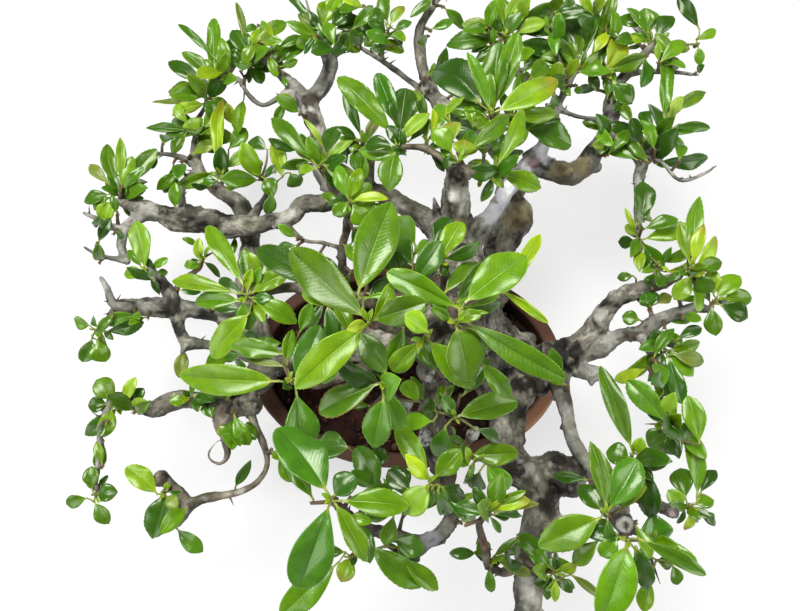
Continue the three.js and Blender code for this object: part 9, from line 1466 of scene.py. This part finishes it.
    # a closed ring per row: top from left to right, then underside from right to left
    ring = np.concatenate([top, bot[:, ::-1]], axis=1)
    k = 2 * m
    Vt = ring.reshape(-1, 3)
    idx = np.arange(rows * k).reshape(rows, k)
    nx = np.roll(idx, -1, axis=1)
    quads = np.stack([idx[:-1], idx[1:], nx[1:], nx[:-1]], -1).reshape(-1, 4)
    caps = []
    for r_, rev in ((0, False), (rows - 1, True)):
        for j in range(m - 1):
            qd = [idx[r_, j], idx[r_, j + 1], idx[r_, k - 2 - j], idx[r_, k - 1 - j]]
            caps.append(qd[::-1] if rev else qd)
    quads = np.vstack([quads, caps])
    # colour: leaf tone with a gradient along
    colset, gl = TONES[tone]
    col = lin(rnd.choice(colset)) * (1 + rnd.uniform(-0.14, 0.14))
    col = col * np.array([1 + rnd.uniform(-0.12, 0.14), 1.0, 1 + rnd.uniform(-0.2, 0.25)])
    stalk_col = lin("8fa03a") if tone != "w" else lin("66594a")
    uu = np.concatenate([U, U[:, ::-1]], 1).reshape(-1)
    bb = np.repeat(b, k)
    colv = np.repeat(col[None], len(Vt), 0)
    g1 = (ramp(bb, 0.7, 1.0) * 0.10 + ramp(bb, 0.35, 0.0) * 0.14)[:, None]
    colv = colv * (1 + g1)
    sk = (1 - ramp(bb, 0.0, 0.10))[:, None]
    colv = colv * (1 - sk) + stalk_col * sk
    if tone in "yb" and rnd.random() < (0.35 if tone == "y" else 0.06):
        rimc = lin(rnd.choice(["8a4a22", "9a5a24", "a8702c"]))
    else:
        rimc = col * np.array([2.3, 1.75, 3.2]) + 0.012
    if tone == "y" and rnd.random() < 0.3:             # young tips flushed with red-brown
        k2 = ramp(bb, 0.55, 1.0)[:, None] * 0.6
        colv = colv * (1 - k2) + lin("8a5a24") * k2
    vv2 = np.concatenate([Vv, Vv[:, ::-1]], 1).reshape(-1)
    yy = np.concatenate([Y, Y[:, ::-1]], 1).reshape(-1)
    cc = np.concatenate([count, count[:, ::-1]], 1).reshape(-1)
    hw = np.repeat(halfw, k)
    undr = np.concatenate([np.zeros((rows, m)), np.ones((rows, m))], 1).reshape(-1)
    uv = np.stack([bb, vv2, np.clip(bb * 12, 0, 1)], 1)
    rimk = 1.0 if cls >= 2 else 1.9 if cls == 1 else 3.0
    mmv = np.stack([np.maximum(hw - np.abs(yy), 0) * rimk, yy, cc], 1)
    pile.add(Vt, quads, leafuv=uv, leafmm=mmv, under=undr, big=np.full(len(Vt), {3: 1.0, 2: 0.8, 1: 0.4, 0: 0.0}[cls]),
             gloss=np.full(len(Vt), gl + rnd.uniform(-0.03, 0.05)), col=colv, colrim=np.repeat(rimc[None], len(Vt), 0))
    return top[0].mean(0), top


def shoot(pile, pts, r0, r1, col0, col1, sides=6):
    """thin green or reddish stem"""
    rows = np.array([[*p, r0 + (r1 - r0) * k / (len(pts) - 1)] for k, p in enumerate(pts)])
    rows, s = curve_points(rows, 1.7)
    t = (s / s[-1])[:, None]
    tube(pile, rows, sides, col=lin(col0) * (1 - t) + lin(col1) * t)


def turned(d, b, t, w, rnd, tone, exact):
    """the top face's direction and the drawn width of a leaf that grows from a shoot of direction d; glossy tones
    turn one half towards the sky's reflection, the others turn both halves away from it"""
    e = unit(t - b)
    m = (b + t) / 2
    cam = unit(CAM - m)
    half = unit(unit(KEY - m) + cam)
    want = unit(d * 0.35 + np.array([0, 0, 0.45]) + cam * 0.75)
    n0 = want - e * (want @ e)
    n0 = unit(n0) if np.linalg.norm(n0) > 0.1 else unit(np.cross(e, [1, 0, 0]))
    sd = np.cross(n0, e)
    r0 = rnd.uniform(-0.12, 0.12) if exact else rnd.uniform(-0.34, 0.34)
    shiny = tone in "sp" or (tone in "bg" and rnd.random() < 0.38)
    best, pick = None, r0
    for k in (-2, -1, 0, 1, 2):
        roll = r0 + k * (0.13 if exact else 0.16)
        n1 = n0 * math.cos(roll) + sd * math.sin(roll)
        s1 = np.cross(n1, e)
        g = max(unit(n1 + s1 * 0.38) @ half, unit(n1 - s1 * 0.38) @ half)
        g = (g if shiny else -g) - abs(roll) * 0.03
        if best is None or g > best:
            best, pick = g, roll
    n1 = n0 * math.cos(pick) + sd * math.sin(pick)
    face = abs(n1 @ unit(cam - e * (cam @ e)))
    return n1, w * 1.0 * min(1.12, 1 / max(0.55, face))


def build_leaves(leaf_mat, shoot_mat, S):
    up = np.array([0, 0, 1.0])
    obs = []
    tris = 0
    # everything woody that a stray leaf may grow from: branch samples and twig samples
    tw = []
    for name, pts in TWIGS:
        rows, s = curve_points(pts, 1.0)
        tw.append(rows)
    carry = np.vstack([S[:, :4]] + tw)
    kd = KDTree(len(carry))
    for i, q in enumerate(carry[:, :3]):
        kd.insert(q, i)
    kd.balance()

    def nearest_wood(p):
        best, bd = None, 1e9
        for co, j, dist in kd.find_n(p, 6):
            e = dist - carry[j, 3]
            if e < bd:
                best, bd = j, e
        q = carry[best]
        o = unit(p - q[:3])
        return q[:3] + o * max(0.0, q[3] - 0.5), bd, o

    def stalks(sp, lp, c, d, leaves, rnd, seed):
        """joins each leaf base to the shoot or to what is nearest, then draws the leaf"""
        joined = [c - d * 0.4]
        order = sorted(range(len(leaves)), key=lambda i: np.linalg.norm(np.array(leaves[i][0]) - c))
        for i in order:
            b, t, w, tone, cls = leaves[i][:5]
            exact = len(leaves[i]) > 5
            b, t = np.array(b, float), np.array(t, float)
            near = min(joined, key=lambda q: np.linalg.norm(q - b))
            gap = np.linalg.norm(near - b)
            e = unit(t - b)
            if gap > 0.9:
                wp, wd, wo = nearest_wood(b)
                if gap > 5.5 and wd < gap * 1.15:
                    # a short side shoot from the branch itself
                    mid = (wp + b) / 2 + (up * 0.16 - e * 0.10) * max(wd, 1)
                    shoot(sp, [wp, mid, b + e * 0.5], 0.85 if wd > 6 else 0.62, 0.42, "5c4c3c" if wd > 4 else "625a34", "75803a")
                elif gap > 9:
                    mid = (near + b) / 2 - up * 0.22 * gap
                    shoot(sp, [near, mid, b + e * 0.6], 0.85, 0.5, "5a4838", "6c6c38")
                    joined.append((near + b) / 2)
                else:
                    mid = (near + b) / 2 + (d * 0.08 - e * 0.10) * gap
                    shoot(sp, [near, mid, b + e * 0.6], 0.55, 0.40, "6e7236" if gap > 3 else "7f8c3c", "8a9a40")
            joined.append(b)
            if tone == "w":
                shoot(sp, [b, (b + t) / 2, t], 0.8, 0.15, "5b463a", "3a2a22")
                continue
            n1, W = turned(d, b, t, w, rnd, tone, exact)
            blade(lp, b, t, W, n1, tone, cls, rnd, i, curl=rnd.uniform(0.03, 0.08) if exact else None, straight=exact)

    def buds(sp, c, d, rnd, count):
        for k in range(count):
            a = rnd.uniform(0, 6.28)
            o = unit(np.cross(d, [math.cos(a), math.sin(a), 0.3]))
            b0 = c - d * rnd.uniform(0.6, 2.6) + o * 0.6
            shoot(sp, [b0, b0 + (o * 0.8 + d * 0.9) * 0.8, b0 + (o * 0.9 + d * 2.0) * 0.8], 0.42, 0.12, "5c4030", "86703a", 5)

    def finish(lp, sp, name, lname=None):
        nonlocal tris
        ob = lp.build(name)
        ob.data.materials.append(leaf_mat)
        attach(ob, "root")
        if lname:
            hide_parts(lname)
        st = sp.build("shoots_" + (lname[7:] if lname else name))
        st.data.materials.append(shoot_mat)
        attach(st, "root")
        tris += len(ob.data.polygons) * 2 + len(st.data.polygons) * 2
        obs.append(ob)

    for pi, (name, rosettes) in enumerate(PIECES):
        lp, sp = Pile(), Pile()
        rnd = random.Random(1000 + pi)
        centres = []
        for ri, (c, d, join, leaves) in enumerate(rosettes):
            c = np.array(c, float)
            d = unit(d)
            centres.append(c)
            if join >= 0:
                p = centres[join]
                mid = (p + c) / 2 + np.array([0, 0, -1.5])
                shoot(sp, [p - d * 1.0, mid, c], 0.95, 0.7, "5c4634", "7c8440")
                d = unit(unit(c - p) * 0.5 + up)
            # the shoot's own tip and bud scales
            shoot(sp, [c - d * 3.2, c - d * 1.4, c + d * 0.6], 1.15, 0.75, "4c3a2c", "74803c")
            buds(sp, c, d, rnd, 5)
            stalks(sp, lp, c, d, leaves, rnd, pi)
            # a few very young leaves standing in the heart of the rosette
            if len(leaves) >= 4:
                for k in range(3):
                    a = rnd.uniform(0, 6.28)
                    o = np.array([math.cos(a), math.sin(a), 0])
                    o = unit(o - d * (o @ d))
                    L = rnd.uniform(3.2, 6.5)
                    e = unit(d * rnd.uniform(0.9, 1.6) + o)
                    b0 = c + o * 0.3 + d * 0.2
                    blade(lp, b0, b0 + e * L, L * 0.36, unit(d * 0.6 - o), "y", 0, rnd, k, curl=0.06)
                # older leaves under the rosette, on the side away from the sky
                for k in range(0 if name in NEAT else 2):
                    a = rnd.uniform(0, 6.28)
                    o = np.array([math.cos(a), math.sin(a), 0])
                    L = rnd.uniform(8, 14)
                    e = unit(o - d * 0.35 + np.array([0, 0, -0.25]))
                    b0 = c - d * 2.4 + o * 0.8
                    blade(lp, b0, b0 + e * L, L * 0.36, unit(d + up), rnd.choice("dgd"), 1, rnd, k)
        finish(lp, sp, "rosette_" + name, "leaves_" + name)

    # little tufts on short spurs straight from the branches
    zones = {}
    for row in SPURS:
        w = row[0]
        key = ("left" if w[0] < -60 else "right" if w[0] > 55 else "middle") + ("_back" if w[1] > 40 else "_front")
        zones.setdefault(key, []).append(row)
    for key in sorted(zones):
        lp, sp = Pile(), Pile()
        rnd = random.Random(sum(map(ord, key)))
        for k, (w, tip, d, leaves) in enumerate(zones[key]):
            c = np.array(tip, float)
            d = unit(d)
            wp = np.array(w[:3], float)
            o = unit(c - wp)
            root = wp + o * max(0.0, w[3] - 0.7)
            mid = (root + c) / 2 + np.array([0, 0, 0.5])
            shoot(sp, [root, mid, c], min(1.25, 0.5 + w[3] * 0.3), 0.75, "4e4238", "665636")
            buds(sp, c, d, rnd, 3)
            stalks(sp, lp, c, d, leaves, rnd, k)
        finish(lp, sp, "tufts_" + key)
    print("leaf triangles about", tris)
    return obs


def build_twigs(mat, shoot_mat, S):
    """thin woody twigs up to each rosette, with nodes, spurs and thorns"""
    pile = Pile()
    th = Pile()
    rnd = random.Random(77)
    for ti, (name, pts) in enumerate(TWIGS):
        rows, s = curve_points(pts, 0.8)
        rows = rows.copy()
        rows[:, 3] *= 1 + 0.10 * np.sin(s * 1.1 + ti) ** 8 + 0.10 * fbm(np.stack([s / 4 + ti * 9, s * 0, s * 0], 1), 2, 3)
        rows[:, 3] *= 1 + 0.5 * np.exp(-s / 2.2)
        t = (s / max(s[-1], 1e-6))[:, None]
        tone = 0.5 + 0.5 * fbm(np.stack([s / 6 + ti * 3.3, s * 0 + 4, s * 0], 1), 2, 13)[:, None]
        c0 = lin("4b4038") * (1 - tone) + lin("7c7067") * tone
        c1 = lin("5a3e2c") * (1 - tone) + lin("86623c") * tone
        k = ramp(t, 0.55, 1.0)
        col = c0 * (1 - k) + c1 * k
        co = np.stack([np.full(len(s), ti * 17.0), s * 0, s], 1)
        tube(pile, rows, 9, col=col, rugged=np.full(len(s), 0.55), lichen=np.clip(fbm(np.stack([s / 5 + ti, s * 0, s * 0], 1), 2, 5) - 0.55, 0, 1),
             barkco=co, shape=lambda Sg, Fg: 1 + 0.10 * np.sin(3 * Fg + Sg * 0.6) + 0.05 * np.sin(5 * Fg - Sg * 1.9))
        # thorns and short spurs
        T, N, B = frames_along(rows[:, :3])
        pos = rnd.uniform(3, 8)
        while pos < s[-1] - 2:
            k = int(np.searchsorted(s, pos))
            a = rnd.uniform(0, 6.28)
            o = N[k] * math.cos(a) + B[k] * math.sin(a)
            Lh = rnd.uniform(1.6, 4.2)
            b0 = rows[k, :3] + o * rows[k, 3] * 0.6
            e = unit(o + T[k] * 0.35)
            shoot(th, [b0, b0 + e * Lh * 0.5, b0 + e * Lh], 0.5, 0.08, "5a4a3c", "2a1d16", 6)
            pos += rnd.uniform(5, 13)
    ob = pile.build("twigs")
    ob.data.materials.append(mat)
    # thorns on the thinner branches
    idx = [i for i in range(len(S)) if 1.3 < S[i, 3] < 3.6 and S[i, 2] > 70]
    for i in rnd.sample(idx, min(110, len(idx))):
        p = S[i, :3]
        a = rnd.uniform(0, 6.28)
        o = unit([math.cos(a), math.sin(a), rnd.uniform(-0.2, 1.0)])
        Lh = rnd.uniform(2.0, 5.5)
        b0 = p + o * S[i, 3] * 0.7
        shoot(th, [b0, b0 + o * Lh * 0.5 + np.array([0, 0, 0.15]), b0 + o * Lh], 0.7, 0.1, "5f5247", "2c211b", 6)
    tho = th.build("thorns")
    tho.data.materials.append(shoot_mat)
    return ob, tho


# ---------------------------------------------------------------- pot
POT_OUT = [(76, 48, 0), (80.5, 51.5, 3.2), (87, 57.2, 22), (91, 60.8, 44), (91.6, 61.4, 50), (94.6, 64.4, 52.4), (95.4, 65.2, 56.5), (94.2, 64, 60)]
POT_IN = [(86, 56, 60), (85.4, 55.4, 48), (82, 52.6, 30), (77, 48.5, 12), (70, 42, 7)]


def fillet(pts, radii, n=6):
    """rounds the corners of a polyline in 2-D"""
    out = [np.array(pts[0], float)]
    for k in range(1, len(pts) - 1):
        p, a, b = (np.array(q, float) for q in (pts[k], pts[k - 1], pts[k + 1]))
        r = radii[k]
        da, db = a - p, b - p
        la, lb = np.linalg.norm(da), np.linalg.norm(db)
        t = min(r, la * 0.45, lb * 0.45)
        if t < 0.05:
            out.append(p)
            continue
        pa, pb = p + da / la * t, p + db / lb * t
        for j in range(n + 1):
            u = j / n
            out.append((1 - u) ** 2 * pa + 2 * u * (1 - u) * p + u * u * pb)
    out.append(np.array(pts[-1], float))
    return out


def build_pot(mat):
    # profile as offsets from the rim's ellipse: (inset, z)
    prof = [(94.9, 0.0), (19.4 + 0.0, 0.0)]
    outer = [(95.4 - a, z) for a, b, z in POT_OUT]
    inner = [(95.4 - a, z) for a, b, z in POT_IN]
    line = [(60, 0.0)] + [(o[0], o[1]) for o in outer] + [(i[0], i[1]) for i in inner] + [(60, 7.0)]
    rad = [0, 1.6, 2.0, 30, 8, 1.6, 1.6, 2.2, 2.4, 2.6, 30, 20, 6, 0]
    pr = fillet(line, rad, 7)
    # split long stretches
    fine = [pr[0]]
    for q in pr[1:]:
        L = np.linalg.norm(q - fine[-1])
        n = max(1, int(L / 3.0))
        p = fine[-1]
        for j in range(1, n + 1):
            fine.append(p + (q - p) * j / n)
    pr = np.array(fine)
    sides = 176
    phi = np.arange(sides) * 2 * math.pi / sides
    # semi-axes for each inset, read from the rings' own pairs so that the wall keeps the solid's shape
    tabA = sorted([(95.4 - a, a, b) for a, b, z in POT_OUT + POT_IN] + [(60, 35.4, 16)], key=lambda q: q[0])
    xs = [q[0] for q in tabA]
    A = np.interp(pr[:, 0], xs, [q[1] for q in tabA])
    Bx = np.interp(pr[:, 0], xs, [q[2] for q in tabA])
    V = np.stack([A[:, None] * np.cos(phi)[None], Bx[:, None] * np.sin(phi)[None], np.repeat(pr[:, 1:2], sides, 1)], -1)
    flat = V.reshape(-1, 3)
    out = flat / (np.linalg.norm(flat * (1, 1.4, 0), axis=1)[:, None] + 1e-6)
    h = fbm(flat / 38.0, 2, 201) * 0.38 + fbm(flat / 7.0, 2, 205) * 0.10
    k = ramp(flat[:, 2], 0.3, 5.0)
    nrm2 = np.stack([flat[:, 0] / 95 ** 2, flat[:, 1] / 65 ** 2, np.zeros(len(flat))], 1)
    nrm2 /= np.linalg.norm(nrm2, axis=1)[:, None] + 1e-9
    flat = flat + nrm2 * (h * k)[:, None]
    flat[:, 2] += fbm(flat / 30.0, 2, 211) * 0.25 * ramp(flat[:, 2], 30, 60)
    m = len(pr)
    idx = np.arange(m * sides).reshape(m, sides)
    nx = np.roll(idx, -1, axis=1)
    quads = np.stack([idx[:-1], nx[:-1], nx[1:], idx[1:]], -1).reshape(-1, 4)
    V = np.vstack([flat, [0, 0, 0], [0, 0, 7.0]])
    c0, c1 = m * sides, m * sides + 1
    tris = [(c0, nx[0][j], idx[0][j]) for j in range(sides)] + [(c1, idx[-1][j], nx[-1][j]) for j in range(sides)]
    pile = Pile()
    pile.add(V, quads, tris)
    ob = pile.build("pot_shell")
    # drainage holes and the shallow grooves under the foot
    cut = Pile()
    for x in (-42, 42):
        rows = np.array([[x, 0, -3, 7.5], [x, 0, 3.5, 7.5], [x, 0, 10, 7.5]])
        tube(cut, rows, 40, end="flat")
        bx = np.array([[sx * 3 + x, sy * 70, z] for z in (-2, 1.2) for sy in (-1, 1) for sx in (-1, 1)])
        cut.add(bx, [(0, 2, 3, 1), (4, 5, 7, 6), (0, 1, 5, 4), (2, 6, 7, 3), (0, 4, 6, 2), (1, 3, 7, 5)])
    co = cut.build("pot_cut")
    mod = ob.modifiers.new("holes", "BOOLEAN")
    mod.operation = "DIFFERENCE"
    mod.object = co
    mod.solver = "EXACT"
    mod.use_self = True
    dg = bpy.context.evaluated_depsgraph_get()
    me = bpy.data.meshes.new_from_object(ob.evaluated_get(dg))
    ob.modifiers.clear()
    ob.data = me
    bpy.data.objects.remove(co)
    V = coords(me)
    # rim edges and foot edge are rubbed paler; on the rim this is partly painted light, kept mostly to the front right
    # where the rim is lit
    top = ramp(V[:, 2], 56.5, 59.6)
    foot = 1 - ramp(V[:, 2], 0.5, 3.5)
    rimband = np.exp(-((V[:, 2] - 52.6) / 1.1) ** 2) * 0.45
    near = ramp(np.hypot(V[:, 0] - 84, V[:, 1] + 26), 44, 14)
    put_attr(me, "wear_and_lit_rim", np.clip((top * 0.85 + rimband) * (0.10 + 0.90 * near) + foot * 0.4, 0, 1))
    me.polygons.foreach_set("use_smooth", np.ones(len(me.polygons), bool))
    sharp = np.zeros(len(me.edges), bool)
    me.set_sharp_from_angle(angle=math.radians(38))
    me.materials.clear()
    me.materials.append(mat)
    return ob


def soil_top(x, y):
    rr = np.hypot(x / 85.0, y / 55.0)
    d = np.hypot((x - 43) / 40.0, (y - 5) / 34.0)
    return 51.2 - 2.2 * rr * rr + 4.2 * np.exp(-1.3 * d * d) + 0.5 * np.sin(0.21 * x + 1.3) * np.cos(0.27 * y - 0.4)


ICO = None


def pebble(rnd):
    """a small rough granule of 12 points"""
    global ICO
    if ICO is None:
        import bmesh
        bm = bmesh.new()
        bmesh.ops.create_icosphere(bm, subdivisions=1, radius=1.06)
        bm.verts.ensure_lookup_table()
        ICO = (np.array([v.co[:] for v in bm.verts]), np.array([[v.index for v in f.verts] for f in bm.faces]))
        bm.free()
    V, F = ICO
    return V, F


def build_soil(mat):
    rnd = random.Random(9)
    pile = Pile()
    nr, na = 46, 150
    rows = []
    for i in range(1, nr + 1):
        f = i / nr
        t = np.arange(na) * 2 * math.pi / na
        x, y = 84.6 * f * np.cos(t), 54.6 * f * np.sin(t)
        p = np.stack([x, y, soil_top(x, y) - 0.9], 1)
        p[:, 2] += fbm(p / 3.2, 3, 301) * 0.9
        if i == nr:
            p[:, 2] = 47.6
        rows.append(p)
    for z, s in ((40, 0.985), (28, 0.955), (14, 0.90), (9.2, 0.84)):
        t = np.arange(na) * 2 * math.pi / na
        rows.append(np.stack([84.6 * s * np.cos(t), 54.6 * s * np.sin(t), np.full(na, float(z))], 1))
    R = np.array(rows)
    m = len(R)
    idx = np.arange(m * na).reshape(m, na)
    nx = np.roll(idx, -1, axis=1)
    quads = np.stack([idx[:-1], idx[1:], nx[1:], nx[:-1]], -1).reshape(-1, 4)
    V = np.vstack([R.reshape(-1, 3), [0, 0, float(soil_top(np.array(0.0), np.array(0.0))) - 0.9], [0, 0, 9.2]])
    c0, c1 = m * na, m * na + 1
    tris = [(c0, idx[0][j], nx[0][j]) for j in range(na)] + [(c1, nx[-1][j], idx[-1][j]) for j in range(na)]
    tone = ramp(fbm(V / 6.0, 3, 305), -0.6, 0.6)[:, None]
    pile.add(V, quads, tris, col=lin("1a0c08") * (1 - tone) + lin("331a12") * tone)
    # loose granules on the surface
    base = ["2c150e", "3a1d13", "200f0a", "46271a", "4a2c1e", "2e1e16", "5a3e2e", "1c0f0c"]
    count = 900
    made = 0
    Vp, Fp = pebble(rnd)
    while made < count:
        x, y = rnd.uniform(-84, 84), rnd.uniform(-54, 54)
        if math.hypot(x / 83.6, y / 53.6) > 1:
            continue
        r = rnd.choice([0.9, 1.1, 1.3, 1.5, 1.8, 2.2])
        a, b, c = (r * rnd.uniform(0.75, 1.25) for _ in range(3))
        R3 = Vector((rnd.gauss(0, 1), rnd.gauss(0, 1), rnd.gauss(0, 1))).normalized().to_track_quat("Z", "Y").to_matrix()
        M3 = np.array(R3)
        q = Vp * (1 + 0.22 * noise3(Vp * 1.7 + made * 3.1, 5))[:, None] * (a, b, c * 0.8)
        q = q @ M3.T
        z = float(soil_top(np.array(x), np.array(y))) - 0.7 + r * rnd.uniform(0.05, 0.5)
        cc = lin(rnd.choice(base)) * rnd.uniform(0.7, 1.2)
        pile.add(q + (x, y, z), tris=Fp, col=np.repeat(cc[None], len(q), 0))
        made += 1
    ob = pile.build("soil_granules")
    ob.data.materials.append(mat)
    return ob


def build_drainage(mat, x, name):
    """woven-look plastic mesh over a drainage hole"""
    pile = Pile()
    n, p = 9, 24 / 9.0
    def bar(lo, hi):
        (x0, y0, z0), (x1, y1, z1) = lo, hi
        b = 0.18
        v = []
        for z, ins in ((z0, b), (z0 + b, 0), (z1 - b, 0), (z1, b)):
            v += [(x0 + ins, y0 + ins, z), (x1 - ins, y0 + ins, z), (x1 - ins, y1 - ins, z), (x0 + ins, y1 - ins, z)]
        q = [(0, 3, 2, 1), (12, 13, 14, 15)]
        for k in range(3):
            for j in range(4):
                a0, a1 = k * 4 + j, k * 4 + (j + 1) % 4
                q.append((a0, a1, a1 + 4, a0 + 4))
        pile.add(v, q)
    for i in range(n + 1):
        o = -12 + i * p * (24 - 1.0) / 24 * 24 / (24)
        o = -12 + i * (24 - 1.0) / n
        bar((x + o, -12, 7.3), (x + o + 1.0, 12, 8.2))
        bar((x - 12, o, 7.75), (x + 12, o + 1.0, 8.65))
    ob = pile.build(name, smooth=False)
    ob.data.materials.append(mat)
    return ob


# ---------------------------------------------------------------- put it together
stage()
leafm, barkm, shootm, claym, soilm, meshm = leaf_material(), bark_material(), shoot_material(), clay_material(), soil_material(), mesh_material()

wood, SAMPLES, _tree = build_wood(barkm)
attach(wood, "root")
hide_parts("trunk_and_branches")
twigs, thorns = build_twigs(barkm, shootm, SAMPLES)
for o in (twigs, thorns):
    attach(o, "root")
build_leaves(leafm, shootm, SAMPLES)
pot = build_pot(claym)
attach(pot, "root")
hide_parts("pot")
soil = build_soil(soilm)
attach(soil, "root")
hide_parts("soil")
for nm, x in (("left", -42), ("right", 42)):
    d = build_drainage(meshm, x, "hole_cover_" + nm)
    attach(d, "root")
    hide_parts("drainage_mesh_" + nm)

for o in bpy.data.objects:
    if o.type == "MESH" and len(o.data.polygons) > 3000:
        print(o.name, len(o.data.vertices), "points", sum(len(p.vertices) - 2 for p in o.data.polygons) if len(o.data.polygons) < 60000 else len(o.data.polygons), "tris or faces")
